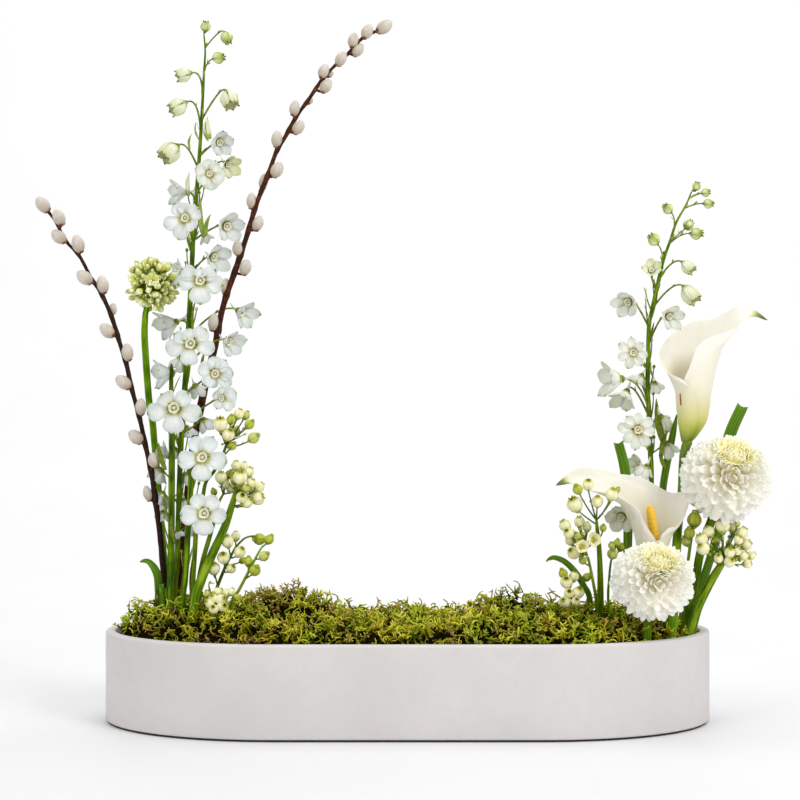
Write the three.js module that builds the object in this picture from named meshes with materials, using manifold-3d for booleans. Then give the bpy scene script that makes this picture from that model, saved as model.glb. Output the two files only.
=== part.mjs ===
// Ikebana arrangement in a long stone trough: pussy willow, delphinium, calla lilies,
// chrysanthemums, bud sprays and cut leaves standing in wet foam under a bed of moss.
// Millimetres, +Z up, +X to the right, -Y to the front.
// Origin: the centre of the underside of the base pad, on the surface it stands on.
import * as THREE from 'three';
import { mergeVertices } from 'three/addons/utils/BufferGeometryUtils.js';
import Module from 'manifold-3d';

// ---------------------------------------------------------------- driving dimensions
const TROUGH_HALF_LENGTH = 300.5; // outer plan, along X
const TROUGH_HALF_DEPTH = 110; // outer plan, along Y
const TROUGH_END = 175; // X half-axis of each half-elliptical end
const TROUGH_WALL = 10;
const TROUGH_BASE_Z = 2; // underside of the stone, on the pad
const TROUGH_RIM_Z = 90;
const TROUGH_FLOOR_Z = 12; // floor of the cavity
const RIM_BEVEL = 1.2;
const PAD_INSET = 2.2;
const GAP = 0.3; // clearance between touching pieces
const FOAM_TOP_Z = 76;
const FOAM_SIDE_GAP = 2.5; // trimmed foam to the trough wall
const FOAM_LEFT_X = -98; // cuts between the three foam bricks
const FOAM_RIGHT_X = 98;
const MOSS_SIDE_GAP = 1.2;
const STEM_HOLE = 0.35; // the hole round a pushed-in stem
const SPATHE_THICKNESS = 1.3;
const LEAF_THICKNESS = 1.1;
const FLORET_THICKNESS = 1.6;
const SMALLEST_BUD = 8; // smaller buds are left to the finished surface

// ---------------------------------------------------------------- plant data
// Stems from the foot in the foam to the tip: p = centre points, r = radii.
const STEMS = {
  willow_left: {p:[[-238,13,46.0],[-242.43,9.0,119.83],[-246.03,7.0,153.95],[-248.32,5.0,184.56],[-252.2,3.0,215.1],[-256.17,1.0,245.55],[-262.33,-1.0,274.53],[-267.87,-3.0,302.23],[-275.09,-5.0,329.96],[-280.1,-7.0,354.83],[-286.69,-9.0,376.65],[-293.85,-11.0,400.7],[-302.98,-13.0,422.1],[-313.36,-16.0,439.31],[-324.31,-18.0,460.29],[-337.1,-20.0,474.9],[-346.34,-21.0,492.65],[-354.09,-22.0,503.77]],r:[3.1,3.1,3.0,2.9,2.8,2.6,2.5,2.4,2.35,2.3,2.2,2.1,2.0,1.8,1.6,1.4,1.2,1.0]},
  willow_right: {p:[[-226,36,46.0],[-232.51,30.0,120.16],[-229.72,27.0,165.33],[-226.17,25.0,196.02],[-221.31,23.0,236.79],[-215.95,21.0,277.45],[-211.96,20.0,297.74],[-207.13,18.0,321.04],[-201.1,16.0,347.31],[-193.87,14.0,373.51],[-189.49,12.0,396.62],[-183.7,10.0,418.66],[-177.03,8.0,437.02],[-169.77,6.0,457.35],[-160.92,3.0,482.62],[-152.9,0.0,508.5],[-146.31,-2.0,525.73],[-138.83,-4.0,543.4],[-130.48,-6.0,565.52],[-121.84,-7.0,579.79],[-111.41,-8.0,598.51],[-97.72,-9.0,617.71],[-85.14,-10.0,635.89],[-71.97,-11.0,650.07],[-57.64,-12.0,662.75],[-45.11,-13.0,676.4],[-31.21,-14.0,683.59]],r:[3.6,3.6,3.7,3.8,3.9,4.0,3.9,3.8,3.6,3.4,3.2,3.0,2.9,2.8,2.6,2.4,2.3,2.25,2.1,2.0,1.9,1.8,1.6,1.45,1.3,1.1,0.9]},
  delph_tall: {p:[[-230,14,46.0],[-234.24,12.0,117.43],[-231.82,10.0,166.0],[-229.71,8.0,217.47],[-226.99,6.0,283.87],[-222.33,5.0,344.09],[-220.83,5.0,368.16],[-218.57,4.0,403.22],[-215.93,3.0,454.27],[-214.48,2.0,483.22],[-211.64,1.0,517.23],[-208.6,0.0,555.4],[-206.7,0.0,584.1],[-204.8,0.0,618.5],[-203.5,0.0,645.3],[-202.3,0.0,666.3],[-203.7,0.0,685.0]],r:[2.8,2.8,2.8,2.8,2.9,3.0,3.0,2.9,2.55,2.4,2.2,1.95,1.75,1.5,1.25,1.0,0.8]},
  delph_short: {p:[[-236,-12,46.0],[-236.65,-8.0,119.05],[-235.37,-6.0,179.55],[-235.12,-5.0,227.7],[-234.98,-4.0,284.49],[-235.83,-3.0,332.97],[-235.69,-2.0,353.95]],r:[3.4,3.4,3.35,3.3,3.1,2.3,1.5]},
  delph_side: {p:[[-224,-22,46.0],[-222.58,-17.0,117.27],[-219.9,-15.0,144.33],[-217.57,-12.0,192.0],[-216.07,-10.0,218.66],[-214.66,-8.0,247.18],[-213.05,-6.0,266.21]],r:[3.2,3.2,3.1,3.0,3.0,2.9,1.8]},
  globe: {p:[[-242,34,46.0],[-243.92,28.0,114.31],[-247.32,27.0,155.15],[-250.72,26.0,195.94],[-253.45,24.0,236.73],[-256.57,22.0,273.67],[-258.53,21.0,296.71],[-261.91,20.0,319.01],[-264.6,18.0,359.08],[-265.67,16.0,384.7],[-264.17,12.0,404.08]],r:[3.2,3.2,3.2,3.2,3.3,3.4,3.5,3.5,3.5,3.4,3.0]},
  spray_a: {p:[[-214,4,46.0],[-215.51,5.0,121.35],[-213.34,6.0,166.4],[-211.93,6.0,190.5],[-209.12,6.0,204.55],[-205.31,6.0,221.62],[-201.86,5.0,236.23],[-192.75,2.0,247.91],[-184.18,-1.0,264.04],[-180.66,-2.0,275.06]],r:[2.5,2.5,2.4,2.4,2.2,2.0,1.8,1.7,1.5,1.2]},
  spray_b: {p:[[-215,-38,46.0],[-209.08,-30.0,116.07],[-203.35,-26.0,139.61],[-193.16,-22.0,164.26],[-180.53,-18.0,192.51],[-172.77,-15.0,217.01],[-169.42,-14.0,227.84]],r:[4.8,4.8,4.7,4.4,3.9,3.0,2.6]},
  spray_b2: {p:[[-208,20,46.0],[-213.36,17.0,115.76],[-211.43,14.0,131.29],[-205.91,9.0,156.04],[-199.35,5.0,177.54],[-193.63,1.0,195.92],[-188.45,-2.0,215.14],[-182.64,-3.0,226.18]],r:[2.4,2.4,2.4,2.4,2.3,1.9,1.3,1.1]},
  spray_c: {p:[[-200,-4,46.0],[-195.85,-5.0,115.67],[-190.74,-6.0,128.75],[-181.86,-7.0,150.78],[-175.67,-8.0,162.82],[-170.78,-9.0,171.38],[-163.42,-10.0,179.42],[-157.46,-10.0,182.3],[-151.49,-10.0,183.1]],r:[1.8,1.8,1.7,1.5,1.3,1.2,1.0,0.9,0.8]},
  spray_d: {p:[[-190,-30,46.0],[-173.56,-27.0,116.65],[-166.4,-26.0,130.08],[-158.25,-25.0,145.49],[-149.99,-24.0,161.61],[-145.76,-24.0,169.39],[-142.71,-24.0,174.31]],r:[1.6,1.6,1.5,1.4,1.2,1.0,0.9]},
  spray_e: {p:[[-188,-50,46.0],[-186.18,-46.0,113.4],[-186.79,-45.0,120.05],[-185.95,-44.0,126.71]],r:[1.5,1.5,1.3,1.0]},
  delph_right: {p:[[236,36,46.0],[239.29,31.0,109.83],[241.88,28.0,144.86],[246.02,22.0,196.26],[246.73,17.0,240.74],[244.94,14.0,269.56],[243.41,12.0,307.42],[241.84,11.0,330.49],[242.29,10.0,359.37],[242.83,9.0,390.93],[246.9,8.0,414.2],[251.96,7.0,438.35],[257.21,6.0,458.96],[263.57,5.0,477.93],[269.81,4.0,496.57],[278.95,3.0,513.09],[285.18,2.0,528.28]],r:[2.7,2.7,2.7,2.6,2.6,2.6,2.5,2.4,2.25,2.05,1.85,1.7,1.55,1.4,1.25,1.0,0.75]},
  calla_upper: {p:[[252,-46,46.0],[257.14,-40.0,96.01],[259.72,-33.0,110.61],[264.33,-18.0,145.08],[269.64,-2.0,185.18],[273.9,5.0,212.65],[275.4,5.0,231.72],[275.48,1.0,251.96],[276.0,-6.0,267.7],[277.59,-8.2,274.83]],r:[5.0,5.0,5.0,4.9,4.4,4.2,4.1,4.2,4.3,4.3]},
  calla_lower: {p:[[258,3,46.0],[256.66,-2.0,94.3],[252.49,-9.0,109.25],[248.62,-15.0,122.95],[246.97,-17.8,129.83]],r:[4.5,4.5,4.5,4.5,4.4]},
  mum_upper: {p:[[262,-12,46.0],[275.97,-10.0,100.44],[280.82,-9.0,118.69],[286.86,-6.0,137.72],[291.03,-4.0,160.42],[296.11,-2.0,177.19],[304.8,-2.0,200.95],[308.28,-6.0,215.41],[312.71,-11.5,231.46]],r:[4.4,4.4,4.3,4.2,4.2,4.3,4.4,3.8,3.2]},
  mum_lower: {p:[[228,-66,46.0],[229.75,-63.0,99.47],[230.64,-61.0,109.73],[232.3,-59.0,123.86],[233.4,-60.5,134.62]],r:[4.1,4.1,4.0,3.8,3.2]},
  spray_f: {p:[[264,-28,46.0],[280.27,-21.0,95.13],[285.89,-21.0,113.77],[297.03,-22.0,136.47],[304.32,-23.0,149.1],[309.82,-24.0,158.37],[311.49,-24.0,164.47]],r:[5.1,5.1,4.9,4.3,3.9,3.1,2.0]},
  spray_g: {p:[[270,17,46.0],[275.66,12.0,104.32],[277.55,3.0,127.62],[279.03,-9.0,158.95],[280.57,-13.0,176.23],[284.15,-14.0,197.13]],r:[1.7,1.7,1.7,1.6,1.5,1.3]},
  spray_h: {p:[[190,-4,46.0],[191.94,-6.0,118.29],[190.17,-16.0,157.71],[188.01,-23.0,178.55],[186.45,-26.0,188.85],[185.32,-28.0,200.21]],r:[3.3,3.3,2.6,2.3,1.9,1.5]},
  spray_i: {p:[[192,-20,46.0],[186.88,-17.0,116.29],[184.29,-18.0,132.63],[179.23,-19.0,158.03],[175.65,-20.0,168.5],[173.68,-20.0,174.91]],r:[1.6,1.6,1.5,1.3,1.2,1.1]},
  spray_j: {p:[[225,20,46.0],[224.85,16.0,109.83],[223.46,10.0,141.85],[221.77,6.0,173.73],[222.18,6.0,190.5],[222.78,6.0,200.54]],r:[2.0,2.0,2.0,1.9,1.5,1.0]},
  spray_k: {p:[[203,-8,46.0],[199.77,-7.0,115.94],[200.17,-10.0,139.19],[201.36,-13.0,156.4],[203.21,-14.0,163.44]],r:[1.3,1.3,1.2,1.1,0.9]},
  spray_l: {p:[[172,-22,46.0],[165.07,-22.0,111.05],[160.54,-22.0,124.84],[157.98,-22.0,130.76]],r:[1.2,1.2,1.1,1.0]},
};
// Strap leaves from foot to tip: p = centre points, w = half-widths, face = the way the leaf looks.
const LEAVES = {
  leaf_left_arch: {p:[[-253,4,60.0],[-250.29,6.0,116.21],[-249.39,3.0,130.13],[-249.7,0.0,142.0],[-253.0,-3.0,151.03],[-258.15,-5.0,156.93],[-262.96,-6.0,157.84],[-266.44,-6.0,156.44]],w:[3.4,3.4,3.9,4.1,3.6,2.6,1.6,0.3],face:[0.35,-0.9,0.25],cup:0.25,cut:false},
  leaf_left_stub: {p:[[-246,-7,60.0],[-244.25,-4.0,116.53],[-244.69,-5.0,127.63],[-245.13,-6.0,135.23]],w:[2.8,2.8,2.8,2.4],face:[0.2,-0.98,0],cup:0.25,cut:true},
  leaf_right_arch: {p:[[180,5,60.0],[183.48,4.0,114.46],[176.4,0.0,132.5],[167.76,-4.0,146.25],[157.17,-8.0,156.95],[146.73,-11.0,161.54],[140.88,-12.0,160.46],[137.4,-12.0,157.78]],w:[3.4,3.4,3.8,3.7,3.2,2.4,1.5,0.3],face:[0.45,-0.85,0.3],cup:0.25,cut:false},
  leaf_cut_left: {p:[[222,35,60.0],[223.11,32.0,113.78],[223.84,30.0,144.64],[224.42,27.0,195.86],[221.14,24.0,244.66],[213.76,22.0,275.9]],w:[4.0,4.0,4.2,4.6,5.0,4.7],face:[-0.25,-0.96,0],cup:0.25,cut:true},
  leaf_blade: {p:[[257,38,60.0],[256.11,34.0,111.47],[256.13,31.0,139.42],[256.83,26.0,185.77],[259.27,20.0,228.84],[263.42,17.0,257.33],[267.72,15.0,280.63],[269.77,14.0,291.76],[271.61,13.0,303.38]],w:[3.7,3.7,3.7,3.8,4.0,4.1,3.7,2.6,0.4],face:[0.3,-0.95,0],cup:0.25,cut:false},
  leaf_cut_right: {p:[[281,4,60.0],[288.01,8.0,106.89],[296.43,12.0,131.54],[309.43,17.0,168.34],[319.57,22.0,204.38],[322.74,26.0,246.8],[327.94,28.0,280.83],[342.24,30.0,313.31]],w:[3.9,3.9,4.0,4.2,4.8,5.6,5.9,5.6],face:[-0.35,-0.93,-0.1],cup:0.25,cut:true},
};
// Catkins: c = centre, l and w = length and width, a = where the foot leaves the branch, ang = tilt from +X in degrees.
const CATKINS = {
  willow_left: [
    {c:[-359.61,-22.0,510.47],l:17.5,w:14,a:[-354.09,-22.0,503.77],ang:128},
    {c:[-343.23,-23.8,497.64],l:16.5,w:13,a:[-344.49,-20.8,489.1],ang:115},
    {c:[-343.64,-22.0,478.93],l:16.5,w:13.5,a:[-337.1,-20.0,474.9],ang:140},
    {c:[-324.9,-21.2,471.92],l:18,w:13.5,a:[-325.59,-18.2,461.75],ang:108},
    {c:[-319.08,-18.4,439.11],l:17.5,w:14,a:[-311.28,-15.4,435.87],ang:140},
    {c:[-302.09,-14.0,432.24],l:18,w:13,a:[-302.98,-13.0,422.1],ang:100},
    {c:[-293.93,-5.0,408.2],l:13,w:9,a:[-293.85,-11.0,400.7],ang:85},
    {c:[-298.04,-12.4,386.73],l:17,w:13.5,a:[-288.12,-9.4,381.46],ang:135},
    {c:[-278.03,-11.2,365.25],l:17.5,w:12.5,a:[-280.76,-7.2,357.01],ang:95},
    {c:[-282.7,-8.0,335.51],l:17.5,w:14,a:[-275.09,-5.0,329.96],ang:140},
    {c:[-265.62,-5.0,311.12],l:17,w:12,a:[-267.87,-3.0,302.23],ang:90},
    {c:[-270.88,-4.0,281.2],l:17,w:14,a:[-262.33,-1.0,274.53],ang:135},
    {c:[-253.03,-5.2,258.01],l:15.5,w:12,a:[-256.79,0.8,248.45],ang:95},
    {c:[-260.21,1.8,224.29],l:15.5,w:10,a:[-252.6,2.8,218.14],ang:105},
  ],
  willow_right: [
    {c:[-22.89,-14.0,687.95],l:18,w:14,a:[-31.21,-14.0,683.59],ang:38},
    {c:[-39.9,-15.1,682.73],l:15.5,w:12.5,a:[-43.72,-13.1,677.12],ang:62},
    {c:[-53.79,-14.3,674.41],l:15.5,w:11.5,a:[-53.88,-12.3,666.85],ang:75},
    {c:[-49.11,-12.0,665.03],l:14.5,w:11.5,a:[-57.64,-12.0,662.75],ang:50},
    {c:[-65.88,-14.1,656.03],l:15.5,w:12,a:[-70.54,-11.1,651.34],ang:62},
    {c:[-83.24,-12.0,644.2],l:15,w:11.5,a:[-85.14,-10.0,635.89],ang:65},
    {c:[-76.63,-5.3,642.26],l:8,w:5.5,a:[-81.19,-10.3,640.14],ang:55},
    {c:[-81.09,-9.5,629.93],l:15.5,w:12.5,a:[-91.43,-9.5,626.8],ang:52},
    {c:[-96.17,-6.8,615.36],l:6.5,w:4.5,a:[-100.46,-8.8,613.87],ang:55},
    {c:[-112.26,-10.0,607.78],l:15.5,w:11.5,a:[-111.41,-8.0,598.51],ang:80},
    {c:[-108.67,-7.3,589.29],l:15.5,w:12.5,a:[-118.71,-7.3,585.41],ang:55},
    {c:[-130.09,-8.2,577.69],l:16.5,w:12,a:[-128.75,-6.2,568.37],ang:85},
    {c:[-130.0,-5.8,547.22],l:16.5,w:13.5,a:[-139.58,-3.8,541.63],ang:60},
    {c:[-144.37,2.8,536.7],l:16.5,w:10,a:[-145.56,-2.2,527.5],ang:85},
    {c:[-156.0,0.0,517.1],l:16,w:11,a:[-152.9,0.0,508.5],ang:88},
    {c:[-149.91,2.1,494.74],l:16,w:12,a:[-158.51,2.1,490.38],ang:68},
    {c:[-170.0,5.4,469.84],l:16,w:12.5,a:[-168.0,5.4,462.4],ang:95},
    {c:[-162.63,5.0,451.04],l:16.5,w:13,a:[-173.4,7.0,447.19],ang:70},
    {c:[-183.39,12.4,432.53],l:16.5,w:11,a:[-181.7,9.4,424.17],ang:85},
    {c:[-195.25,9.8,396.1],l:18,w:11.5,a:[-191.24,12.8,387.38],ang:80},
  ],
};
// Florets: c = centre, R = radius, f = the way it faces, a = where its pedicel leaves the stem; node: its own piece.
const FLORETS = {
  dt01: {stem:'delph_tall',c:[-201.9,0.0,691.2],R:5.6,f:[0.1,-0.2,1],kind:'bud',roll:0,node:false,a:[-203.7,0.0,685.0]},
  dt02: {stem:'delph_tall',c:[-180.42,-4.0,679.54],R:6.6,f:[0.35,-0.2,-0.9],kind:'bud',roll:0,node:false,a:[-202.65,0.0,670.97]},
  dt03: {stem:'delph_tall',c:[-188.28,-5.0,659.07],R:6.6,f:[0.9,-0.35,0.1],kind:'bud',roll:0,node:false,a:[-203.63,0.0,642.62]},
  dt04: {stem:'delph_tall',c:[-223.16,-5.0,642.13],R:8.8,f:[-0.88,-0.3,-0.3],kind:'bell',roll:0,node:false,a:[-204.67,0.0,621.18]},
  dt05: {stem:'delph_tall',c:[-177.79,-6.0,617.81],R:11.5,f:[0.35,-0.4,-0.85],kind:'bell',roll:10,node:false,a:[-205.84,0.0,599.58]},
  dt06: {stem:'delph_tall',c:[-228.59,-6.0,610.24],R:10.6,f:[-0.78,-0.3,-0.5],kind:'bell',roll:20,node:false,a:[-206.6,0.0,585.82]},
  dt07: {stem:'delph_tall',c:[-236.56,-6.0,564.82],R:14,f:[-0.62,-0.55,-0.5],kind:'bell',roll:0,node:false,a:[-209.36,0.25,545.86]},
  dt08: {stem:'delph_tall',c:[-185.52,-8.0,573.64],R:12.5,f:[0.38,-0.85,-0.3],kind:'cup',roll:10,node:false,a:[-208.12,0.0,562.58]},
  dt09: {stem:'delph_tall',c:[-178.2,6.0,553.53],R:11.5,f:[0.68,-0.5,-0.5],kind:'cup',roll:30,node:false,a:[-210.12,0.5,536.32]},
  dt10: {stem:'delph_tall',c:[-195.42,-19.0,541.56],R:15.5,f:[0.15,-0.97,-0.15],kind:'open',roll:8,node:true,a:[-210.73,0.7,528.68]},
  dt11: {stem:'delph_tall',c:[-230.26,9.0,526.63],R:12.5,f:[-0.85,-0.4,-0.05],kind:'cup',roll:0,node:false,a:[-212.21,1.2,510.43]},
  dt12: {stem:'delph_tall',c:[-218.68,-22.0,497.36],R:20.5,f:[-0.08,-0.99,-0.08],kind:'open',roll:20,node:true,a:[-214.7,2.15,478.88]},
  dt13: {stem:'delph_tall',c:[-177.86,-8.0,490.09],R:18,f:[0.52,-0.78,-0.25],kind:'cup',roll:0,node:true,a:[-214.7,2.15,478.88]},
  dt14: {stem:'delph_tall',c:[-190.87,-5.0,459.53],R:17,f:[0.62,-0.72,-0.22],kind:'cup',roll:15,node:true,a:[-216.59,3.25,441.51]},
  dt15: {stem:'delph_tall',c:[-203.69,-25.0,435.63],R:23.5,f:[0.05,-0.99,-0.08],kind:'open',roll:5,node:true,a:[-218.04,3.8,413.43]},
  dt16: {stem:'delph_tall',c:[-165.47,22.0,405.25],R:17,f:[0.85,0.12,-0.45],kind:'cup',roll:0,node:true,a:[-219.81,4.55,383.94]},
  dt17: {stem:'delph_tall',c:[-176.03,-4.0,374.85],R:17,f:[0.68,-0.66,-0.3],kind:'cup',roll:10,node:true,a:[-221.81,5.0,352.51]},
  dt18: {stem:'delph_tall',c:[-212.93,-25.0,373.86],R:25.5,f:[-0.02,-0.99,-0.1],kind:'open',roll:-5,node:true,a:[-221.81,5.0,352.51]},
  dt19: {stem:'delph_tall',c:[-243.54,23.0,394.14],R:15,f:[-0.85,-0.25,-0.4],kind:'cup',roll:0,node:false,a:[-219.59,4.45,387.44]},
  dt20: {stem:'delph_tall',c:[-189.65,-24.0,344.18],R:20,f:[0.18,-0.97,-0.12],kind:'open',roll:18,node:true,a:[-224.43,5.45,316.99]},
  dt21: {stem:'delph_short',c:[-244.34,-1.0,344.48],R:15,f:[-0.9,0.1,-0.15],kind:'cup',roll:0,node:false,a:[-235.8,-2.75,338.22]},
  dt22: {stem:'delph_tall',c:[-185.76,-6.0,319.99],R:14.5,f:[0.25,-0.95,-0.05],kind:'open',roll:30,node:false,a:[-225.83,5.75,298.93]},
  dt23: {stem:'delph_short',c:[-229.4,-26.0,310.53],R:27.5,f:[0.0,-0.99,-0.08],kind:'open',roll:10,node:true,a:[-235.15,-3.8,294.19]},
  dt24: {stem:'delph_short',c:[-246.29,8.0,264.12],R:10,f:[-0.8,-0.15,0.45],kind:'cup',roll:0,node:false,a:[-235.07,-4.65,247.58]},
  dt25: {stem:'delph_tall',c:[-246.61,15.0,213.98],R:10.5,f:[-0.8,-0.35,-0.4],kind:'cup',roll:0,node:false,a:[-230.55,8.8,196.88]},
  dt26: {stem:'delph_tall',c:[-235.55,40.0,451.43],R:11,f:[-0.7,-0.3,0.3],kind:'cup',roll:0,node:false,a:[-217.78,3.7,418.54]},
  dt27: {stem:'delph_side',c:[-201.28,-29.0,261.7],R:25,f:[0.05,-0.99,0.05],kind:'open',roll:18,node:true,a:[-213.86,-7.0,256.69]},
  dt28: {stem:'delph_side',c:[-198.88,-33.0,207.26],R:24.5,f:[0.05,-0.99,0.02],kind:'open',roll:18,node:true,a:[-217.69,-12.15,189.62]},
  dr01: {stem:'delph_right',c:[289.28,2.0,531.88],R:4.5,f:[0.2,-0.3,0.9],kind:'bud',roll:0,node:false,a:[285.18,2.0,528.28]},
  dr02: {stem:'delph_right',c:[297.71,-2.0,525.13],R:4.5,f:[0.8,-0.4,0.1],kind:'bud',roll:0,node:false,a:[282.06,2.5,520.68]},
  dr03: {stem:'delph_right',c:[300.11,-3.0,513.81],R:5.4,f:[0.9,-0.4,-0.1],kind:'bud',roll:0,node:false,a:[278.04,3.1,511.44]},
  dr04: {stem:'delph_right',c:[259.98,-3.0,508.72],R:5.8,f:[-0.6,-0.3,0.6],kind:'bud',roll:0,node:false,a:[267.63,4.35,490.05]},
  dr05: {stem:'delph_right',c:[282.18,8.0,493.72],R:5.8,f:[0.6,0.3,0.6],kind:'bud',roll:0,node:false,a:[263.88,4.95,478.86]},
  dr06: {stem:'delph_right',c:[287.94,-4.0,484.16],R:6.6,f:[0.85,-0.4,-0.05],kind:'bud',roll:0,node:false,a:[262.3,5.2,474.14]},
  dr07: {stem:'delph_right',c:[245.65,-4.0,477.78],R:6.6,f:[-0.6,-0.3,0.6],kind:'bud',roll:0,node:false,a:[256.69,6.1,456.9]},
  dr08: {stem:'delph_right',c:[279.38,-5.0,450.76],R:9.2,f:[0.6,-0.4,-0.6],kind:'bell',roll:0,node:false,a:[251.96,7.0,438.35]},
  dr09: {stem:'delph_right',c:[243.01,-8.0,448.31],R:10,f:[-0.05,-0.8,0.35],kind:'cup',roll:15,node:false,a:[249.94,7.4,428.69]},
  dr10: {stem:'delph_right',c:[281.57,-5.0,423.65],R:12.0,f:[0.55,-0.35,-0.75],kind:'bell',roll:0,node:false,a:[246.29,8.15,410.71]},
  dr11: {stem:'delph_right',c:[217.94,-8.0,414.49],R:13.5,f:[-0.45,-0.8,-0.3],kind:'cup',roll:10,node:false,a:[242.83,9.0,390.93]},
  dr12: {stem:'delph_right',c:[262.09,-7.0,400.62],R:15,f:[0.3,-0.9,-0.2],kind:'cup',roll:0,node:true,a:[242.53,9.55,373.57]},
  dr13: {stem:'delph_right',c:[224.31,-12.0,365.42],R:17.5,f:[-0.15,-0.97,-0.12],kind:'open',roll:15,node:true,a:[242.09,10.45,346.37]},
  dr14: {stem:'delph_right',c:[203.83,-2.0,338.47],R:17,f:[-0.88,0.1,-0.3],kind:'cup',roll:0,node:true,a:[243.25,11.9,309.73]},
  dr15: {stem:'delph_right',c:[218.78,16.0,320.02],R:15.0,f:[-0.45,-0.2,-0.85],kind:'bell',roll:25,node:false,a:[243.79,12.5,297.96]},
  dr16: {stem:'delph_right',c:[228.48,-12.0,288.63],R:20.5,f:[-0.08,-0.99,-0.08],kind:'open',roll:10,node:true,a:[245.21,14.45,265.24]},
  dr17: {stem:'delph_right',c:[264.63,30.0,289.45],R:15,f:[0.55,-0.1,-0.6],kind:'cup',roll:0,node:false,a:[244.18,13.0,288.49]},
  dr18: {stem:'delph_right',c:[233.93,32.0,251.63],R:13,f:[-0.75,-0.2,-0.4],kind:'cup',roll:0,node:false,a:[246.34,19.75,216.28]},
  dr20: {stem:'spray_j',c:[212.12,-7.0,200.54],R:15.5,f:[-0.6,-0.3,-0.6],kind:'cup',roll:10,node:true,a:[222.54,6.0,196.52]},
};
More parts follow.
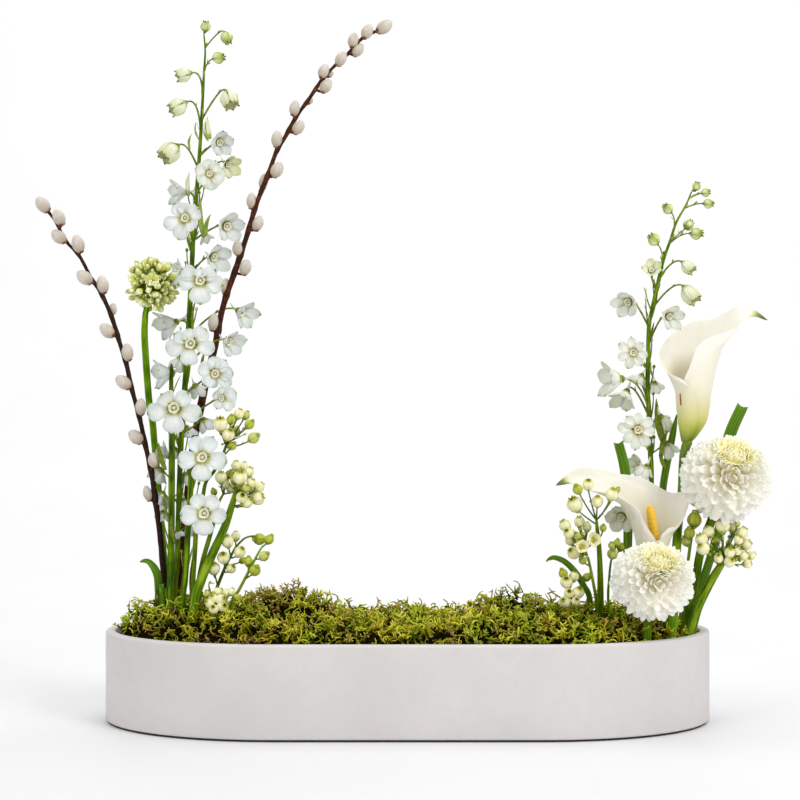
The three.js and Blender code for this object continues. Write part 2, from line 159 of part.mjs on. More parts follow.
// Buds of the sprays: c = centre, d = diameter, a = where the twig leaves the stem.
const BUDS = {
  spray_a: [
    {c:[-157.38,-6.0,293.6],d:9,a:[-180.66,-2.0,275.06]},
    {c:[-153.09,-9.0,280.23],d:10.5,a:[-181.89,-1.65,271.2]},
    {c:[-175.34,-10.0,298.33],d:8.5,a:[-180.66,-2.0,275.06]},
    {c:[-185.37,-14.0,293.23],d:12,a:[-181.54,-1.75,272.31]},
    {c:[-177.84,-14.0,282.83],d:10.5,a:[-182.95,-1.35,267.9]},
    {c:[-174.14,-10.0,272.3],d:8,a:[-186.32,-0.25,260.01]},
    {c:[-162.11,2.0,302.38],d:8,a:[-180.66,-2.0,275.06]},
    {c:[-168.57,-3.0,303.43],d:9,a:[-180.66,-2.0,275.06]},
    {c:[-171.95,4.0,286.92],d:8,a:[-181.54,-1.75,272.31]},
  ],
  spray_b: [
    {c:[-170.24,-12.0,252.32],d:8.5,a:[-169.42,-14.0,227.84]},
    {c:[-162.84,-8.0,251.35],d:8,a:[-169.42,-14.0,227.84]},
    {c:[-156.62,-18.0,246.36],d:8.5,a:[-169.42,-14.0,227.84]},
    {c:[-164.85,-24.0,240.74],d:12,a:[-170.26,-14.25,225.13]},
    {c:[-154.43,-22.0,235.71],d:8,a:[-170.26,-14.25,225.13]},
    {c:[-147.53,-14.0,231.31],d:9,a:[-170.93,-14.45,222.97]},
    {c:[-153.69,-6.0,227.36],d:7.5,a:[-170.93,-14.45,222.97]},
    {c:[-163.45,-26.0,221.88],d:9.5,a:[-171.93,-14.75,219.72]},
    {c:[-157.98,-22.0,216.3],d:9,a:[-173.93,-15.45,213.33]},
    {c:[-148.91,-16.0,220.04],d:11,a:[-173.93,-15.45,213.33]},
    {c:[-158.31,-30.0,231.74],d:7,a:[-170.93,-14.45,222.97]},
    {c:[-172.59,-8.0,238.42],d:7.5,a:[-170.09,-14.2,225.67]},
  ],
  spray_b2: [
    {c:[-185.47,-10.0,240.51],d:10,a:[-183.22,-2.9,225.08]},
    {c:[-181.52,-4.0,233.62],d:8,a:[-183.22,-2.9,225.08]},
    {c:[-176.5,0.0,229.2],d:8.5,a:[-184.09,-2.75,223.42]},
    {c:[-178.33,2.0,243.4],d:8,a:[-183.22,-2.9,225.08]},
    {c:[-194.01,4.0,225.76],d:6.5,a:[-188.71,-1.85,214.18]},
  ],
  spray_c: [
    {c:[-178.34,-14.0,177.51],d:11,a:[-175.67,-8.0,162.82]},
    {c:[-171.46,-3.0,181.47],d:8.5,a:[-171.02,-8.95,170.95]},
    {c:[-181.92,-18.0,161.68],d:10.5,a:[-181.86,-7.0,150.78]},
    {c:[-166.22,-17.0,167.31],d:10,a:[-176.6,-7.85,161.01]},
    {c:[-191.66,-16.0,150.58],d:11,a:[-188.52,-6.25,134.26]},
    {c:[-175.27,-14.0,150.56],d:8,a:[-184.08,-6.75,145.27]},
    {c:[-147.12,-10.0,179.72],d:11,a:[-154.48,-10.0,182.7]},
    {c:[-164.68,-2.0,157.71],d:6.5,a:[-179.69,-7.35,154.99]},
  ],
  spray_d: [
    {c:[-149.38,-32.0,151.19],d:10.2,a:[-159.47,-25.15,143.18]},
    {c:[-156.79,-22.0,158.55],d:8.5,a:[-156.6,-24.8,148.71]},
    {c:[-140.95,-27.0,164.58],d:9.2,a:[-150.4,-24.05,160.8]},
    {c:[-136.31,-24.0,180.61],d:8.8,a:[-143.32,-24.0,173.33]},
  ],
  spray_e: [
    {c:[-191.18,-50.0,121.21],d:8.5,a:[-186.61,-45.3,118.06]},
    {c:[-188.09,-50.0,125.95],d:8,a:[-186.41,-44.55,123.05]},
    {c:[-181.13,-50.0,124.98],d:9,a:[-186.54,-44.7,122.05]},
    {c:[-179.97,-50.0,118.4],d:8.5,a:[-186.52,-45.45,117.06]},
    {c:[-187.13,-53.0,115.72],d:8,a:[-186.36,-45.7,115.4]},
    {c:[-185.23,-42.0,130.73],d:7.5,a:[-186.33,-44.45,123.71]},
    {c:[-178.12,-38.0,128.86],d:7,a:[-186.66,-44.85,121.05]},
    {c:[-172.47,-38.0,130.42],d:7,a:[-186.61,-45.3,118.06]},
    {c:[-166.59,-40.0,125.61],d:6.5,a:[-186.45,-45.55,116.39]},
    {c:[-195.21,-40.0,129.12],d:6,a:[-186.79,-45.0,120.05]},
  ],
  spray_f: [
    {c:[287.7,-34.0,180.94],d:10.5,a:[308.72,-23.8,156.52]},
    {c:[288.88,-36.0,172.54],d:11,a:[307.62,-23.6,154.66]},
    {c:[295.94,-28.0,188.04],d:9.5,a:[309.9,-24.0,158.68]},
    {c:[309.09,-28.0,193.34],d:11.5,a:[310.99,-24.0,162.64]},
    {c:[303.32,-37.0,163.27],d:8,a:[307.62,-23.6,154.66]},
    {c:[313.41,-40.0,169.03],d:9,a:[309.9,-24.0,158.68]},
    {c:[313.64,-38.0,160.06],d:10,a:[308.72,-23.8,156.52]},
    {c:[322.12,-34.0,169.9],d:7,a:[310.4,-24.0,160.5]},
    {c:[323.29,-34.0,180.75],d:7.5,a:[310.65,-24.0,161.42]},
    {c:[328.81,-24.0,185.92],d:11,a:[310.99,-24.0,162.64]},
    {c:[333.0,-22.0,174.71],d:9.5,a:[310.4,-24.0,160.5]},
    {c:[329.06,-30.0,165.09],d:8,a:[310.15,-24.0,159.59]},
    {c:[338.58,-20.0,164.06],d:8,a:[309.9,-24.0,158.68]},
    {c:[333.09,-26.0,156.81],d:7.5,a:[309.27,-23.9,157.44]},
    {c:[322.86,-10.0,190.84],d:9,a:[310.99,-24.0,162.64]},
    {c:[305.65,-14.0,177.31],d:8,a:[309.9,-24.0,158.68]},
    {c:[324.25,-26.0,196.32],d:5.5,a:[310.4,-24.0,160.5]},
  ],
  spray_g: [
    {c:[283.96,-15.0,199.19],d:16.5,a:[283.61,-13.85,194.0]},
    {c:[278.56,-18.0,186.58],d:12.5,a:[281.11,-13.15,179.36]},
    {c:[276.5,-12.0,177.72],d:9,a:[280.19,-12.0,171.91]},
  ],
  spray_h: [
    {c:[164.3,-50.0,231.55],d:9.2,a:[185.43,-27.8,199.07]},
    {c:[174.79,-48.0,235.5],d:9.2,a:[185.32,-28.0,200.21]},
    {c:[163.28,-40.0,215.38],d:13,a:[185.72,-27.3,196.23]},
    {c:[184.45,-42.0,219.02],d:10.5,a:[185.32,-28.0,200.21]},
    {c:[197.25,-48.0,226.01],d:11,a:[185.43,-27.8,199.07]},
    {c:[203.06,-48.0,230.85],d:5.2,a:[185.43,-27.8,199.07]},
    {c:[191.63,-30.0,192.53],d:6.5,a:[187.78,-23.45,180.09]},
  ],
  spray_i: [
    {c:[155.19,-26.0,193.96],d:10,a:[174.27,-20.0,172.99]},
    {c:[169.41,-22.0,197.57],d:9,a:[173.68,-20.0,174.91]},
    {c:[158.09,-32.0,187.02],d:8.5,a:[174.57,-20.0,172.03]},
    {c:[160.55,-20.0,178.46],d:8,a:[175.16,-20.0,170.1]},
    {c:[169.47,-42.0,175.46],d:12,a:[175.45,-20.0,169.14]},
    {c:[181.46,-41.0,181.98],d:12.5,a:[174.86,-20.0,171.06]},
    {c:[162.79,-32.0,168.03],d:11,a:[176.9,-19.65,164.84]},
    {c:[171.87,-28.0,160.56],d:7.5,a:[179.74,-18.9,155.49]},
    {c:[177.37,-18.0,192.11],d:8,a:[173.98,-20.0,173.95]},
    {c:[166.37,-28.0,184.51],d:7.5,a:[174.57,-20.0,172.03]},
  ],
  spray_k: [
    {c:[201.28,-18.0,174.33],d:6,a:[202.93,-13.85,162.38]},
    {c:[207.09,-16.0,176.11],d:7.2,a:[203.21,-14.0,163.44]},
    {c:[211.7,-10.0,171.37],d:7.2,a:[202.66,-13.7,161.33]},
    {c:[201.93,-22.0,166.33],d:10,a:[202.38,-13.55,160.27]},
  ],
  spray_l: [
    {c:[153.44,-22.0,146.92],d:8.5,a:[157.98,-22.0,130.76]},
    {c:[164.13,-18.0,142.7],d:8.5,a:[158.36,-22.0,129.87]},
    {c:[155.56,-30.0,138.62],d:10,a:[158.36,-22.0,129.87]},
    {c:[154.17,-34.0,120.72],d:10.5,a:[163.03,-22.0,117.26]},
    {c:[157.08,-36.0,128.99],d:8,a:[160.77,-22.0,124.15]},
    {c:[166.51,-32.0,128.68],d:10,a:[161.9,-22.0,120.7]},
    {c:[177.68,-12.0,142.0],d:8,a:[160.77,-22.0,124.15]},
    {c:[163.67,-40.0,121.91],d:7.5,a:[163.71,-22.0,115.19]},
  ],
};
// Ball heads: centre, radius, and the way they face.
const MUMS = {
  mum_upper: {c:[313.04,-26.0,242.81],R:46.0,f:[0.15,-0.81,0.56]},
  mum_lower: {c:[233.47,-72.0,147.02],R:42.5,f:[0.2,-0.81,0.55]},
};
const GLOBE = {c:[-256.88,10.0,433.25],R:26.0};
// Spathe net, one row per meridian from the foot of the tube to the rim, from the outer margin round to the inner one; spadix points with radii.
const CALLA_UPPER = {
  net: [
    [[281.01,-10.63,276.69],[286.27,-14.04,285.31],[289.15,-19.25,297.27],[285.48,-23.76,313.08],[279.53,-26.16,328.32],[276.4,-27.5,331.75],[272.79,-27.9,335.37],[269.24,-28.0,338.61]],
    [[275.97,-12.63,276.75],[276.95,-17.0,285.37],[276.91,-21.36,297.3],[275.08,-23.21,313.08],[272.27,-23.76,328.34],[268.65,-26.9,335.19],[264.06,-26.2,339.03],[259.94,-25.0,342.78]],
    [[273.31,-10.7,276.69],[272.06,-13.28,285.29],[270.44,-15.97,297.22],[268.94,-17.41,313.06],[267.5,-18.44,328.37],[260.17,-22.0,340.17],[255.98,-20.6,345.03],[251.88,-18.0,349.03]],
    [[272.95,-8.0,276.62],[271.36,-8.0,285.17],[269.37,-8.0,297.11],[267.68,-8.0,313.03],[266.09,-8.0,328.44],[257.63,-8.0,346.85],[252.76,-8.0,354.31],[249.78,-8.0,361.37]],
    [[274.6,-4.98,276.54],[274.57,-2.09,285.05],[274.22,0.93,296.99],[273.39,2.54,312.99],[272.42,3.7,328.53],[264.37,5.0,352.11],[259.05,4.4,362.13],[255.24,2.0,372.67]],
    [[277.25,-3.46,276.49],[279.78,0.89,284.98],[282.11,5.43,296.92],[282.71,7.84,312.97],[282.76,9.58,328.57],[275.66,12.0,358.32],[271.56,11.6,372.41],[267.25,10.0,385.04]],
    [[279.68,-3.46,276.49],[284.55,0.89,284.98],[289.33,5.43,296.92],[291.24,7.84,312.97],[292.24,9.58,328.57],[287.5,16.0,363.47],[287.41,16.6,380.68],[288.51,16.0,398.04]],
    [[281.02,-4.15,276.51],[287.19,-0.46,285.01],[293.33,3.39,296.95],[295.96,5.43,312.98],[297.49,6.91,328.55],[301.03,18.0,366.57],[303.88,19.6,384.85],[308.51,20.0,400.78]],
    [[281.96,-5.3,276.55],[289.02,-2.72,285.06],[296.08,-0.03,297.0],[299.21,1.41,313.0],[301.09,2.44,328.52],[309.33,14.0,368.46],[316.21,18.0,388.83],[325.74,20.0,409.19]],
    [[282.35,-6.55,276.58],[289.76,-5.16,285.11],[297.19,-3.7,297.05],[300.52,-2.93,313.01],[302.53,-2.38,328.48],[312.64,8.0,368.77],[325.15,13.4,393.66],[337.11,16.4,414.13]],
    [[282.38,-7.02,276.59],[289.83,-6.09,285.13],[297.29,-5.11,297.07],[300.63,-4.59,313.02],[302.66,-4.22,328.47],[313.43,5.5,368.98],[330.84,10.8,398.97],[346.44,13.0,411.39]],
    [[282.38,-7.43,276.6],[289.81,-6.88,285.15],[297.26,-6.31,297.09],[300.58,-6.0,313.02],[302.61,-5.78,328.46],[314.02,3.0,369.2],[335.86,8.0,401.84],[354.1,8.6,405.09]],
    [[282.33,-7.84,276.61],[289.72,-7.68,285.17],[297.11,-7.51,297.1],[300.41,-7.43,313.02],[302.41,-7.36,328.45],[314.51,1.0,369.33],[339.07,4.8,402.07],[361.05,4.0,398.01]],
    [[282.25,-8.25,276.63],[289.56,-8.48,285.18],[296.86,-8.73,297.12],[300.11,-8.86,313.03],[302.08,-8.95,328.44],[314.39,-1.0,369.17],[337.1,1.8,399.7],[352.67,4.2,401.33]],
    [[282.08,-8.82,276.64],[289.22,-9.6,285.21],[296.34,-10.41,297.14],[299.49,-10.85,313.04],[301.39,-11.16,328.42],[313.38,-3.5,368.58],[331.99,-1.4,393.63],[342.86,1.6,402.19]],
    [[281.76,-9.53,276.66],[288.59,-11.0,285.24],[295.38,-12.53,297.17],[298.36,-13.34,313.04],[300.13,-13.93,328.4],[310.96,-7.5,367.35],[324.9,-5.6,385.45],[336.27,-2.4,396.68]],
    [[281.28,-10.17,276.68],[287.68,-12.27,285.27],[294.05,-14.48,297.2],[296.79,-15.65,313.05],[298.4,-16.5,328.39],[307.75,-11.0,365.65],[318.6,-9.0,378.14],[327.8,-6.0,389.72]],
    [[280.02,-10.96,276.7],[285.35,-14.01,285.3],[290.67,-17.33,297.24],[292.87,-19.1,313.06],[294.07,-20.37,328.36],[300.0,-17.5,361.49],[305.86,-15.4,372.94],[312.4,-12.5,384.15]],
    [[278.55,-11.32,276.71],[282.46,-15.07,285.33],[286.29,-19.33,297.27],[287.68,-21.59,313.07],[288.32,-23.23,328.34],[290.82,-21.5,356.45],[292.28,-20.6,367.32],[294.56,-19.0,378.04]],
    [[277.32,-11.13,276.71],[279.81,-15.07,285.33],[282.01,-19.76,297.27],[282.54,-22.25,313.07],[282.55,-24.04,328.33],[283.63,-23.0,349.51],[283.97,-22.8,358.38],[284.32,-22.0,368.26]],
    [[276.26,-11.03,276.7],[277.42,-14.86,285.32],[278.04,-19.4,297.27],[277.75,-21.81,313.07],[277.16,-23.55,328.34],[277.8,-22.6,341.64],[278.16,-22.8,347.25],[278.69,-22.6,352.97]],
    [[275.18,-10.41,276.69],[274.98,-13.44,285.29],[274.0,-17.04,297.24],[272.86,-18.95,313.06],[271.66,-20.33,328.36],[272.14,-21.2,333.28],[272.38,-21.5,336.24],[272.8,-21.4,339.2]],
  ],
  spadix: [[278.37,-8.3,280.71,2.4],[280.81,-8.0,289.15,2.6],[282.5,-8.0,300.09,3.4],[283.3,-8.0,314.02,3.9],[283.67,-7.6,327.95,3.7],[283.95,-7.2,334.92,2.9]],
};
const CALLA_LOWER = {
  net: [
    [[247.43,-22.47,132.78],[246.54,-25.61,143.0],[245.55,-29.41,155.22],[244.82,-32.27,168.25],[244.63,-33.6,178.17],[242.39,-34.9,180.24],[241.66,-35.2,181.93],[240.94,-35.4,183.61]],
    [[245.02,-22.6,132.8],[242.44,-25.83,143.03],[239.42,-29.74,155.25],[237.16,-32.67,168.3],[236.27,-34.04,178.21],[235.7,-35.2,185.16],[235.15,-35.6,188.61],[234.43,-35.8,193.02]],
    [[243.17,-21.6,132.68],[239.29,-24.13,142.83],[234.7,-27.19,154.98],[231.27,-29.49,167.97],[229.83,-30.56,177.88],[229.83,-34.0,190.91],[229.43,-35.3,196.4],[228.94,-36.0,202.31]],
    [[242.19,-19.91,132.47],[237.62,-21.25,142.49],[232.18,-22.88,154.5],[228.11,-24.1,167.43],[226.38,-24.67,177.33],[225.49,-30.4,195.5],[225.23,-33.4,203.58],[225.11,-35.5,211.36]],
    [[242.07,-18.16,132.25],[237.41,-18.28,142.14],[231.86,-18.42,154.02],[227.69,-18.52,166.87],[225.91,-18.57,176.75],[221.17,-26.5,201.08],[217.92,-31.2,210.26],[214.04,-35.0,218.55]],
    [[242.56,-16.55,132.05],[238.23,-15.53,141.82],[233.07,-14.29,153.56],[229.2,-13.36,166.35],[227.55,-12.93,176.22],[215.78,-23.0,208.19],[208.3,-30.0,217.04],[201.08,-35.5,225.61]],
    [[243.55,-15.11,131.87],[239.91,-13.07,141.53],[235.58,-10.61,153.16],[232.33,-8.77,165.88],[230.97,-7.9,175.74],[209.27,-19.5,216.32],[195.61,-29.6,222.89],[181.95,-37.0,229.22]],
    [[243.99,-14.68,131.82],[240.67,-12.34,141.45],[236.72,-9.51,153.04],[233.75,-7.39,165.75],[232.52,-6.4,175.6],[208.4,-18.0,219.38],[186.81,-29.4,228.18],[166.6,-39.0,232.26]],
    [[244.41,-14.35,131.78],[241.38,-11.78,141.38],[237.78,-8.67,152.95],[235.07,-6.34,165.64],[233.97,-5.25,175.5],[207.79,-16.7,222.27],[180.48,-29.0,233.06],[155.68,-41.0,238.31]],
    [[244.93,-14.01,131.74],[242.26,-11.22,141.32],[239.1,-7.82,152.86],[236.72,-5.28,165.53],[235.77,-4.09,175.39],[207.56,-15.5,224.96],[175.16,-28.4,237.93],[144.19,-42.0,234.87]],
    [[245.39,-13.78,131.71],[243.05,-10.81,141.27],[240.29,-7.21,152.79],[238.21,-4.52,165.46],[237.4,-3.26,175.31],[207.94,-14.2,226.86],[175.44,-26.0,240.94],[150.92,-38.0,241.66]],
    [[245.87,-13.58,131.68],[243.87,-10.48,141.23],[241.52,-6.72,152.74],[239.75,-3.9,165.39],[239.08,-2.59,175.24],[208.7,-13.0,228.57],[179.73,-23.0,242.86],[159.45,-33.0,248.54]],
    [[246.36,-13.44,131.67],[244.7,-10.24,141.2],[242.78,-6.36,152.7],[241.32,-3.45,165.35],[240.8,-2.09,175.2],[210.22,-12.0,230.2],[188.58,-19.2,242.17],[170.9,-27.0,252.39]],
    [[247.67,-13.3,131.65],[246.94,-10.0,141.17],[246.14,-6.01,152.66],[245.54,-3.01,165.3],[245.41,-1.61,175.15],[218.84,-8.0,230.96],[202.39,-12.0,241.21],[188.37,-17.0,250.37]],
    [[248.91,-13.53,131.68],[249.05,-10.39,141.22],[249.32,-6.59,152.72],[249.52,-3.73,165.38],[249.77,-2.4,175.23],[229.82,-4.5,227.27],[218.69,-5.6,237.3],[209.39,-8.0,244.79]],
    [[249.98,-14.1,131.75],[250.88,-11.37,141.33],[252.07,-8.05,152.88],[252.96,-5.56,165.56],[253.53,-4.4,175.42],[240.68,-2.0,220.63],[236.28,-1.4,231.58],[232.19,-2.0,241.3]],
    [[250.8,-14.98,131.86],[252.27,-12.86,141.51],[254.16,-10.29,153.13],[255.57,-8.36,165.84],[256.4,-7.46,175.7],[251.33,-1.0,213.57],[250.6,0.6,223.76],[249.96,1.0,232.04]],
    [[251.3,-16.09,131.99],[253.12,-14.75,141.73],[255.43,-13.12,153.44],[257.17,-11.9,166.2],[258.14,-11.33,176.07],[261.05,-2.6,207.19],[262.7,-0.6,216.54],[263.9,0.0,225.2]],
    [[251.44,-17.51,132.17],[253.36,-17.16,142.01],[255.78,-16.75,153.83],[257.6,-16.43,166.66],[258.6,-16.29,176.54],[268.46,-7.0,204.53],[273.81,-6.0,215.91],[278.39,-6.0,227.16]],
    [[250.84,-19.08,132.36],[252.42,-19.86,142.33],[254.5,-20.83,154.28],[256.06,-21.55,167.17],[256.95,-21.89,177.06],[270.69,-13.4,200.05],[276.04,-13.4,209.96],[279.6,-14.0,219.32]],
    [[249.73,-20.12,132.49],[250.67,-21.76,142.55],[252.05,-23.86,154.61],[253.1,-25.45,167.57],[253.75,-26.19,177.47],[266.25,-21.6,194.19],[270.61,-22.6,199.3],[273.49,-23.0,205.93]],
    [[248.66,-20.66,132.56],[248.88,-22.87,142.68],[249.41,-25.8,154.82],[249.83,-28.03,167.83],[250.18,-29.07,177.74],[259.01,-27.0,188.35],[262.49,-28.4,190.43],[265.82,-29.0,194.8]],
    [[247.64,-20.85,132.58],[247.06,-23.41,142.75],[246.6,-26.93,154.95],[246.27,-29.63,167.99],[246.27,-30.88,177.91],[252.34,-30.4,184.24],[254.15,-31.3,188.23],[256.09,-31.4,192.65]],
    [[246.66,-21.11,132.62],[245.2,-23.92,142.81],[243.53,-27.8,155.04],[242.28,-30.77,168.1],[241.85,-32.16,178.03],[246.85,-31.6,181.11],[247.17,-32.0,182.91],[247.76,-32.0,185.26]],
  ],
  spadix: [[246.44,-18.0,136.68,2.3],[245.75,-18.0,148.04,2.9],[244.78,-18.5,163.9,4.2],[243.73,-19.5,180.79,4.6],[241.23,-21.5,197.73,4.7],[239.04,-23.5,208.72,4.0],[238.34,-24.2,213.1,2.6]],
};

// ---------------------------------------------------------------- solids and booleans
const wasm = await Module();
wasm.setup();

// A closed geometry as a solid: only its positions, shared vertices merged, faces outward.
function solid(geometry) {
  const flat = geometry.index ? geometry.toNonIndexed() : geometry;
  const bare = mergeVertices(new THREE.BufferGeometry().setAttribute('position', flat.getAttribute('position').clone()), 1e-4);
  const tri = [];
  const index = bare.index.array;
  for (let i = 0; i < index.length; i += 3) {
    const [a, b, c] = [index[i], index[i + 1], index[i + 2]];
    if (a !== b && b !== c && c !== a) tri.push(a, b, c);
  }
  const make = (t) => new wasm.Manifold(new wasm.Mesh({ numProp: 3, vertProperties: bare.attributes.position.array, triVerts: new Uint32Array(t) }));
  const made = make(tri);
  if (made.volume() >= 0) return made;
  for (let i = 0; i < tri.length; i += 3) [tri[i + 1], tri[i + 2]] = [tri[i + 2], tri[i + 1]];
  return make(tri);
}

function geometryOf(made) {
  const mesh = made.getMesh();
  const at = new Float32Array(mesh.numVert * 3);
  for (let i = 0; i < mesh.numVert; i++)
    for (let k = 0; k < 3; k++) at[i * 3 + k] = mesh.vertProperties[i * mesh.numProp + k];
  const geometry = new THREE.BufferGeometry().setAttribute('position', new THREE.BufferAttribute(at, 3));
  geometry.setIndex(new THREE.BufferAttribute(Uint32Array.from(mesh.triVerts), 1));
  geometry.computeVertexNormals();
  return geometry;
}

const join = (list) => list.reduce((a, b) => a.add(b));
const cut = (from, list) => list.reduce((a, b) => a.subtract(b), from);
const V = (p) => new THREE.Vector3(p[0], p[1], p[2]);
const clamp01 = (t) => Math.min(1, Math.max(0, t));

// ---------------------------------------------------------------- building blocks
// Rings along a stem, one more than the pieces it is divided into.
const stepsOf = (key) => STEMS[key].p.length - 1 + (key.startsWith('delph') ? 2 : 0);
// A round stem through the points, its radius following the list of radii.
function stem(points, radii, { sides = 6, steps = points.length - 1, grow = 0 } = {}) {
  const curve = new THREE.CatmullRomCurve3(points.map(V));
  const ring = new THREE.Shape();
  for (let i = 0; i < sides; i++) {
    const a = (2 * Math.PI * i) / sides;
    i ? ring.lineTo(Math.cos(a), Math.sin(a)) : ring.moveTo(1, 0);
  }
  ring.closePath();
  const geometry = new THREE.ExtrudeGeometry(ring, { steps, bevelEnabled: false, extrudePath: curve, curveSegments: 1 });
  const centres = curve.getSpacedPoints(steps);
  const radius = centres.map((_, s) => {
    const t = curve.getUtoTmapping(s / steps) * (points.length - 1);
    const i = Math.min(points.length - 2, Math.floor(t));
    return radii[i] + (radii[i + 1] - radii[i]) * (t - i) + grow;
  });
  const at = geometry.getAttribute('position');
  const v = new THREE.Vector3();
  for (let i = 0; i < at.count; i++) {
    v.fromBufferAttribute(at, i);
    let s = 0;
    let best = Infinity;
    centres.forEach((c, k) => {
      const d = Math.abs(c.distanceTo(v) - 1);
      if (d < best) {
        best = d;
        s = k;
      }
    });
    v.sub(centres[s]).multiplyScalar(radius[s]).add(centres[s]);
    if (grow && s === 0) v.addScaledVector(curve.getTangent(0), -0.5); // a hole is a little deeper than its stem
    at.setXYZ(i, v.x, v.y, v.z);
  }
  return solid(geometry);
}

// A thin twig that leaves `from`, bends over and ends at `to`.
function twig(from, to, r, { bend = 0.25, sides = 3, steps = 2, dir = null } = {}) {
  const a = V(from);
  const b = V(to);
  const mid = dir ? b.clone().addScaledVector(V(dir), -0.45 * a.distanceTo(b)) : a.clone().lerp(b, 0.5);
  if (!dir) mid.z -= bend * a.distanceTo(b) * 0.35;
  const curve = new THREE.QuadraticBezierCurve3(a, mid, b);
  const ring = new THREE.Shape();
  for (let i = 0; i < sides; i++) {
    const t = (2 * Math.PI * i) / sides;
    i ? ring.lineTo(r * Math.cos(t), r * Math.sin(t)) : ring.moveTo(r, 0);
  }
  ring.closePath();
  return solid(new THREE.ExtrudeGeometry(ring, { steps, bevelEnabled: false, extrudePath: curve, curveSegments: 1 }));
}

// Turns +Z of a geometry to the direction f, rolls it about f, and moves it to c.
function placed(geometry, c, f, roll = 0) {
  const q = new THREE.Quaternion().setFromUnitVectors(new THREE.Vector3(0, 0, 1), V(f).normalize());
  const m = new THREE.Matrix4().compose(V(c), q, new THREE.Vector3(1, 1, 1));
  return geometry.applyMatrix4(new THREE.Matrix4().makeRotationZ(roll)).applyMatrix4(m);
}

// A bud: a small closed ball, longer along its own axis.
function bud(c, r, f = [0, 0, 1], long = 1.15, small = false) {
  return solid(placed((small ? new THREE.OctahedronGeometry(r * 1.12, 0) : new THREE.IcosahedronGeometry(r, 0)).applyMatrix4(new THREE.Matrix4().makeScale(1, 1, long)), c, f));
}

// A half-open floret as one plain bell, its mouth towards f.
function bell(c, R, f, mouth) {
  const L = R * 1.0;
  const profile = [[0, -L], [0.34 * R, -0.82 * L], [0.62 * R, 0], [mouth * R, 0.72 * L], [0, L]].map((p) => new THREE.Vector2(p[0], p[1]));
  const geometry = new THREE.LatheGeometry(profile, 5).applyMatrix4(new THREE.Matrix4().makeRotationX(Math.PI / 2));
  return solid(placed(geometry, c, f));
}

// An open floret: a thin five-petalled cup with its face towards f.
function floret(c, R, f, cup, roll) {
  const h = FLORET_THICKNESS / 2;
  const profile = [[0, -h - 1.2], [0.6, -h], [1, 0], [0.6, h], [0, h + 0.9]].map((p) => new THREE.Vector2(p[0], p[1]));
  const geometry = new THREE.LatheGeometry(profile, 10);
  const at = geometry.getAttribute('position');
  for (let i = 0; i < at.count; i++) {
    const x = at.getX(i);
    const y = at.getZ(i);
    const rho = Math.hypot(x, y);
    const angle = Math.atan2(y, x);
    const star = 0.7 + 0.3 * Math.pow(Math.abs(Math.cos(2.5 * angle)), 0.7);
    const reach = R * rho * (1 - (1 - star) * rho) * Math.sqrt(1 - 0.5 * cup * cup * rho * rho);
    at.setXYZ(i, rho ? (x / rho) * reach : 0, rho ? (y / rho) * reach : 0, at.getY(i) + cup * R * (rho * rho - 0.35));
  }
  return solid(placed(geometry, c, f, roll));
}

// A sheet over the unit square given by at(u, v), of even thickness.
function sheet(at, nu, nv, thickness) {
  const box = new THREE.BoxGeometry(1, 1, 1, nu, nv, 1);
  const pos = box.getAttribute('position');
  const e = 1e-3;
  for (let i = 0; i < pos.count; i++) {
    const u = pos.getX(i) + 0.5;
    const v = pos.getY(i) + 0.5;
    const p = at(u, v);
    const du = at(Math.min(1, u + e), v).sub(at(Math.max(0, u - e), v));
    const dv = at(u, Math.min(1, v + e)).sub(at(u, Math.max(0, v - e)));
    const n = du.cross(dv).normalize();
    const w = typeof thickness === 'function' ? thickness(u, v) : thickness;
    p.addScaledVector(n, pos.getZ(i) * w);
    pos.setXYZ(i, p.x, p.y, p.z);
  }
  return solid(box);
}

const catmull = (a, b, c, d, t) => {
  const t2 = t * t;
  const t3 = t2 * t;
  return 0.5 * (2 * b + (c - a) * t + (2 * a - 5 * b + 4 * c - d) * t2 + (3 * b - a - 3 * c + d) * t3);
};

// Smooth point on a net of control points, net[i][j], i along u and j along v.
function netPoint(net, u, v) {
  const n = net.length - 1;
  const m = net[0].length - 1;
  const row = (i, tv) => {
    const x = tv * m;
    const j = Math.min(m - 1, Math.floor(x));
    const r = net[i];
    return [0, 1, 2].map((k) => catmull(r[Math.max(0, j - 1)][k], r[j][k], r[j + 1][k], r[Math.min(m, j + 2)][k], x - j));
  };
  const x = u * n;
  const i = Math.min(n - 1, Math.floor(x));
  const [a, b, c, d] = [Math.max(0, i - 1), i, i + 1, Math.min(n, i + 2)].map((k) => row(k, v));
  return new THREE.Vector3(...[0, 1, 2].map((k) => catmull(a[k], b[k], c[k], d[k], x - i)));
}

// A strap leaf along its points, half-widths per point, its face towards `face`.
function blade({ p, w, face, cup, cut: cutEnd }, grow = 0) {
  const curve = new THREE.CatmullRomCurve3(p.map(V));
  const f = V(face).normalize();
  const nv = p.length + 2;
  return sheet((u, v) => {
    const c = curve.getPoint(v);
    const side = curve.getTangent(Math.min(0.999, Math.max(0.001, v))).cross(f).normalize();
    const out = side.clone().cross(curve.getTangent(Math.min(0.999, Math.max(0.001, v)))).normalize();
    const x = v * (p.length - 1);
    const i = Math.min(p.length - 2, Math.floor(x));
    const half = w[i] + (w[i + 1] - w[i]) * (x - i) + grow;
    const s = 2 * u - 1;
    return c.addScaledVector(side, s * half).addScaledVector(out, cup * half * (s * s - 0.5));
  }, 2, nv, grow ? LEAF_THICKNESS + 2 * grow : cutEnd ? LEAF_THICKNESS : (u, v) => LEAF_THICKNESS * (v > 0.97 ? 0.5 : 1));
}

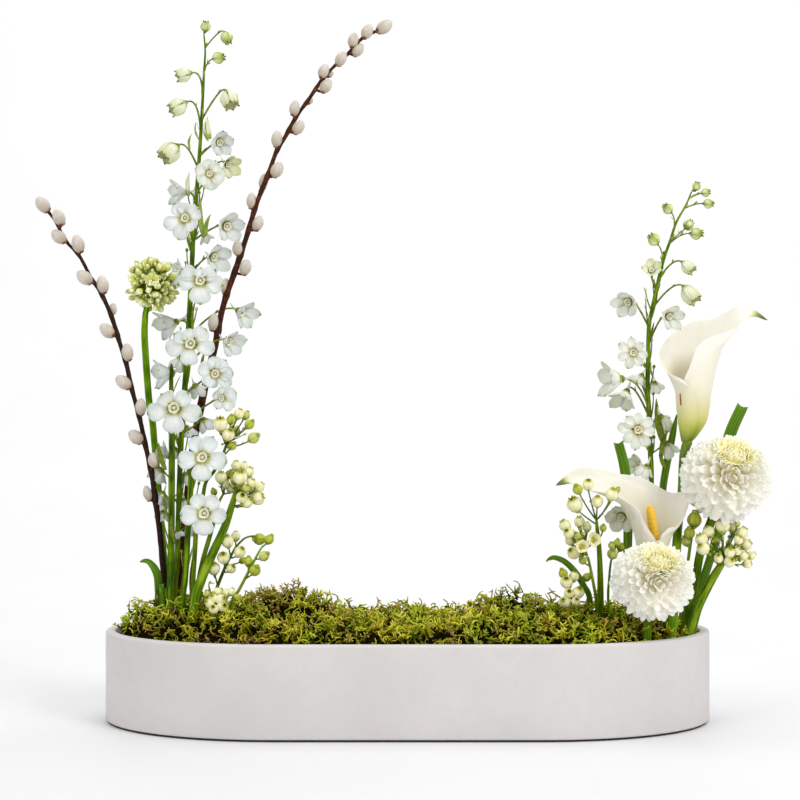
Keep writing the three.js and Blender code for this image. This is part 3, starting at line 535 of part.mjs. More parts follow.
// ---------------------------------------------------------------- trough, pad, foam
// Plan of the trough, drawn `inset` inside its outer face.
function plan(inset, parts = 22) {
  const b = TROUGH_HALF_DEPTH - inset;
  const a = TROUGH_END - inset;
  const straight = TROUGH_HALF_LENGTH - TROUGH_END;
  const points = [];
  for (let i = 0; i <= parts; i++) {
    const t = -Math.PI / 2 + (Math.PI * i) / parts;
    points.push(new THREE.Vector2(straight + a * Math.cos(t), b * Math.sin(t)));
  }
  for (let i = 0; i <= parts; i++) {
    const t = Math.PI / 2 + (Math.PI * i) / parts;
    points.push(new THREE.Vector2(-straight + a * Math.cos(t), b * Math.sin(t)));
  }
  return points;
}
function prism(points, z0, z1) {
  const geometry = new THREE.ExtrudeGeometry(new THREE.Shape(points), { depth: z1 - z0, bevelEnabled: false });
  geometry.translate(0, 0, z0);
  return solid(geometry);
}
function makeTrough() {
  const body = new THREE.ExtrudeGeometry(new THREE.Shape(plan(RIM_BEVEL)), {
    depth: TROUGH_RIM_Z - TROUGH_BASE_Z - 2 * RIM_BEVEL, bevelEnabled: true, bevelThickness: RIM_BEVEL, bevelSize: RIM_BEVEL, bevelSegments: 1,
  });
  body.translate(0, 0, TROUGH_BASE_Z + RIM_BEVEL);
  return solid(body).subtract(prism(plan(TROUGH_WALL), TROUGH_FLOOR_Z, TROUGH_RIM_Z + 5));
}
const makePad = () => prism(plan(PAD_INSET), 0, TROUGH_BASE_Z - GAP);

function makeFoam(x0, x1) {
  const inset = TROUGH_WALL + FOAM_SIDE_GAP;
  const whole = prism(plan(inset), TROUGH_FLOOR_Z + GAP, FOAM_TOP_Z);
  const band = new THREE.BoxGeometry(x1 - x0, 400, 200);
  band.translate((x0 + x1) / 2, 0, 50);
  return whole.intersect(solid(band));
}

// ---------------------------------------------------------------- moss
// Height of the moss: low at the wall, mounded round the two clumps of stems.
const MOUNDS = [[-225, 20, 55, 14], [-100, 30, 45, 14], [125, 15, 50, 8], [10, 5, 60, -2]];
function mossHeight(x, y) {
  const inset = TROUGH_WALL + MOSS_SIDE_GAP;
  const straight = TROUGH_HALF_LENGTH - TROUGH_END;
  const rim = Math.hypot(Math.max(0, Math.abs(x) - straight) / (TROUGH_END - inset), y / (TROUGH_HALF_DEPTH - inset));
  const soft = clamp01((1 - rim) / 0.42);
  let z = 85 + 15 * (1 - (1 - soft) * (1 - soft));
  for (const [cx, cy, s, h] of MOUNDS) z += h * Math.exp(-((x - cx) ** 2 + (y - cy) ** 2) / (2 * s * s)) * (0.35 + 0.65 * soft);
  return z + 1.6 * Math.sin(0.11 * x + 1.3) * Math.cos(0.13 * y + 0.4) * soft;
}
function makeMoss() {
  const outline = plan(TROUGH_WALL + MOSS_SIDE_GAP);
  const n = outline.length;
  const profile = [[0, 0], [1, 0], [1, 1], [0.92, 1], [0.76, 1], [0.5, 1], [0.22, 1], [0, 1]].map((p) => new THREE.Vector2(p[0], p[1]));
  const geometry = new THREE.LatheGeometry(profile, n);
  const at = geometry.getAttribute('position');
  for (let i = 0; i < at.count; i++) {
    const rho = Math.hypot(at.getX(i), at.getZ(i));
    const turn = Math.atan2(at.getX(i), at.getZ(i)) / (2 * Math.PI);
    const edge = outline[((Math.round(turn * n) % n) + n) % n];
    const x = rho < 1e-6 ? 0 : rho * edge.x;
    const y = rho < 1e-6 ? 0 : rho * edge.y;
    at.setXYZ(i, x, y, at.getY(i) < 0.5 ? FOAM_TOP_Z + GAP : mossHeight(x, y));
  }
  return solid(geometry);
}

// ---------------------------------------------------------------- flower heads
// A ball chrysanthemum head: a domed front, a flatter back, ridged where its petals end.
function makeMum({ c, R, f }) {
  const geometry = new THREE.SphereGeometry(1, 20, 9).applyMatrix4(new THREE.Matrix4().makeRotationX(Math.PI / 2));
  const at = geometry.getAttribute('position');
  for (let i = 0; i < at.count; i++) {
    const [x, y, z] = [at.getX(i), at.getY(i), at.getZ(i)];
    const ring = Math.hypot(x, y);
    const wave = ring > 1e-6 ? Math.cos(10 * Math.atan2(y, x)) : 0;
    const reach = R * (0.985 + 0.02 * wave * ring);
    at.setXYZ(i, x * reach, y * reach, z * R * (z > 0 ? 0.66 : 0.3));
  }
  return solid(placed(geometry, c, f));
}
function makeGlobe({ c, R }) {
  const geometry = new THREE.SphereGeometry(1, 14, 8).applyMatrix4(new THREE.Matrix4().makeRotationX(Math.PI / 2));
  const at = geometry.getAttribute('position');
  for (let i = 0; i < at.count; i++) {
    const v = new THREE.Vector3().fromBufferAttribute(at, i);
    const k = 1 + 0.05 * Math.sin(9 * Math.atan2(v.y, v.x)) * Math.sin(7 * v.z) * (1 - v.z * v.z);
    at.setXYZ(i, v.x * R * k, v.y * R * k, v.z * R * 1.13 * k);
  }
  geometry.translate(c[0], c[1], c[2]);
  return solid(geometry);
}
const makeSpathe = ({ net }) => sheet((u, v) => netPoint(net, u, v), net.length - 1, 7, (u, v) => SPATHE_THICKNESS * (1 - 0.35 * v));
const makeSpadix = ({ spadix }) => stem(spadix.map((q) => q.slice(0, 3)), spadix.map((q) => q[3]), { sides: 8, steps: 7 });

// A branch with its catkins, each on a short foot.
function makeWillow(key) {
  const { p, r } = STEMS[key];
  const parts = [stem(p, r, { steps: stepsOf(key) })];
  for (const k of CATKINS[key]) {
    const t = (k.ang * Math.PI) / 180;
    const dir = [Math.cos(t), 0, Math.sin(t)];
    const egg = [[0, -1], [0.92, -0.45], [0.86, 0.42], [0, 1]].map((q) => new THREE.Vector2((q[0] * k.w) / 2, (q[1] * k.l) / 2));
    const geometry = new THREE.LatheGeometry(egg, 6).applyMatrix4(new THREE.Matrix4().makeRotationX(Math.PI / 2));
    parts.push(solid(placed(geometry, k.c, dir)));
    const foot = V(k.c).addScaledVector(V(dir), -0.2 * k.l);
    // most catkins sit close enough to grow straight out of the bark
    if (foot.distanceTo(V(k.a)) > 0.36 * k.w + 0.8) parts.push(twig(k.a, foot.toArray(), 1.5, { bend: 0, steps: 1 }));
  }
  return join(parts);
}

const CUP = { open: 0.16, cup: 0.42, bell: 0.72 };
// The back of an own-node floret, where its pedicel ends just short of it.
function floretBack(k) {
  const f = V(k.f).normalize();
  const back = FLORET_THICKNESS / 2 + 1.2 + CUP[k.kind] * k.R * 0.35 + 0.9;
  return V(k.c).addScaledVector(f, -back).toArray();
}
function makeDelphinium(key) {
  const { p, r } = STEMS[key];
  const parts = [stem(p, r, { steps: stepsOf(key) })];
  for (const k of Object.values(FLORETS)) {
    if (k.stem !== key) continue;
    const f = V(k.f).normalize();
    if (k.node) {
      parts.push(twig(k.a, floretBack(k), 0.95, { dir: f.toArray() }));
      continue;
    }
    const reach = k.kind === 'bud' ? 0.7 : 0.8;
    parts.push(twig(k.a, V(k.c).addScaledVector(f, -reach * k.R).toArray(), k.kind === 'bud' ? 0.75 : 0.9, { dir: f.toArray() }));
    parts.push(k.kind === 'bud' ? bud(k.c, k.R * 1.05, k.f) : bell(k.c, k.R * 0.98, k.f, k.kind === 'bell' ? 0.62 : 0.85));
  }
  return join(parts);
}
const makeFloret = (k) => floret(k.c, k.R, k.f, CUP[k.kind], (k.roll * Math.PI) / 180);

function makeSpray(key) {
  const { p, r } = STEMS[key];
  const parts = [stem(p, r, { steps: stepsOf(key) })];
  for (const k of BUDS[key] || []) {
    if (k.d < SMALLEST_BUD) continue;
    parts.push(twig(k.a, k.c, k.d > 9.5 ? 0.8 : 0.7, { sides: 3, steps: 1 }));
    parts.push(bud(k.c, (k.d / 2) * 1.05, V(k.c).sub(V(k.a)).toArray(), 1.08, k.d < 10.6));
  }
  for (const k of Object.values(FLORETS)) {
    if (k.stem === key) parts.push(twig(k.a, floretBack(k), 0.9, { dir: V(k.f).normalize().toArray() }));
  }
  return join(parts);
}

// ---------------------------------------------------------------- the assembly
const group = new THREE.Group();
function add(name, made, color, roughness = 0.7, metalness = 0) {
  const mesh = new THREE.Mesh(geometryOf(made), new THREE.MeshStandardMaterial({ color, roughness, metalness }));
  mesh.name = name;
  group.add(mesh);
}

// Holes pushed by the stems and leaves: the same shapes, a little larger.
const holes = [
  ...Object.entries(STEMS).map(([key, { p, r }]) => stem(p, r, { steps: stepsOf(key), grow: STEM_HOLE + 0.1 })),
  ...Object.values(LEAVES).map((leaf) => blade({ ...leaf, p: [leaf.p[0].map((c, k) => (k === 2 ? c - 0.5 : c)), ...leaf.p.slice(1)] }, STEM_HOLE + 0.1)),
];

add('trough', makeTrough(), 0xd4d0cb, 0.8);
add('base_pad', makePad(), 0x1c1c1e, 0.9);
add('foam_left', cut(makeFoam(-400, FOAM_LEFT_X - GAP), holes), 0x3f6b3a, 0.95);
add('foam_middle', makeFoam(FOAM_LEFT_X + GAP, FOAM_RIGHT_X - GAP), 0x3f6b3a, 0.95);
add('foam_right', cut(makeFoam(FOAM_RIGHT_X + GAP, 400), holes), 0x3f6b3a, 0.95);
add('moss_bed', cut(makeMoss(), holes), 0x66731f, 1);

const stemNames = { delph_tall: 'delphinium_tall_stem', delph_short: 'delphinium_short_stem', delph_side: 'delphinium_side_stem', delph_right: 'delphinium_right_stem' };
add('willow_branch_left', makeWillow('willow_left'), 0x4a2a1e, 0.7);
add('willow_branch_right', makeWillow('willow_right'), 0x4a2a1e, 0.7);
for (const [key, name] of Object.entries(stemNames)) add(name, makeDelphinium(key), 0x5f8a28, 0.6);
const count = {};
for (const k of Object.values(FLORETS)) {
  if (!k.node) continue;
  const host = k.stem === 'delph_right' || k.stem === 'spray_j' ? 'delphinium_right_floret' : 'delphinium_left_floret';
  count[host] = (count[host] || 0) + 1;
  add(host + '_' + String(count[host]).padStart(2, '0'), makeFloret(k), 0xeef2f6, 0.55);
}
add('globe_flower_stem', stem(STEMS.globe.p, STEMS.globe.r), 0x5d8d1c, 0.55);
add('globe_flower_head', makeGlobe(GLOBE), 0xa9b64e, 0.8);
for (const [side, data] of [['upper', CALLA_UPPER], ['lower', CALLA_LOWER]]) {
  add('calla_' + side + '_stem', stem(STEMS['calla_' + side].p, STEMS['calla_' + side].r, { steps: stepsOf('calla_' + side) }), 0x6f9a33, 0.5);
  add('calla_' + side + '_spathe', makeSpathe(data), 0xf8f5e8, 0.45);
  add('calla_' + side + '_spadix', makeSpadix(data), 0xf3cf4e, 0.7);
  add('chrysanthemum_' + side + '_stem', stem(STEMS['mum_' + side].p, STEMS['mum_' + side].r), 0x6b8f2e, 0.6);
  add('chrysanthemum_' + side + '_head', makeMum(MUMS['mum_' + side]), 0xf6f1df, 0.6);
}
const leafNames = {
  leaf_left_arch: 'arching_leaf_left', leaf_left_stub: 'cut_leaf_left', leaf_right_arch: 'arching_leaf_right',
  leaf_cut_left: 'cut_leaf_right_tall', leaf_blade: 'pointed_leaf_right', leaf_cut_right: 'cut_leaf_right_slanted',
};
for (const [key, name] of Object.entries(leafNames)) add(name, blade(LEAVES[key]), 0x3f7d24, 0.5);
const sprayNames = ['a', 'b', 'b2', 'c', 'd', 'e', 'f', 'g', 'h', 'i', 'j', 'k', 'l'];
sprayNames.forEach((k, i) => add('bud_spray_' + (i < 6 ? 'left_' + (i + 1) : 'right_' + (i - 5)), makeSpray('spray_' + k), 0xe9ecc9, 0.6));

export default group;
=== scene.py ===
"""An ikebana arrangement in a long oval stone trough: delphiniums, pussy willow, a globe flower, two calla lilies,
two ball chrysanthemums, strap leaves and sprays of small buds, standing in foam under a bed of moss."""
import math
import bpy
import numpy as np
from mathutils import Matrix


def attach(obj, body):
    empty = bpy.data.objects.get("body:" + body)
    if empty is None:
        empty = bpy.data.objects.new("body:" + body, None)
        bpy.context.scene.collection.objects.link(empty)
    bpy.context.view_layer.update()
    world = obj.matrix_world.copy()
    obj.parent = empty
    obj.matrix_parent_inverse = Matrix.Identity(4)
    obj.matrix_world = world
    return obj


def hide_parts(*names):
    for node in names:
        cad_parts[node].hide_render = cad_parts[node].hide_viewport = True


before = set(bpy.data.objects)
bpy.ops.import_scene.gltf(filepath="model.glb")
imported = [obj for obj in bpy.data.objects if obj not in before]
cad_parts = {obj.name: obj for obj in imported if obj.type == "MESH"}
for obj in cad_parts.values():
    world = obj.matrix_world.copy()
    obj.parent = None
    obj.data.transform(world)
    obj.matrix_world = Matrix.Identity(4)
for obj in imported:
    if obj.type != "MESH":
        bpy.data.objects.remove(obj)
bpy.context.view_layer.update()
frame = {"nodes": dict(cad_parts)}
MM = 0.001


# ---------------------------------------------------------------- small maths
def unit(v):
    v = np.asarray(v, float)
    return v / np.maximum(np.linalg.norm(v, axis=-1, keepdims=True), 1e-12)


def basis(f, roll=0.0, up=(0.0, 0.0, 1.0)):
    """A matrix whose columns are right, up and facing, turned by roll degrees about facing."""
    z = unit(f)
    u = np.array(up, float)
    if abs(float(z @ u)) > 0.985:
        u = np.array([0.0, 1.0, 0.0])
    x = unit(np.cross(u, z))
    y = np.cross(z, x)
    c, s = math.cos(math.radians(roll)), math.sin(math.radians(roll))
    return np.stack([c * x + s * y, -s * x + c * y, z], axis=1)


def spline(points, per=6):
    """Catmull-Rom through rows of any width, with `per` steps to each span."""
    p = np.asarray(points, float)
    if len(p) < 3:
        t = np.linspace(0, 1, per * (len(p) - 1) + 1)[:, None]
        return p[0] + (p[-1] - p[0]) * t
    e = np.vstack([2 * p[0] - p[1], p, 2 * p[-1] - p[-2]])
    out = []
    for i in range(len(p) - 1):
        a, b, c, d = e[i], e[i + 1], e[i + 2], e[i + 3]
        t = (np.arange(per) / per)[:, None]
        out.append(0.5 * (2 * b + (c - a) * t + (2 * a - 5 * b + 4 * c - d) * t ** 2 + (3 * b - a - 3 * c + d) * t ** 3))
    out.append(p[-1:])
    return np.vstack(out)


def bezier(a, m, b, n=8):
    t = np.linspace(0, 1, n)[:, None]
    return (1 - t) ** 2 * np.asarray(a, float) + 2 * t * (1 - t) * np.asarray(m, float) + t ** 2 * np.asarray(b, float)


def rings(P):
    """Tangent, normal and side at each point of a line, carried along without twisting."""
    T = unit(np.gradient(P, axis=0))
    N = np.zeros_like(P)
    a = np.array([0.0, -1.0, 0.0]) if abs(T[0][1]) < 0.9 else np.array([1.0, 0.0, 0.0])
    N[0] = unit(a - (a @ T[0]) * T[0])
    for i in range(1, len(P)):
        n = N[i - 1] - (N[i - 1] @ T[i]) * T[i]
        N[i] = unit(n)
    return T, N, np.cross(T, N)


_grid_faces = {}


def shell_faces(nu, nv):
    if (nu, nv) not in _grid_faces:
        i, j = np.meshgrid(np.arange(nu - 1), np.arange(nv - 1), indexing="ij")
        a = (i * nv + j).ravel()
        top = np.stack([a, a + nv, a + nv + 1, a + 1], 1)
        n = nu * nv
        low = top[:, ::-1] + n
        edge = np.concatenate([np.arange(nv - 1), np.arange(nu - 1) * nv + nv - 1,
                               (nu - 1) * nv + np.arange(nv - 1, 0, -1), np.arange(nu - 1, 0, -1) * nv])
        ring = np.stack([edge, np.roll(edge, -1), np.roll(edge, -1) + n, edge + n], 1)
        _grid_faces[(nu, nv)] = np.concatenate([top, low, ring])
    return _grid_faces[(nu, nv)]


class Piece:
    """Gathers many small closed surfaces into one mesh. Points are in millimetres; each point carries
    along, across and tone, three numbers that the materials read."""

    def __init__(self):
        self.v, self.q, self.t, self.mq, self.mt, self.n = [], [], [], [], [], 0
        self.a = {"along": [], "across": [], "tone": []}

    def add(self, v, quads=None, tris=None, mat=0, along=0.0, across=0.0, tone=0.0):
        v = np.asarray(v, float).reshape(-1, 3)
        if quads is not None and len(quads):
            self.q.append(np.asarray(quads) + self.n)
            self.mq.append(np.full(len(quads), mat))
        if tris is not None and len(tris):
            self.t.append(np.asarray(tris) + self.n)
            self.mt.append(np.full(len(tris), mat))
        for k, x in (("along", along), ("across", across), ("tone", tone)):
            self.a[k].append(np.broadcast_to(np.asarray(x, float).ravel() if np.ndim(x) else x, (len(v),)))
        self.v.append(v)
        self.n += len(v)
        return self

    def shell(self, P, thick, mat=0, along=None, across=None, tone=0.0):
        """A thin closed sheet over a grid of points."""
        nu, nv = P.shape[:2]
        n = unit(np.cross(np.gradient(P, axis=0), np.gradient(P, axis=1)))
        h = np.asarray(thick, float)
        h = (h[..., None] if h.ndim else h) / 2
        if along is None:
            along = np.repeat(np.linspace(0, 1, nu)[:, None], nv, 1)
        if across is None:
            across = np.repeat(np.linspace(-1, 1, nv)[None], nu, 0)
        tone = np.broadcast_to(tone, (nu, nv))
        two = lambda x: np.concatenate([np.asarray(x).ravel()] * 2)
        return self.add(np.concatenate([(P + n * h).reshape(-1, 3), (P - n * h).reshape(-1, 3)]),
                        shell_faces(nu, nv), None, mat, two(along), two(across), two(tone))

    def tube(self, P, r, sides=8, mat=0, tone=0.0, along=None, flat=None, ribs=0, rib=0.0, tip=0.0, rough=None):
        """A round closed stem along the points. r is a radius at each point; flat squeezes it along its normal."""
        P = np.asarray(P, float)
        r = np.broadcast_to(np.asarray(r, float), (len(P),)).copy()
        if tip:
            r[-1] *= tip
        T, N, B = rings(P)
        a = np.arange(sides) * 2 * math.pi / sides
        rr = r[:, None] * (1 + rib * np.cos(ribs * a)[None])
        if rough is not None:
            rr = rr * rough
        fx = 1.0 if flat is None else flat
        R = P[:, None] + (rr * np.cos(a) * fx)[..., None] * N[:, None] + (rr * np.sin(a))[..., None] * B[:, None]
        n = len(P)
        i, j = np.meshgrid(np.arange(n - 1), np.arange(sides), indexing="ij")
        k = (j + 1) % sides
        q = np.stack([i * sides + j, i * sides + k, (i + 1) * sides + k, (i + 1) * sides + j], -1).reshape(-1, 4)
        c0, c1 = n * sides, n * sides + 1
        j = np.arange(sides)
        k = (j + 1) % sides
        t = np.concatenate([np.stack([k, j, np.full(sides, c0)], 1),
                            np.stack([(n - 1) * sides + j, (n - 1) * sides + k, np.full(sides, c1)], 1)])
        v = np.concatenate([R.reshape(-1, 3), P[:1], P[-1:] + T[-1:] * r[-1] * 0.4])
        if along is None:
            along = np.concatenate([[0], np.cumsum(np.linalg.norm(np.diff(P, axis=0), axis=1))])
        along = np.broadcast_to(np.asarray(along, float), (n,))
        al = np.concatenate([np.repeat(along, sides), [along[0], along[-1]]])
        ac = np.concatenate([np.tile(np.cos(a), n), [0, 0]])
        to = np.concatenate([np.repeat(np.broadcast_to(tone, (n,)), sides), [np.ravel(tone)[0], np.ravel(tone)[-1]]]) if np.ndim(tone) else tone
        return self.add(v, q, t, mat, al, ac, to)

    def blob(self, shape, nu=9, nv=10, mat=0, tone=0.0, M=None, c=(0, 0, 0)):
        """A closed round body: shape(s, angle) gives radius and height for s from 0 at the foot to 1 at the tip."""
        s = np.linspace(0, 1, nu)[1:-1]
        a = np.arange(nv) * 2 * math.pi / nv
        S, A = np.meshgrid(s, a, indexing="ij")
        r, z = shape(S, A)
        ends = [shape(np.array([[e]]), np.array([[0.0]]))[1].ravel()[0] for e in (0.0, 1.0)]
        V = np.concatenate([np.stack([r * np.cos(A), r * np.sin(A), z], -1).reshape(-1, 3), [[0, 0, ends[0]], [0, 0, ends[1]]]])
        n = len(s)
        i, j = np.meshgrid(np.arange(n - 1), np.arange(nv), indexing="ij")
        k = (j + 1) % nv
        q = np.stack([i * nv + j, i * nv + k, (i + 1) * nv + k, (i + 1) * nv + j], -1).reshape(-1, 4)
        j = np.arange(nv)
        k = (j + 1) % nv
        t = np.concatenate([np.stack([k, j, np.full(nv, n * nv)], 1),
                            np.stack([(n - 1) * nv + j, (n - 1) * nv + k, np.full(nv, n * nv + 1)], 1)])
        if M is not None:
            V = V @ np.asarray(M).T
        al = np.concatenate([S.ravel(), [0, 1]])
        ac = np.concatenate([np.cos(A).ravel(), [0, 0]])
        return self.add(V + np.asarray(c, float), q, t, mat, al, ac, tone)

    def build(self, name, mats, slot, *nodes):
        v = np.concatenate(self.v) * MM
        me = bpy.data.meshes.new(name)
        me.vertices.add(len(v))
        me.vertices.foreach_set("co", v.astype(np.float32).ravel())
        q = np.concatenate(self.q) if self.q else np.zeros((0, 4), int)
        t = np.concatenate(self.t) if self.t else np.zeros((0, 3), int)
        me.loops.add(q.size + t.size)
        me.loops.foreach_set("vertex_index", np.concatenate([q.ravel(), t.ravel()]).astype(np.int32))
        me.polygons.add(len(q) + len(t))
        me.polygons.foreach_set("loop_start", np.concatenate([np.arange(len(q)) * 4, q.size + np.arange(len(t)) * 3]).astype(np.int32))
        m = np.concatenate(self.mq + self.mt).astype(np.int32)
        me.polygons.foreach_set("material_index", m)
        me.update(calc_edges=True)
        me.validate()
        me.shade_smooth()
        for k, x in self.a.items():
            at = me.attributes.new(k, "FLOAT", "POINT")
            at.data.foreach_set("value", np.concatenate(x).astype(np.float32))
        for x in mats if isinstance(mats, (list, tuple)) else [mats]:
            me.materials.append(x)
        o = bpy.data.objects.new(name, me)
        bpy.context.scene.collection.objects.link(o)
        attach(o, "root")
        if nodes:
            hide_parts(*nodes)
        return o


# ---------------------------------------------------------------- materials
def srgb(r, g, b):
    f = lambda c: c / 255 / 12.92 if c / 255 <= 0.04045 else ((c / 255 + 0.055) / 1.055) ** 2.4
    return (f(r), f(g), f(b), 1.0)


class Finish:
    """One procedural material, with short calls for the nodes it needs."""

    def __init__(self, name, rough=0.5, spec=0.4, sub=0.0, scale=0.001, radius=(1.0, 0.8, 0.5), sheen=0.0, coat=0.0):
        self.m = bpy.data.materials.new(name)
        self.m.use_nodes = True
        self.t = self.m.node_tree
        self.b = self.t.nodes["Principled BSDF"]
        i = self.b.inputs
        i["Roughness"].default_value = rough
        i["Specular IOR Level"].default_value = spec
        if sub:
            i["Subsurface Weight"].default_value = sub
            i["Subsurface Radius"].default_value = radius
            i["Subsurface Scale"].default_value = scale
        if sheen:
            i["Sheen Weight"].default_value = sheen
            i["Sheen Roughness"].default_value = 0.4
        if coat:
            i["Coat Weight"].default_value = coat
            i["Coat Roughness"].default_value = 0.2

    def node(self, kind, ins=(), **props):
        x = self.t.nodes.new("ShaderNode" + kind)
        for k, v in props.items():
            setattr(x, k, v)
        for k, v in dict(ins).items():
            self.put(x.inputs[k], v)
        return x

    def put(self, socket, v):
        if isinstance(v, bpy.types.NodeSocket):
            self.t.links.new(v, socket)
        else:
            socket.default_value = v

    def attr(self, name):
        return self.node("Attribute", attribute_name=name).outputs["Fac"]

    def place(self, sx=1.0, sy=1.0, sz=1.0):
        c = self.node("TexCoord").outputs["Object"]
        return self.node("Mapping", {"Vector": c, "Scale": (sx, sy, sz)}).outputs["Vector"]

    def vector(self, x=0.0, y=0.0, z=0.0):
        return self.node("CombineXYZ", {"X": x, "Y": y, "Z": z}).outputs[0]

    def noise(self, scale, detail=3.0, rough=0.55, at=None, distort=0.0):
        return self.node("TexNoise", {"Vector": at or self.place(), "Scale": scale, "Detail": detail, "Roughness": rough,
                                      "Distortion": distort}).outputs[0]

    def cells(self, scale, at=None, feature="F1", rand=1.0):
        return self.node("TexVoronoi", {"Vector": at or self.place(), "Scale": scale, "Randomness": rand}, feature=feature).outputs["Distance"]

    def math(self, op, a, b=0.0, clamp=False):
        return self.node("Math", {0: a, 1: b}, operation=op, use_clamp=clamp).outputs[0]

    def ramp(self, f, stops, ease="LINEAR"):
        x = self.node("ValToRGB", {"Fac": f})
        r = x.color_ramp
        r.interpolation = ease
        while len(r.elements) < len(stops):
            r.elements.new(0.5)
        for e, (p, c) in zip(r.elements, stops):
            e.position = p
            e.color = srgb(*c) if len(c) == 3 else c
        return x.outputs["Color"]

    def steps(self, f, *pairs):
        """A number from a number, by straight lines between pairs."""
        return self.ramp(f, [(p, (v, v, v, 1.0)) for p, v in pairs])

    def mix(self, f, a, b, kind="MIX"):
        x = self.node("Mix", data_type="RGBA", blend_type=kind)
        for k, v in ((0, f), (6, a), (7, b)):
            if isinstance(v, tuple) and len(v) == 3:
                v = srgb(*v)
            self.put(x.inputs[k], v)
        return x.outputs[2]

    def bump(self, h, strength=0.3, distance=0.0005):
        x = self.node("Bump", {"Height": h, "Strength": strength, "Distance": distance})
        self.put(self.b.inputs["Normal"], x.outputs[0])

    def colour(self, c):
        self.put(self.b.inputs["Base Color"], c)

    def roughness(self, v):
        self.put(self.b.inputs["Roughness"], v)
        return self


def make_stone():
    f = Finish("trough_stone", rough=0.62, spec=0.3)
    big = f.noise(9.0, 4, 0.6)
    fine = f.noise(160.0, 3, 0.6)
    grain = f.noise(900.0, 2, 0.5)
    c = f.ramp(big, [(0.3, (207, 203, 200)), (0.5, (213, 209, 207)), (0.72, (219, 215, 213))])
    c = f.mix(f.steps(fine, (0.35, 0.0), (0.7, 0.28)), c, (206, 202, 198))
    c = f.mix(f.steps(grain, (0.62, 0.0), (0.72, 0.22)), c, (194, 189, 184))
    f.colour(c)
    f.roughness(f.steps(fine, (0.3, 0.56), (0.7, 0.7)))
    f.bump(f.math("ADD", f.math("MULTIPLY", grain, 0.5), fine), 0.25, 0.0004)
    return f.m


def make_rubber():
    f = Finish("pad_rubber", rough=0.8, spec=0.2)
    n = f.noise(400.0, 3)
    f.colour(f.ramp(n, [(0.35, (44, 43, 42)), (0.7, (66, 64, 62))]))
    f.bump(n, 0.3, 0.0003)
    return f.m


def make_foam():
    f = Finish("floral_foam", rough=0.95, spec=0.1)
    n = f.cells(900.0)
    f.colour(f.ramp(n, [(0.1, (26, 52, 28)), (0.6, (58, 98, 58))]))
    f.bump(n, 0.6, 0.0006)
    return f.m


def make_moss():
    f = Finish("moss_fronds", rough=0.85, spec=0.05, sub=0.1, scale=0.001)
    tone, h = f.attr("tone"), f.attr("along")
    patch = f.noise(40.0, 3, 0.55)
    t = f.math("ADD", tone, f.math("MULTIPLY", f.math("SUBTRACT", patch, 0.5), 1.5))
    c = f.ramp(t, [(0.0, (132, 84, 44)), (0.10, (184, 138, 90)), (0.22, (158, 118, 52)), (0.32, (140, 122, 14)), (0.45, (168, 160, 16)),
                   (0.62, (194, 188, 22)), (0.8, (212, 208, 34)), (1.0, (230, 224, 80))])
    fresh = f.ramp(t, [(0.3, (128, 122, 10)), (0.5, (126, 156, 2)), (0.75, (152, 188, 6)), (1.0, (188, 214, 40))])
    c = f.mix(f.steps(f.noise(31.0, 2, 0.5), (0.48, 0.0), (0.60, 0.9)), c, fresh)
    # Painted shade: each frond runs to near black towards its foot, the stem's own darker brown deepened into the shade
    # low in the bed.
    c = f.mix(f.steps(h, (0.0, 0.98), (0.35, 0.86), (0.62, 0.45), (0.86, 0.0)), c, (26, 22, 0))
    c = f.mix(f.steps(h, (0.7, 0.0), (1.0, 0.5)), c, (226, 220, 104))
    f.colour(c)
    return f.m


def make_shaded_moss_ground():
    f = Finish("moss_ground_shade", rough=0.95, spec=0.05)
    n = f.noise(260.0, 4, 0.65)
    # Painted shade: a brown near black, darker than the mat itself, so the gaps between the fronds read as shade.
    f.colour(f.ramp(n, [(0.35, (8, 7, 0)), (0.55, (22, 20, 2)), (0.75, (44, 40, 5))]))
    f.bump(n, 0.9, 0.002)
    return f.m


def make_bark(name, dark, mid):
    f = Finish(name, rough=0.6, spec=0.18)
    al, ac = f.attr("along"), f.attr("across")
    v = f.vector(f.math("MULTIPLY", ac, 3.0), f.math("MULTIPLY", al, 0.12), 0.0)
    n = f.noise(2.2, 4, 0.6, v)
    m = f.noise(120.0, 3, 0.6)
    c = f.ramp(n, dark + mid)
    c = f.mix(f.steps(m, (0.4, 0.7), (0.62, 0.0)), c, (30, 13, 4))
    c = f.mix(f.steps(f.attr("tone"), (0.4, 0.0), (0.5, 0.85)), c, (150, 80, 30))
    f.colour(c)
    f.bump(n, 0.6, 0.0005)
    return f.m


def make_catkin():
    f = Finish("willow_catkin", rough=0.75, spec=0.15, sub=0.2, scale=0.002, sheen=0.35)
    al, ac = f.attr("along"), f.attr("across")
    n = f.noise(1.0, 3, 0.6, f.vector(f.math("MULTIPLY", ac, 14.0), f.math("MULTIPLY", al, 3.0), f.attr("tone")))
    c = f.ramp(al, [(0.0, (176, 158, 132)), (0.25, (206, 194, 176)), (0.6, (222, 213, 200)), (1.0, (232, 225, 215))])
    c = f.mix(f.steps(n, (0.4, 0.0), (0.75, 0.6)), c, (168, 155, 136))
    f.colour(c)
    f.bump(n, 0.35, 0.0006)
    return f.m


def make_scale():
    f = Finish("willow_bud_scale", rough=0.45, spec=0.4)
    n = f.noise(300.0, 3)
    f.colour(f.ramp(n, [(0.3, (84, 38, 10)), (0.7, (156, 84, 28))]))
    return f.m


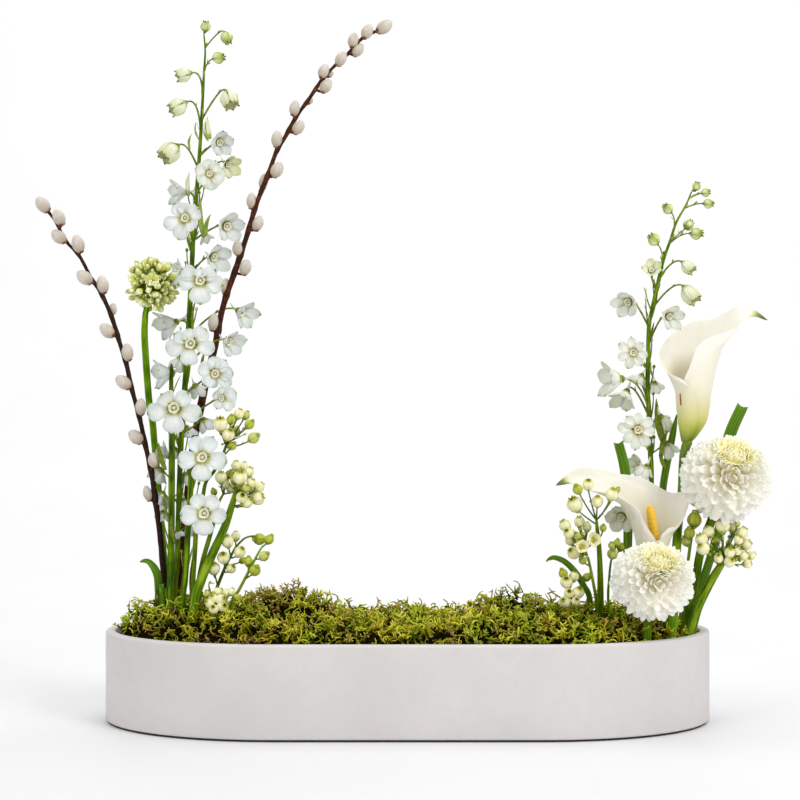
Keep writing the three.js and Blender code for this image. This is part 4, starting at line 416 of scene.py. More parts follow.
def make_sepal(name, body, edge, foot, vein, tip=(126, 150, 70), veins=0.35, mid=(228, 233, 226)):
    f = Finish(name, rough=0.55, spec=0.15, sub=0.28, scale=0.002)
    al, ac, to = f.attr("along"), f.attr("across"), f.attr("tone")
    side = f.math("ABSOLUTE", ac)
    n = f.noise(150.0, 3, 0.6)
    rim = f.math("MAXIMUM", side, al)
    c = f.mix(f.steps(rim, (0.5, 0.0), (0.88, 0.9)), body, edge)
    c = f.mix(f.steps(n, (0.42, 0.0), (0.75, 0.45)), c, edge)
    streak = f.noise(1.0, 2, 0.5, f.vector(f.math("MULTIPLY", ac, 11.0), f.math("MULTIPLY", al, 0.8), to))
    c = f.mix(f.steps(streak, (0.5, 0.0), (0.7, veins)), c, vein)
    c = f.mix(f.math("MULTIPLY", f.steps(side, (0.0, 0.6), (0.16, 0.0)), f.steps(al, (0.3, 1.0), (0.9, 0.2))), c, mid)
    c = f.mix(f.steps(rim, (0.93, 0.0), (0.99, 0.7)), c, body)
    c = f.mix(f.steps(al, (0.0, 1.0), (0.20, 0.72), (0.26, 0.26), (0.37, 0.0)), c, foot)
    dot = f.math("MULTIPLY", f.steps(al, (0.88, 0.0), (0.97, 1.0)), f.steps(side, (0.3, 1.0), (0.7, 0.0)))
    pick = f.steps(f.node("Math", {0: f.math("MULTIPLY", to, 1.37)}, operation="FRACT").outputs[0], (0.5, 0.25), (0.6, 1.0))
    c = f.mix(f.math("MULTIPLY", dot, pick), c, tip)
    f.colour(c)
    f.bump(streak, 0.25, 0.0004)
    return f.m


def make_bee():
    f = Finish("floret_centre", rough=0.55, spec=0.3, sub=0.2, scale=0.001)
    al = f.attr("along")
    n = f.noise(500.0, 2)
    c = f.ramp(al, [(0.0, (140, 128, 46)), (0.12, (200, 190, 104)), (0.26, (244, 238, 200)), (1.0, (252, 249, 228))])
    f.colour(f.mix(f.steps(n, (0.5, 0.0), (0.8, 0.35)), c, (232, 220, 168)))
    return f.m


def make_eye():
    f = Finish("floret_eye", rough=0.6, spec=0.3)
    f.colour(f.ramp(f.noise(700.0, 2), [(0.35, (92, 78, 16)), (0.7, (140, 122, 34))]))
    return f.m


def make_stem(name, dark, mid, light, rib=6.0, rough=0.5):
    f = Finish(name, rough=0.62, spec=0.1)
    al, ac = f.attr("along"), f.attr("across")
    s = f.noise(1.0, 3, 0.5, f.vector(f.math("MULTIPLY", ac, rib), f.math("MULTIPLY", al, 0.035), f.attr("tone")))
    c = f.ramp(s, [(0.34, dark), (0.5, mid), (0.66, light)])
    c = f.mix(f.steps(f.noise(60.0, 2), (0.45, 0.0), (0.75, 0.3)), c, light)
    f.colour(c)
    f.bump(s, 0.25, 0.0004)
    return f.m


def make_leaf():
    f = Finish("leaf_blade", rough=0.58, spec=0.12)
    al, ac = f.attr("along"), f.attr("across")
    lines = f.math("SINE", f.math("MULTIPLY", ac, 26.0))
    s = f.noise(1.0, 3, 0.5, f.vector(f.math("MULTIPLY", ac, 5.0), f.math("MULTIPLY", al, 2.4), f.attr("tone")))
    c = f.ramp(s, [(0.32, (44, 88, 0)), (0.5, (86, 130, 8)), (0.68, (124, 160, 34))])
    c = f.mix(f.steps(lines, (0.3, 0.0), (1.0, 0.4)), c, (150, 184, 84))
    f.colour(c)
    f.bump(lines, 0.25, 0.0003)
    return f.m


def make_bud(name, foot, body, tip, deep, streaks=0.4, top=0.96):
    f = Finish(name, rough=0.55, spec=0.15, sub=0.08, scale=0.001)
    al, ac = f.attr("along"), f.attr("across")
    n = f.noise(220.0, 3)
    v = f.noise(1.0, 2, 0.5, f.vector(f.math("MULTIPLY", ac, 9.0), al, f.attr("tone")))
    c = f.ramp(al, [(0.0, foot), (0.16, foot), (0.4, body), (top - 0.12, body), (top, tip)])
    c = f.mix(f.steps(f.math("ABSOLUTE", ac), (0.55, 0.0), (1.0, 0.7)), c, deep)
    c = f.mix(f.steps(v, (0.48, 0.0), (0.68, streaks)), c, deep)
    c = f.mix(f.steps(n, (0.45, 0.0), (0.8, 0.35)), c, deep)
    f.colour(c)
    return f.m


def make_spathe():
    f = Finish("calla_spathe", rough=0.42, spec=0.3, sub=0.25, scale=0.003, coat=0.04)
    al, ac, to = f.attr("along"), f.attr("across"), f.attr("tone")
    v = f.noise(1.0, 3, 0.5, f.vector(f.math("MULTIPLY", ac, 16.0), f.math("MULTIPLY", al, 0.9), 0.0))
    c = f.ramp(al, [(0.0, (92, 124, 0)), (0.10, (138, 158, 8)), (0.20, (184, 190, 58)), (0.31, (213, 210, 122)), (0.45, (230, 224, 180)), (0.60, (240, 234, 213)), (0.8, (244, 240, 229))])
    c = f.mix(f.steps(v, (0.45, 0.0), (0.75, 0.28)), c, (230, 223, 194))
    c = f.mix(f.steps(to, (0.12, 0.0), (0.36, 0.6), (0.55, 0.97)), c, f.ramp(to, [(0.25, (206, 208, 122)), (0.5, (128, 146, 46)), (0.75, (78, 94, 26)), (1.0, (60, 66, 22))]))
    f.colour(c)
    f.bump(v, 0.2, 0.0006)
    return f.m


def make_mark():
    f = Finish("calla_brown_mark", rough=0.6, spec=0.2)
    f.colour(f.ramp(f.noise(400.0, 2), [(0.3, (128, 62, 42)), (0.7, (168, 96, 70))]))
    return f.m


def make_spadix():
    f = Finish("calla_spadix", rough=0.75, spec=0.15, sub=0.15, scale=0.001)
    g = f.cells(900.0)
    f.colour(f.ramp(g, [(0.1, (254, 220, 100)), (0.45, (250, 206, 72)), (0.8, (238, 180, 46))]))
    f.bump(f.math("SUBTRACT", 1.0, g), 0.35, 0.0004)
    return f.m


def make_mum():
    f = Finish("chrysanthemum_petal", rough=0.65, spec=0.08, sub=0.12, scale=0.002, radius=(1.0, 0.95, 0.85))
    al, ac, to = f.attr("along"), f.attr("across"), f.attr("tone")
    body = f.ramp(al, [(0.0, (246, 232, 180)), (0.3, (253, 245, 216)), (0.55, (255, 251, 236)), (0.8, (255, 254, 244)), (1.0, (255, 255, 248))])
    warm = f.ramp(al, [(0.0, (255, 240, 120)), (0.5, (255, 243, 136)), (0.8, (255, 247, 168)), (1.0, (255, 251, 204))])
    c = f.mix(to, body, warm)
    s = f.noise(1.0, 2, 0.5, f.vector(f.math("MULTIPLY", ac, 7.0), al, to))
    c = f.mix(f.steps(s, (0.55, 0.0), (0.85, 0.13)), c, (242, 232, 206))
    f.colour(c)
    f.bump(s, 0.2, 0.0004)
    return f.m


def make_floor():
    f = Finish("studio_floor", rough=0.55, spec=0.25)
    f.colour(f.ramp(f.noise(3.0, 2), [(0.3, (233, 233, 234)), (0.7, (236, 236, 237))]))
    return f.m


STONE, RUBBER, FOAM, MOSS, GROUND_SHADE = make_stone(), make_rubber(), make_foam(), make_moss(), make_shaded_moss_ground()
BARK_RIGHT = make_bark("willow_bark_right", [(0.25, (18, 6, 0)), (0.42, (52, 20, 4))], [(0.58, (104, 46, 12)), (0.76, (160, 84, 32))])
BARK_LEFT = make_bark("willow_bark_left", [(0.25, (12, 5, 2)), (0.42, (30, 13, 5))], [(0.6, (64, 28, 10)), (0.8, (118, 58, 24))])
CATKIN, SCALE = make_catkin(), make_scale()
SEPAL = make_sepal("delphinium_sepal", (246, 247, 241), (206, 216, 213), (178, 178, 66), (212, 221, 217))
SEPAL_GREEN = make_sepal("delphinium_bell", (246, 246, 228), (210, 216, 164), (140, 164, 34), (186, 200, 116), (88, 112, 16), 0.5, (218, 225, 168))
SEPAL_BUD = make_sepal("delphinium_bud", (238, 240, 180), (154, 174, 62), (110, 138, 22), (158, 176, 76), (74, 96, 10), 0.7, (236, 236, 184))
SEPAL_CREAM = make_sepal("delphinium_sepal_cream", (246, 246, 236), (214, 221, 206), (186, 176, 60), (216, 222, 198))
BEE, EYE = make_bee(), make_eye()
STEM_RIBBED = make_stem("delphinium_stem", (30, 56, 0), (74, 108, 0), (132, 164, 2), 5.0)
STEM_SMOOTH = make_stem("flower_stem", (54, 94, 0), (96, 142, 2), (142, 180, 24), 3.0)
STEM_TWIG = make_stem("spray_twig", (54, 86, 0), (100, 134, 4), (146, 172, 36), 3.0)
LEAF = make_leaf()
BUD_WHITE = make_bud("bud_white", (156, 170, 40), (253, 248, 208), (200, 200, 96), (230, 224, 150))
BUD_GREEN = make_bud("bud_green", (100, 124, 4), (194, 200, 78), (114, 124, 16), (140, 156, 34), 0.6)
BUD_TOP = make_bud("bud_top", (122, 148, 24), (212, 214, 124), (104, 126, 20), (160, 176, 66), 0.5)
GLOBE = make_bud("globe_bud", (96, 114, 2), (224, 228, 130), (252, 252, 220), (182, 192, 60), 0.25, 0.80)
SPATHE, SPADIX, MUM, MARK = make_spathe(), make_spadix(), make_mum(), make_mark()


# ---------------------------------------------------------------- where everything stands, in millimetres
# stems: p = centre points from the foot in the foam to the tip, r = radii. leaves: p = centre points, w = half-widths.
# florets: c = centre, R = radius, f = the way they face, a = where the pedicel leaves the stem. buds: c, d = diameter, a = where the twig leaves.
# catkins: c, l and w = length and width, a = foot on the branch, ang = the tip's direction in degrees. net = rows of points over a spathe.
D = {
 "stems": {
  "willow_left": {"p":[[-238,13,46.0],[-242.43,9.0,119.83],[-246.03,7.0,153.95],[-248.32,5.0,184.56],[-252.2,3.0,215.1],[-256.17,1.0,245.55],[-262.33,-1.0,274.53],[-267.87,-3.0,302.23],[-275.09,-5.0,329.96],[-280.1,-7.0,354.83],[-286.69,-9.0,376.65],[-293.85,-11.0,400.7],[-302.98,-13.0,422.1],[-313.36,-16.0,439.31],[-324.31,-18.0,460.29],[-337.1,-20.0,474.9],[-346.34,-21.0,492.65],[-354.09,-22.0,503.77]],"r":[3.1,3.1,3.0,2.9,2.8,2.6,2.5,2.4,2.35,2.3,2.2,2.1,2.0,1.8,1.6,1.4,1.2,1.0]},
  "willow_right": {"p":[[-226,36,46.0],[-232.51,30.0,120.16],[-229.72,27.0,165.33],[-226.17,25.0,196.02],[-221.31,23.0,236.79],[-215.95,21.0,277.45],[-211.96,20.0,297.74],[-207.13,18.0,321.04],[-201.1,16.0,347.31],[-193.87,14.0,373.51],[-189.49,12.0,396.62],[-183.7,10.0,418.66],[-177.03,8.0,437.02],[-169.77,6.0,457.35],[-160.92,3.0,482.62],[-152.9,0.0,508.5],[-146.31,-2.0,525.73],[-138.83,-4.0,543.4],[-130.48,-6.0,565.52],[-121.84,-7.0,579.79],[-111.41,-8.0,598.51],[-97.72,-9.0,617.71],[-85.14,-10.0,635.89],[-71.97,-11.0,650.07],[-57.64,-12.0,662.75],[-45.11,-13.0,676.4],[-31.21,-14.0,683.59]],"r":[3.6,3.6,3.7,3.8,3.9,4.0,3.9,3.8,3.6,3.4,3.2,3.0,2.9,2.8,2.6,2.4,2.3,2.25,2.1,2.0,1.9,1.8,1.6,1.45,1.3,1.1,0.9]},
  "delph_tall": {"p":[[-230,14,46.0],[-234.24,12.0,117.43],[-231.82,10.0,166.0],[-229.71,8.0,217.47],[-226.99,6.0,283.87],[-222.33,5.0,344.09],[-220.83,5.0,368.16],[-218.57,4.0,403.22],[-215.93,3.0,454.27],[-214.48,2.0,483.22],[-211.64,1.0,517.23],[-208.6,0.0,555.4],[-206.7,0.0,584.1],[-204.8,0.0,618.5],[-203.5,0.0,645.3],[-202.3,0.0,666.3],[-203.7,0.0,685.0]],"r":[2.8,2.8,2.8,2.8,2.9,3.0,3.0,2.9,2.55,2.4,2.2,1.95,1.75,1.5,1.25,1.0,0.8]},
  "delph_short": {"p":[[-236,-12,46.0],[-236.65,-8.0,119.05],[-235.37,-6.0,179.55],[-235.12,-5.0,227.7],[-234.98,-4.0,284.49],[-235.83,-3.0,332.97],[-235.69,-2.0,353.95]],"r":[3.4,3.4,3.35,3.3,3.1,2.3,1.5]},
  "delph_side": {"p":[[-224,-22,46.0],[-222.58,-17.0,117.27],[-219.9,-15.0,144.33],[-217.57,-12.0,192.0],[-216.07,-10.0,218.66],[-214.66,-8.0,247.18],[-213.05,-6.0,266.21]],"r":[3.2,3.2,3.1,3.0,3.0,2.9,1.8]},
  "globe": {"p":[[-242,34,46.0],[-243.92,28.0,114.31],[-247.32,27.0,155.15],[-250.72,26.0,195.94],[-253.45,24.0,236.73],[-256.57,22.0,273.67],[-258.53,21.0,296.71],[-261.91,20.0,319.01],[-264.6,18.0,359.08],[-265.67,16.0,384.7],[-264.17,12.0,404.08]],"r":[3.2,3.2,3.2,3.2,3.3,3.4,3.5,3.5,3.5,3.4,3.0]},
  "spray_a": {"p":[[-214,4,46.0],[-215.51,5.0,121.35],[-213.34,6.0,166.4],[-211.93,6.0,190.5],[-209.12,6.0,204.55],[-205.31,6.0,221.62],[-201.86,5.0,236.23],[-192.75,2.0,247.91],[-184.18,-1.0,264.04],[-180.66,-2.0,275.06]],"r":[2.5,2.5,2.4,2.4,2.2,2.0,1.8,1.7,1.5,1.2]},
  "spray_b": {"p":[[-215,-38,46.0],[-209.08,-30.0,116.07],[-203.35,-26.0,139.61],[-193.16,-22.0,164.26],[-180.53,-18.0,192.51],[-172.77,-15.0,217.01],[-169.42,-14.0,227.84]],"r":[4.8,4.8,4.7,4.4,3.9,3.0,2.6]},
  "spray_b2": {"p":[[-208,20,46.0],[-213.36,17.0,115.76],[-211.43,14.0,131.29],[-205.91,9.0,156.04],[-199.35,5.0,177.54],[-193.63,1.0,195.92],[-188.45,-2.0,215.14],[-182.64,-3.0,226.18]],"r":[2.4,2.4,2.4,2.4,2.3,1.9,1.3,1.1]},
  "spray_c": {"p":[[-200,-4,46.0],[-195.85,-5.0,115.67],[-190.74,-6.0,128.75],[-181.86,-7.0,150.78],[-175.67,-8.0,162.82],[-170.78,-9.0,171.38],[-163.42,-10.0,179.42],[-157.46,-10.0,182.3],[-151.49,-10.0,183.1]],"r":[1.8,1.8,1.7,1.5,1.3,1.2,1.0,0.9,0.8]},
  "spray_d": {"p":[[-190,-30,46.0],[-173.56,-27.0,116.65],[-166.4,-26.0,130.08],[-158.25,-25.0,145.49],[-149.99,-24.0,161.61],[-145.76,-24.0,169.39],[-142.71,-24.0,174.31]],"r":[1.6,1.6,1.5,1.4,1.2,1.0,0.9]},
  "spray_e": {"p":[[-188,-50,46.0],[-186.18,-46.0,113.4],[-186.79,-45.0,120.05],[-185.95,-44.0,126.71]],"r":[1.5,1.5,1.3,1.0]},
  "delph_right": {"p":[[236,36,46.0],[239.29,31.0,109.83],[241.88,28.0,144.86],[246.02,22.0,196.26],[246.73,17.0,240.74],[244.94,14.0,269.56],[243.41,12.0,307.42],[241.84,11.0,330.49],[242.29,10.0,359.37],[242.83,9.0,390.93],[246.9,8.0,414.2],[251.96,7.0,438.35],[257.21,6.0,458.96],[263.57,5.0,477.93],[269.81,4.0,496.57],[278.95,3.0,513.09],[285.18,2.0,528.28]],"r":[2.7,2.7,2.7,2.6,2.6,2.6,2.5,2.4,2.25,2.05,1.85,1.7,1.55,1.4,1.25,1.0,0.75]},
  "calla_upper": {"p":[[252,-46,46.0],[257.14,-40.0,96.01],[259.72,-33.0,110.61],[264.33,-18.0,145.08],[269.64,-2.0,185.18],[273.9,5.0,212.65],[275.4,5.0,231.72],[275.48,1.0,251.96],[276.0,-6.0,267.7],[277.59,-8.2,274.83]],"r":[5.0,5.0,5.0,4.9,4.4,4.2,4.1,4.2,4.3,4.3]},
  "calla_lower": {"p":[[258,3,46.0],[256.66,-2.0,94.3],[252.49,-9.0,109.25],[248.62,-15.0,122.95],[246.97,-17.8,129.83]],"r":[4.5,4.5,4.5,4.5,4.4]},
  "mum_upper": {"p":[[262,-12,46.0],[275.97,-10.0,100.44],[280.82,-9.0,118.69],[286.86,-6.0,137.72],[291.03,-4.0,160.42],[296.11,-2.0,177.19],[304.8,-2.0,200.95],[308.28,-6.0,215.41],[312.71,-11.5,231.46]],"r":[4.4,4.4,4.3,4.2,4.2,4.3,4.4,3.8,3.2]},
  "mum_lower": {"p":[[228,-66,46.0],[229.75,-63.0,99.47],[230.64,-61.0,109.73],[232.3,-59.0,123.86],[233.4,-60.5,134.62]],"r":[4.1,4.1,4.0,3.8,3.2]},
  "spray_f": {"p":[[264,-28,46.0],[280.27,-21.0,95.13],[285.89,-21.0,113.77],[297.03,-22.0,136.47],[304.32,-23.0,149.1],[309.82,-24.0,158.37],[311.49,-24.0,164.47]],"r":[5.1,5.1,4.9,4.3,3.9,3.1,2.0]},
  "spray_g": {"p":[[270,17,46.0],[275.66,12.0,104.32],[277.55,3.0,127.62],[279.03,-9.0,158.95],[280.57,-13.0,176.23],[284.15,-14.0,197.13]],"r":[1.7,1.7,1.7,1.6,1.5,1.3]},
  "spray_h": {"p":[[190,-4,46.0],[191.94,-6.0,118.29],[190.17,-16.0,157.71],[188.01,-23.0,178.55],[186.45,-26.0,188.85],[185.32,-28.0,200.21]],"r":[3.3,3.3,2.6,2.3,1.9,1.5]},
  "spray_i": {"p":[[192,-20,46.0],[186.88,-17.0,116.29],[184.29,-18.0,132.63],[179.23,-19.0,158.03],[175.65,-20.0,168.5],[173.68,-20.0,174.91]],"r":[1.6,1.6,1.5,1.3,1.2,1.1]},
  "spray_j": {"p":[[225,20,46.0],[224.85,16.0,109.83],[223.46,10.0,141.85],[221.77,6.0,173.73],[222.18,6.0,190.5],[222.78,6.0,200.54]],"r":[2.0,2.0,2.0,1.9,1.5,1.0]},
  "spray_k": {"p":[[203,-8,46.0],[199.77,-7.0,115.94],[200.17,-10.0,139.19],[201.36,-13.0,156.4],[203.21,-14.0,163.44]],"r":[1.3,1.3,1.2,1.1,0.9]},
  "spray_l": {"p":[[172,-22,46.0],[165.07,-22.0,111.05],[160.54,-22.0,124.84],[157.98,-22.0,130.76]],"r":[1.2,1.2,1.1,1.0]},
 },
 "leaves": {
  "leaf_left_arch": {"p":[[-253,4,60.0],[-250.29,6.0,116.21],[-249.39,3.0,130.13],[-249.7,0.0,142.0],[-253.0,-3.0,151.03],[-258.15,-5.0,156.93],[-262.96,-6.0,157.84],[-266.44,-6.0,156.44]],"w":[3.4,3.4,3.9,4.1,3.6,2.6,1.6,0.3],"face":[0.35,-0.9,0.25],"cut":0,"cup":0.25},
  "leaf_left_stub": {"p":[[-246,-7,60.0],[-244.25,-4.0,116.53],[-244.69,-5.0,127.63],[-245.13,-6.0,135.23]],"w":[2.8,2.8,2.8,2.4],"face":[0.2,-0.98,0],"cut":1,"cup":0.25},
  "leaf_right_arch": {"p":[[180,5,60.0],[183.48,4.0,114.46],[176.4,0.0,132.5],[167.76,-4.0,146.25],[157.17,-8.0,156.95],[146.73,-11.0,161.54],[140.88,-12.0,160.46],[137.4,-12.0,157.78]],"w":[3.4,3.4,3.8,3.7,3.2,2.4,1.5,0.3],"face":[0.45,-0.85,0.3],"cut":0,"cup":0.25},
  "leaf_cut_left": {"p":[[222,35,60.0],[223.11,32.0,113.78],[223.84,30.0,144.64],[224.42,27.0,195.86],[221.14,24.0,244.66],[213.76,22.0,275.9]],"w":[4.0,4.0,4.2,4.6,5.0,4.7],"face":[-0.25,-0.96,0],"cut":1,"cup":0.25},
  "leaf_blade": {"p":[[257,38,60.0],[256.11,34.0,111.47],[256.13,31.0,139.42],[256.83,26.0,185.77],[259.27,20.0,228.84],[263.42,17.0,257.33],[267.72,15.0,280.63],[269.77,14.0,291.76],[271.61,13.0,303.38]],"w":[3.7,3.7,3.7,3.8,4.0,4.1,3.7,2.6,0.4],"face":[0.3,-0.95,0],"cut":0,"cup":0.25},
  "leaf_cut_right": {"p":[[281,4,60.0],[288.01,8.0,106.89],[296.43,12.0,131.54],[309.43,17.0,168.34],[319.57,22.0,204.38],[322.74,26.0,246.8],[327.94,28.0,280.83],[342.24,30.0,313.31]],"w":[3.9,3.9,4.0,4.2,4.8,5.6,5.9,5.6],"face":[-0.35,-0.93,-0.1],"cut":1,"cup":0.25},
 },
 "florets": {
  "dt01": {"stem":"delph_tall","c":[-201.9,0.0,691.2],"R":5.6,"f":[0.1,-0.2,1],"kind":"bud","roll":0,"node":0,"np":5,"a":[-203.7,0.0,685.0]},
  "dt02": {"stem":"delph_tall","c":[-180.42,-4.0,679.54],"R":6.6,"f":[0.35,-0.2,-0.9],"kind":"bud","roll":0,"node":0,"np":5,"a":[-202.65,0.0,670.97]},
  "dt03": {"stem":"delph_tall","c":[-188.28,-5.0,659.07],"R":6.6,"f":[0.9,-0.35,0.1],"kind":"bud","roll":0,"node":0,"np":5,"a":[-203.63,0.0,642.62]},
  "dt04": {"stem":"delph_tall","c":[-223.16,-5.0,642.13],"R":8.8,"f":[-0.88,-0.3,-0.3],"kind":"bell","roll":0,"node":0,"np":5,"a":[-204.67,0.0,621.18]},
  "dt05": {"stem":"delph_tall","c":[-177.79,-6.0,617.81],"R":11.5,"f":[0.35,-0.4,-0.85],"kind":"bell","roll":10,"node":0,"np":5,"a":[-205.84,0.0,599.58]},
  "dt06": {"stem":"delph_tall","c":[-228.59,-6.0,610.24],"R":10.6,"f":[-0.78,-0.3,-0.5],"kind":"bell","roll":20,"node":0,"np":5,"a":[-206.6,0.0,585.82]},
  "dt07": {"stem":"delph_tall","c":[-236.56,-6.0,564.82],"R":14,"f":[-0.62,-0.55,-0.5],"kind":"bell","roll":0,"node":0,"np":5,"a":[-209.36,0.25,545.86]},
  "dt08": {"stem":"delph_tall","c":[-185.52,-8.0,573.64],"R":12.5,"f":[0.38,-0.85,-0.3],"kind":"cup","roll":10,"node":0,"np":5,"a":[-208.12,0.0,562.58]},
  "dt09": {"stem":"delph_tall","c":[-178.2,6.0,553.53],"R":11.5,"f":[0.68,-0.5,-0.5],"kind":"cup","roll":30,"node":0,"np":5,"a":[-210.12,0.5,536.32]},
  "dt10": {"stem":"delph_tall","c":[-195.42,-19.0,541.56],"R":15.5,"f":[0.15,-0.97,-0.15],"kind":"open","roll":8,"node":1,"np":5,"pet":[[100,15,13,0.1],[160,15,14,0],[222,15,14,0.15],[280,16.5,14,0],[335,16,14,0.1],[45,14,13,0.2]],"a":[-210.73,0.7,528.68]},
  "dt11": {"stem":"delph_tall","c":[-230.26,9.0,526.63],"R":12.5,"f":[-0.85,-0.4,-0.05],"kind":"cup","roll":0,"node":0,"np":5,"a":[-212.21,1.2,510.43]},
  "dt12": {"stem":"delph_tall","c":[-218.68,-22.0,497.36],"R":20.5,"f":[-0.08,-0.99,-0.08],"kind":"open","roll":20,"node":1,"np":5,"pet":[[128,18.5,15,0.1],[98,16,13,-0.1],[199,23.5,15,0.05],[250,22.5,16,0],[-50,17,14,0.35],[30,18.5,18,0.25]],"a":[-214.7,2.15,478.88]},
  "dt13": {"stem":"delph_tall","c":[-177.86,-8.0,490.09],"R":18,"f":[0.52,-0.78,-0.25],"kind":"cup","roll":0,"node":1,"np":5,"a":[-214.7,2.15,478.88]},
  "dt14": {"stem":"delph_tall","c":[-190.87,-5.0,459.53],"R":17,"f":[0.62,-0.72,-0.22],"kind":"cup","roll":15,"node":1,"np":5,"a":[-216.59,3.25,441.51]},
  "dt15": {"stem":"delph_tall","c":[-203.69,-25.0,435.63],"R":23.5,"f":[0.05,-0.99,-0.08],"kind":"open","roll":5,"node":1,"np":5,"pet":[[148,22,16,0.15],[190,22.5,15,0],[269,24,22,0.05],[-14,22.5,20,0],[35,18.5,16,-0.1],[88,13,13,-0.2]],"a":[-218.04,3.8,413.43]},
  "dt16": {"stem":"delph_tall","c":[-165.47,22.0,405.25],"R":17,"f":[0.85,0.12,-0.45],"kind":"cup","roll":0,"node":1,"np":5,"a":[-219.81,4.55,383.94]},
  "dt17": {"stem":"delph_tall","c":[-176.03,-4.0,374.85],"R":17,"f":[0.68,-0.66,-0.3],"kind":"cup","roll":10,"node":1,"np":5,"a":[-221.81,5.0,352.51]},
  "dt18": {"stem":"delph_tall","c":[-212.93,-25.0,373.86],"R":25.5,"f":[-0.02,-0.99,-0.1],"kind":"open","roll":-5,"node":1,"np":5,"pet":[[194,26.5,18,0.05],[150,20,13,0.2],[104,15,13,-0.1],[42,20.5,18,0],[-15,24.5,16,0.05],[264,23,18,0.1]],"a":[-221.81,5.0,352.51]},
  "dt19": {"stem":"delph_tall","c":[-243.54,23.0,394.14],"R":15,"f":[-0.85,-0.25,-0.4],"kind":"cup","roll":0,"node":0,"np":5,"a":[-219.59,4.45,387.44]},
  "dt20": {"stem":"delph_tall","c":[-189.65,-24.0,344.18],"R":20,"f":[0.18,-0.97,-0.12],"kind":"open","roll":18,"node":1,"np":5,"pet":[[155,18,16,0.1],[90,17,15,0],[50,17.5,14,-0.1],[0,18.5,16,0.05],[-38,20,13,0],[228,16.5,15,0.2],[262,16,10,-0.2]],"a":[-224.43,5.45,316.99]},
  "dt21": {"stem":"delph_short","c":[-244.34,-1.0,344.48],"R":15,"f":[-0.9,0.1,-0.15],"kind":"cup","roll":0,"node":0,"np":5,"a":[-235.8,-2.75,338.22]},
  "dt22": {"stem":"delph_tall","c":[-185.76,-6.0,319.99],"R":14.5,"f":[0.25,-0.95,-0.05],"kind":"open","roll":30,"node":0,"np":5,"pet":[[18,16.5,16,0],[-38,16.5,15,0.1],[248,12,10,0.1],[75,12,12,0],[150,10,10,0.2]],"a":[-225.83,5.75,298.93]},
  "dt23": {"stem":"delph_short","c":[-229.4,-26.0,310.53],"R":27.5,"f":[0.0,-0.99,-0.08],"kind":"open","roll":10,"node":1,"np":5,"pet":[[193,28,19,0.05],[128,21,20,0.45],[46,21.5,17,0.1],[-17,27.5,19,0],[268,26,22,0.05]],"a":[-235.15,-3.8,294.19]},
  "dt24": {"stem":"delph_short","c":[-246.29,8.0,264.12],"R":10,"f":[-0.8,-0.15,0.45],"kind":"cup","roll":0,"node":0,"np":5,"a":[-235.07,-4.65,247.58]},
  "dt25": {"stem":"delph_tall","c":[-246.61,15.0,213.98],"R":10.5,"f":[-0.8,-0.35,-0.4],"kind":"cup","roll":0,"node":0,"np":5,"a":[-230.55,8.8,196.88]},
  "dt26": {"stem":"delph_tall","c":[-235.55,40.0,451.43],"R":11,"f":[-0.7,-0.3,0.3],"kind":"cup","roll":0,"node":0,"np":5,"a":[-217.78,3.7,418.54]},
  "dt27": {"stem":"delph_side","c":[-201.28,-29.0,261.7],"R":25,"f":[0.05,-0.99,0.05],"kind":"open","roll":18,"node":1,"np":5,"pet":[[115,22,16,0],[62,23.5,17,0.1],[189,24.5,19,0.05],[-12,24.5,19,0],[268,24.5,20,0.1]],"a":[-213.86,-7.0,256.69]},
  "dt28": {"stem":"delph_side","c":[-198.88,-33.0,207.26],"R":24.5,"f":[0.05,-0.99,0.02],"kind":"open","roll":18,"node":1,"np":5,"pet":[[118,20.5,16,0],[55,20.5,16,0.05],[186,24,20,0.05],[-10,21.5,17,0],[267,22.5,21,0.1]],"a":[-217.69,-12.15,189.62]},
  "dr01": {"stem":"delph_right","c":[289.28,2.0,531.88],"R":4.5,"f":[0.2,-0.3,0.9],"kind":"bud","roll":0,"node":0,"np":5,"a":[285.18,2.0,528.28]},
  "dr02": {"stem":"delph_right","c":[297.71,-2.0,525.13],"R":4.5,"f":[0.8,-0.4,0.1],"kind":"bud","roll":0,"node":0,"np":5,"a":[282.06,2.5,520.68]},
  "dr03": {"stem":"delph_right","c":[300.11,-3.0,513.81],"R":5.4,"f":[0.9,-0.4,-0.1],"kind":"bud","roll":0,"node":0,"np":5,"a":[278.04,3.1,511.44]},
  "dr04": {"stem":"delph_right","c":[259.98,-3.0,508.72],"R":5.8,"f":[-0.6,-0.3,0.6],"kind":"bud","roll":0,"node":0,"np":5,"a":[267.63,4.35,490.05]},
  "dr05": {"stem":"delph_right","c":[282.18,8.0,493.72],"R":5.8,"f":[0.6,0.3,0.6],"kind":"bud","roll":0,"node":0,"np":5,"a":[263.88,4.95,478.86]},
  "dr06": {"stem":"delph_right","c":[287.94,-4.0,484.16],"R":6.6,"f":[0.85,-0.4,-0.05],"kind":"bud","roll":0,"node":0,"np":5,"a":[262.3,5.2,474.14]},
  "dr07": {"stem":"delph_right","c":[245.65,-4.0,477.78],"R":6.6,"f":[-0.6,-0.3,0.6],"kind":"bud","roll":0,"node":0,"np":5,"a":[256.69,6.1,456.9]},
  "dr08": {"stem":"delph_right","c":[279.38,-5.0,450.76],"R":9.2,"f":[0.6,-0.4,-0.6],"kind":"bell","roll":0,"node":0,"np":5,"a":[251.96,7.0,438.35]},
  "dr09": {"stem":"delph_right","c":[243.01,-8.0,448.31],"R":10,"f":[-0.05,-0.8,0.35],"kind":"cup","roll":15,"node":0,"np":5,"a":[249.94,7.4,428.69]},
  "dr10": {"stem":"delph_right","c":[281.57,-5.0,423.65],"R":12.0,"f":[0.55,-0.35,-0.75],"kind":"bell","roll":0,"node":0,"np":5,"a":[246.29,8.15,410.71]},
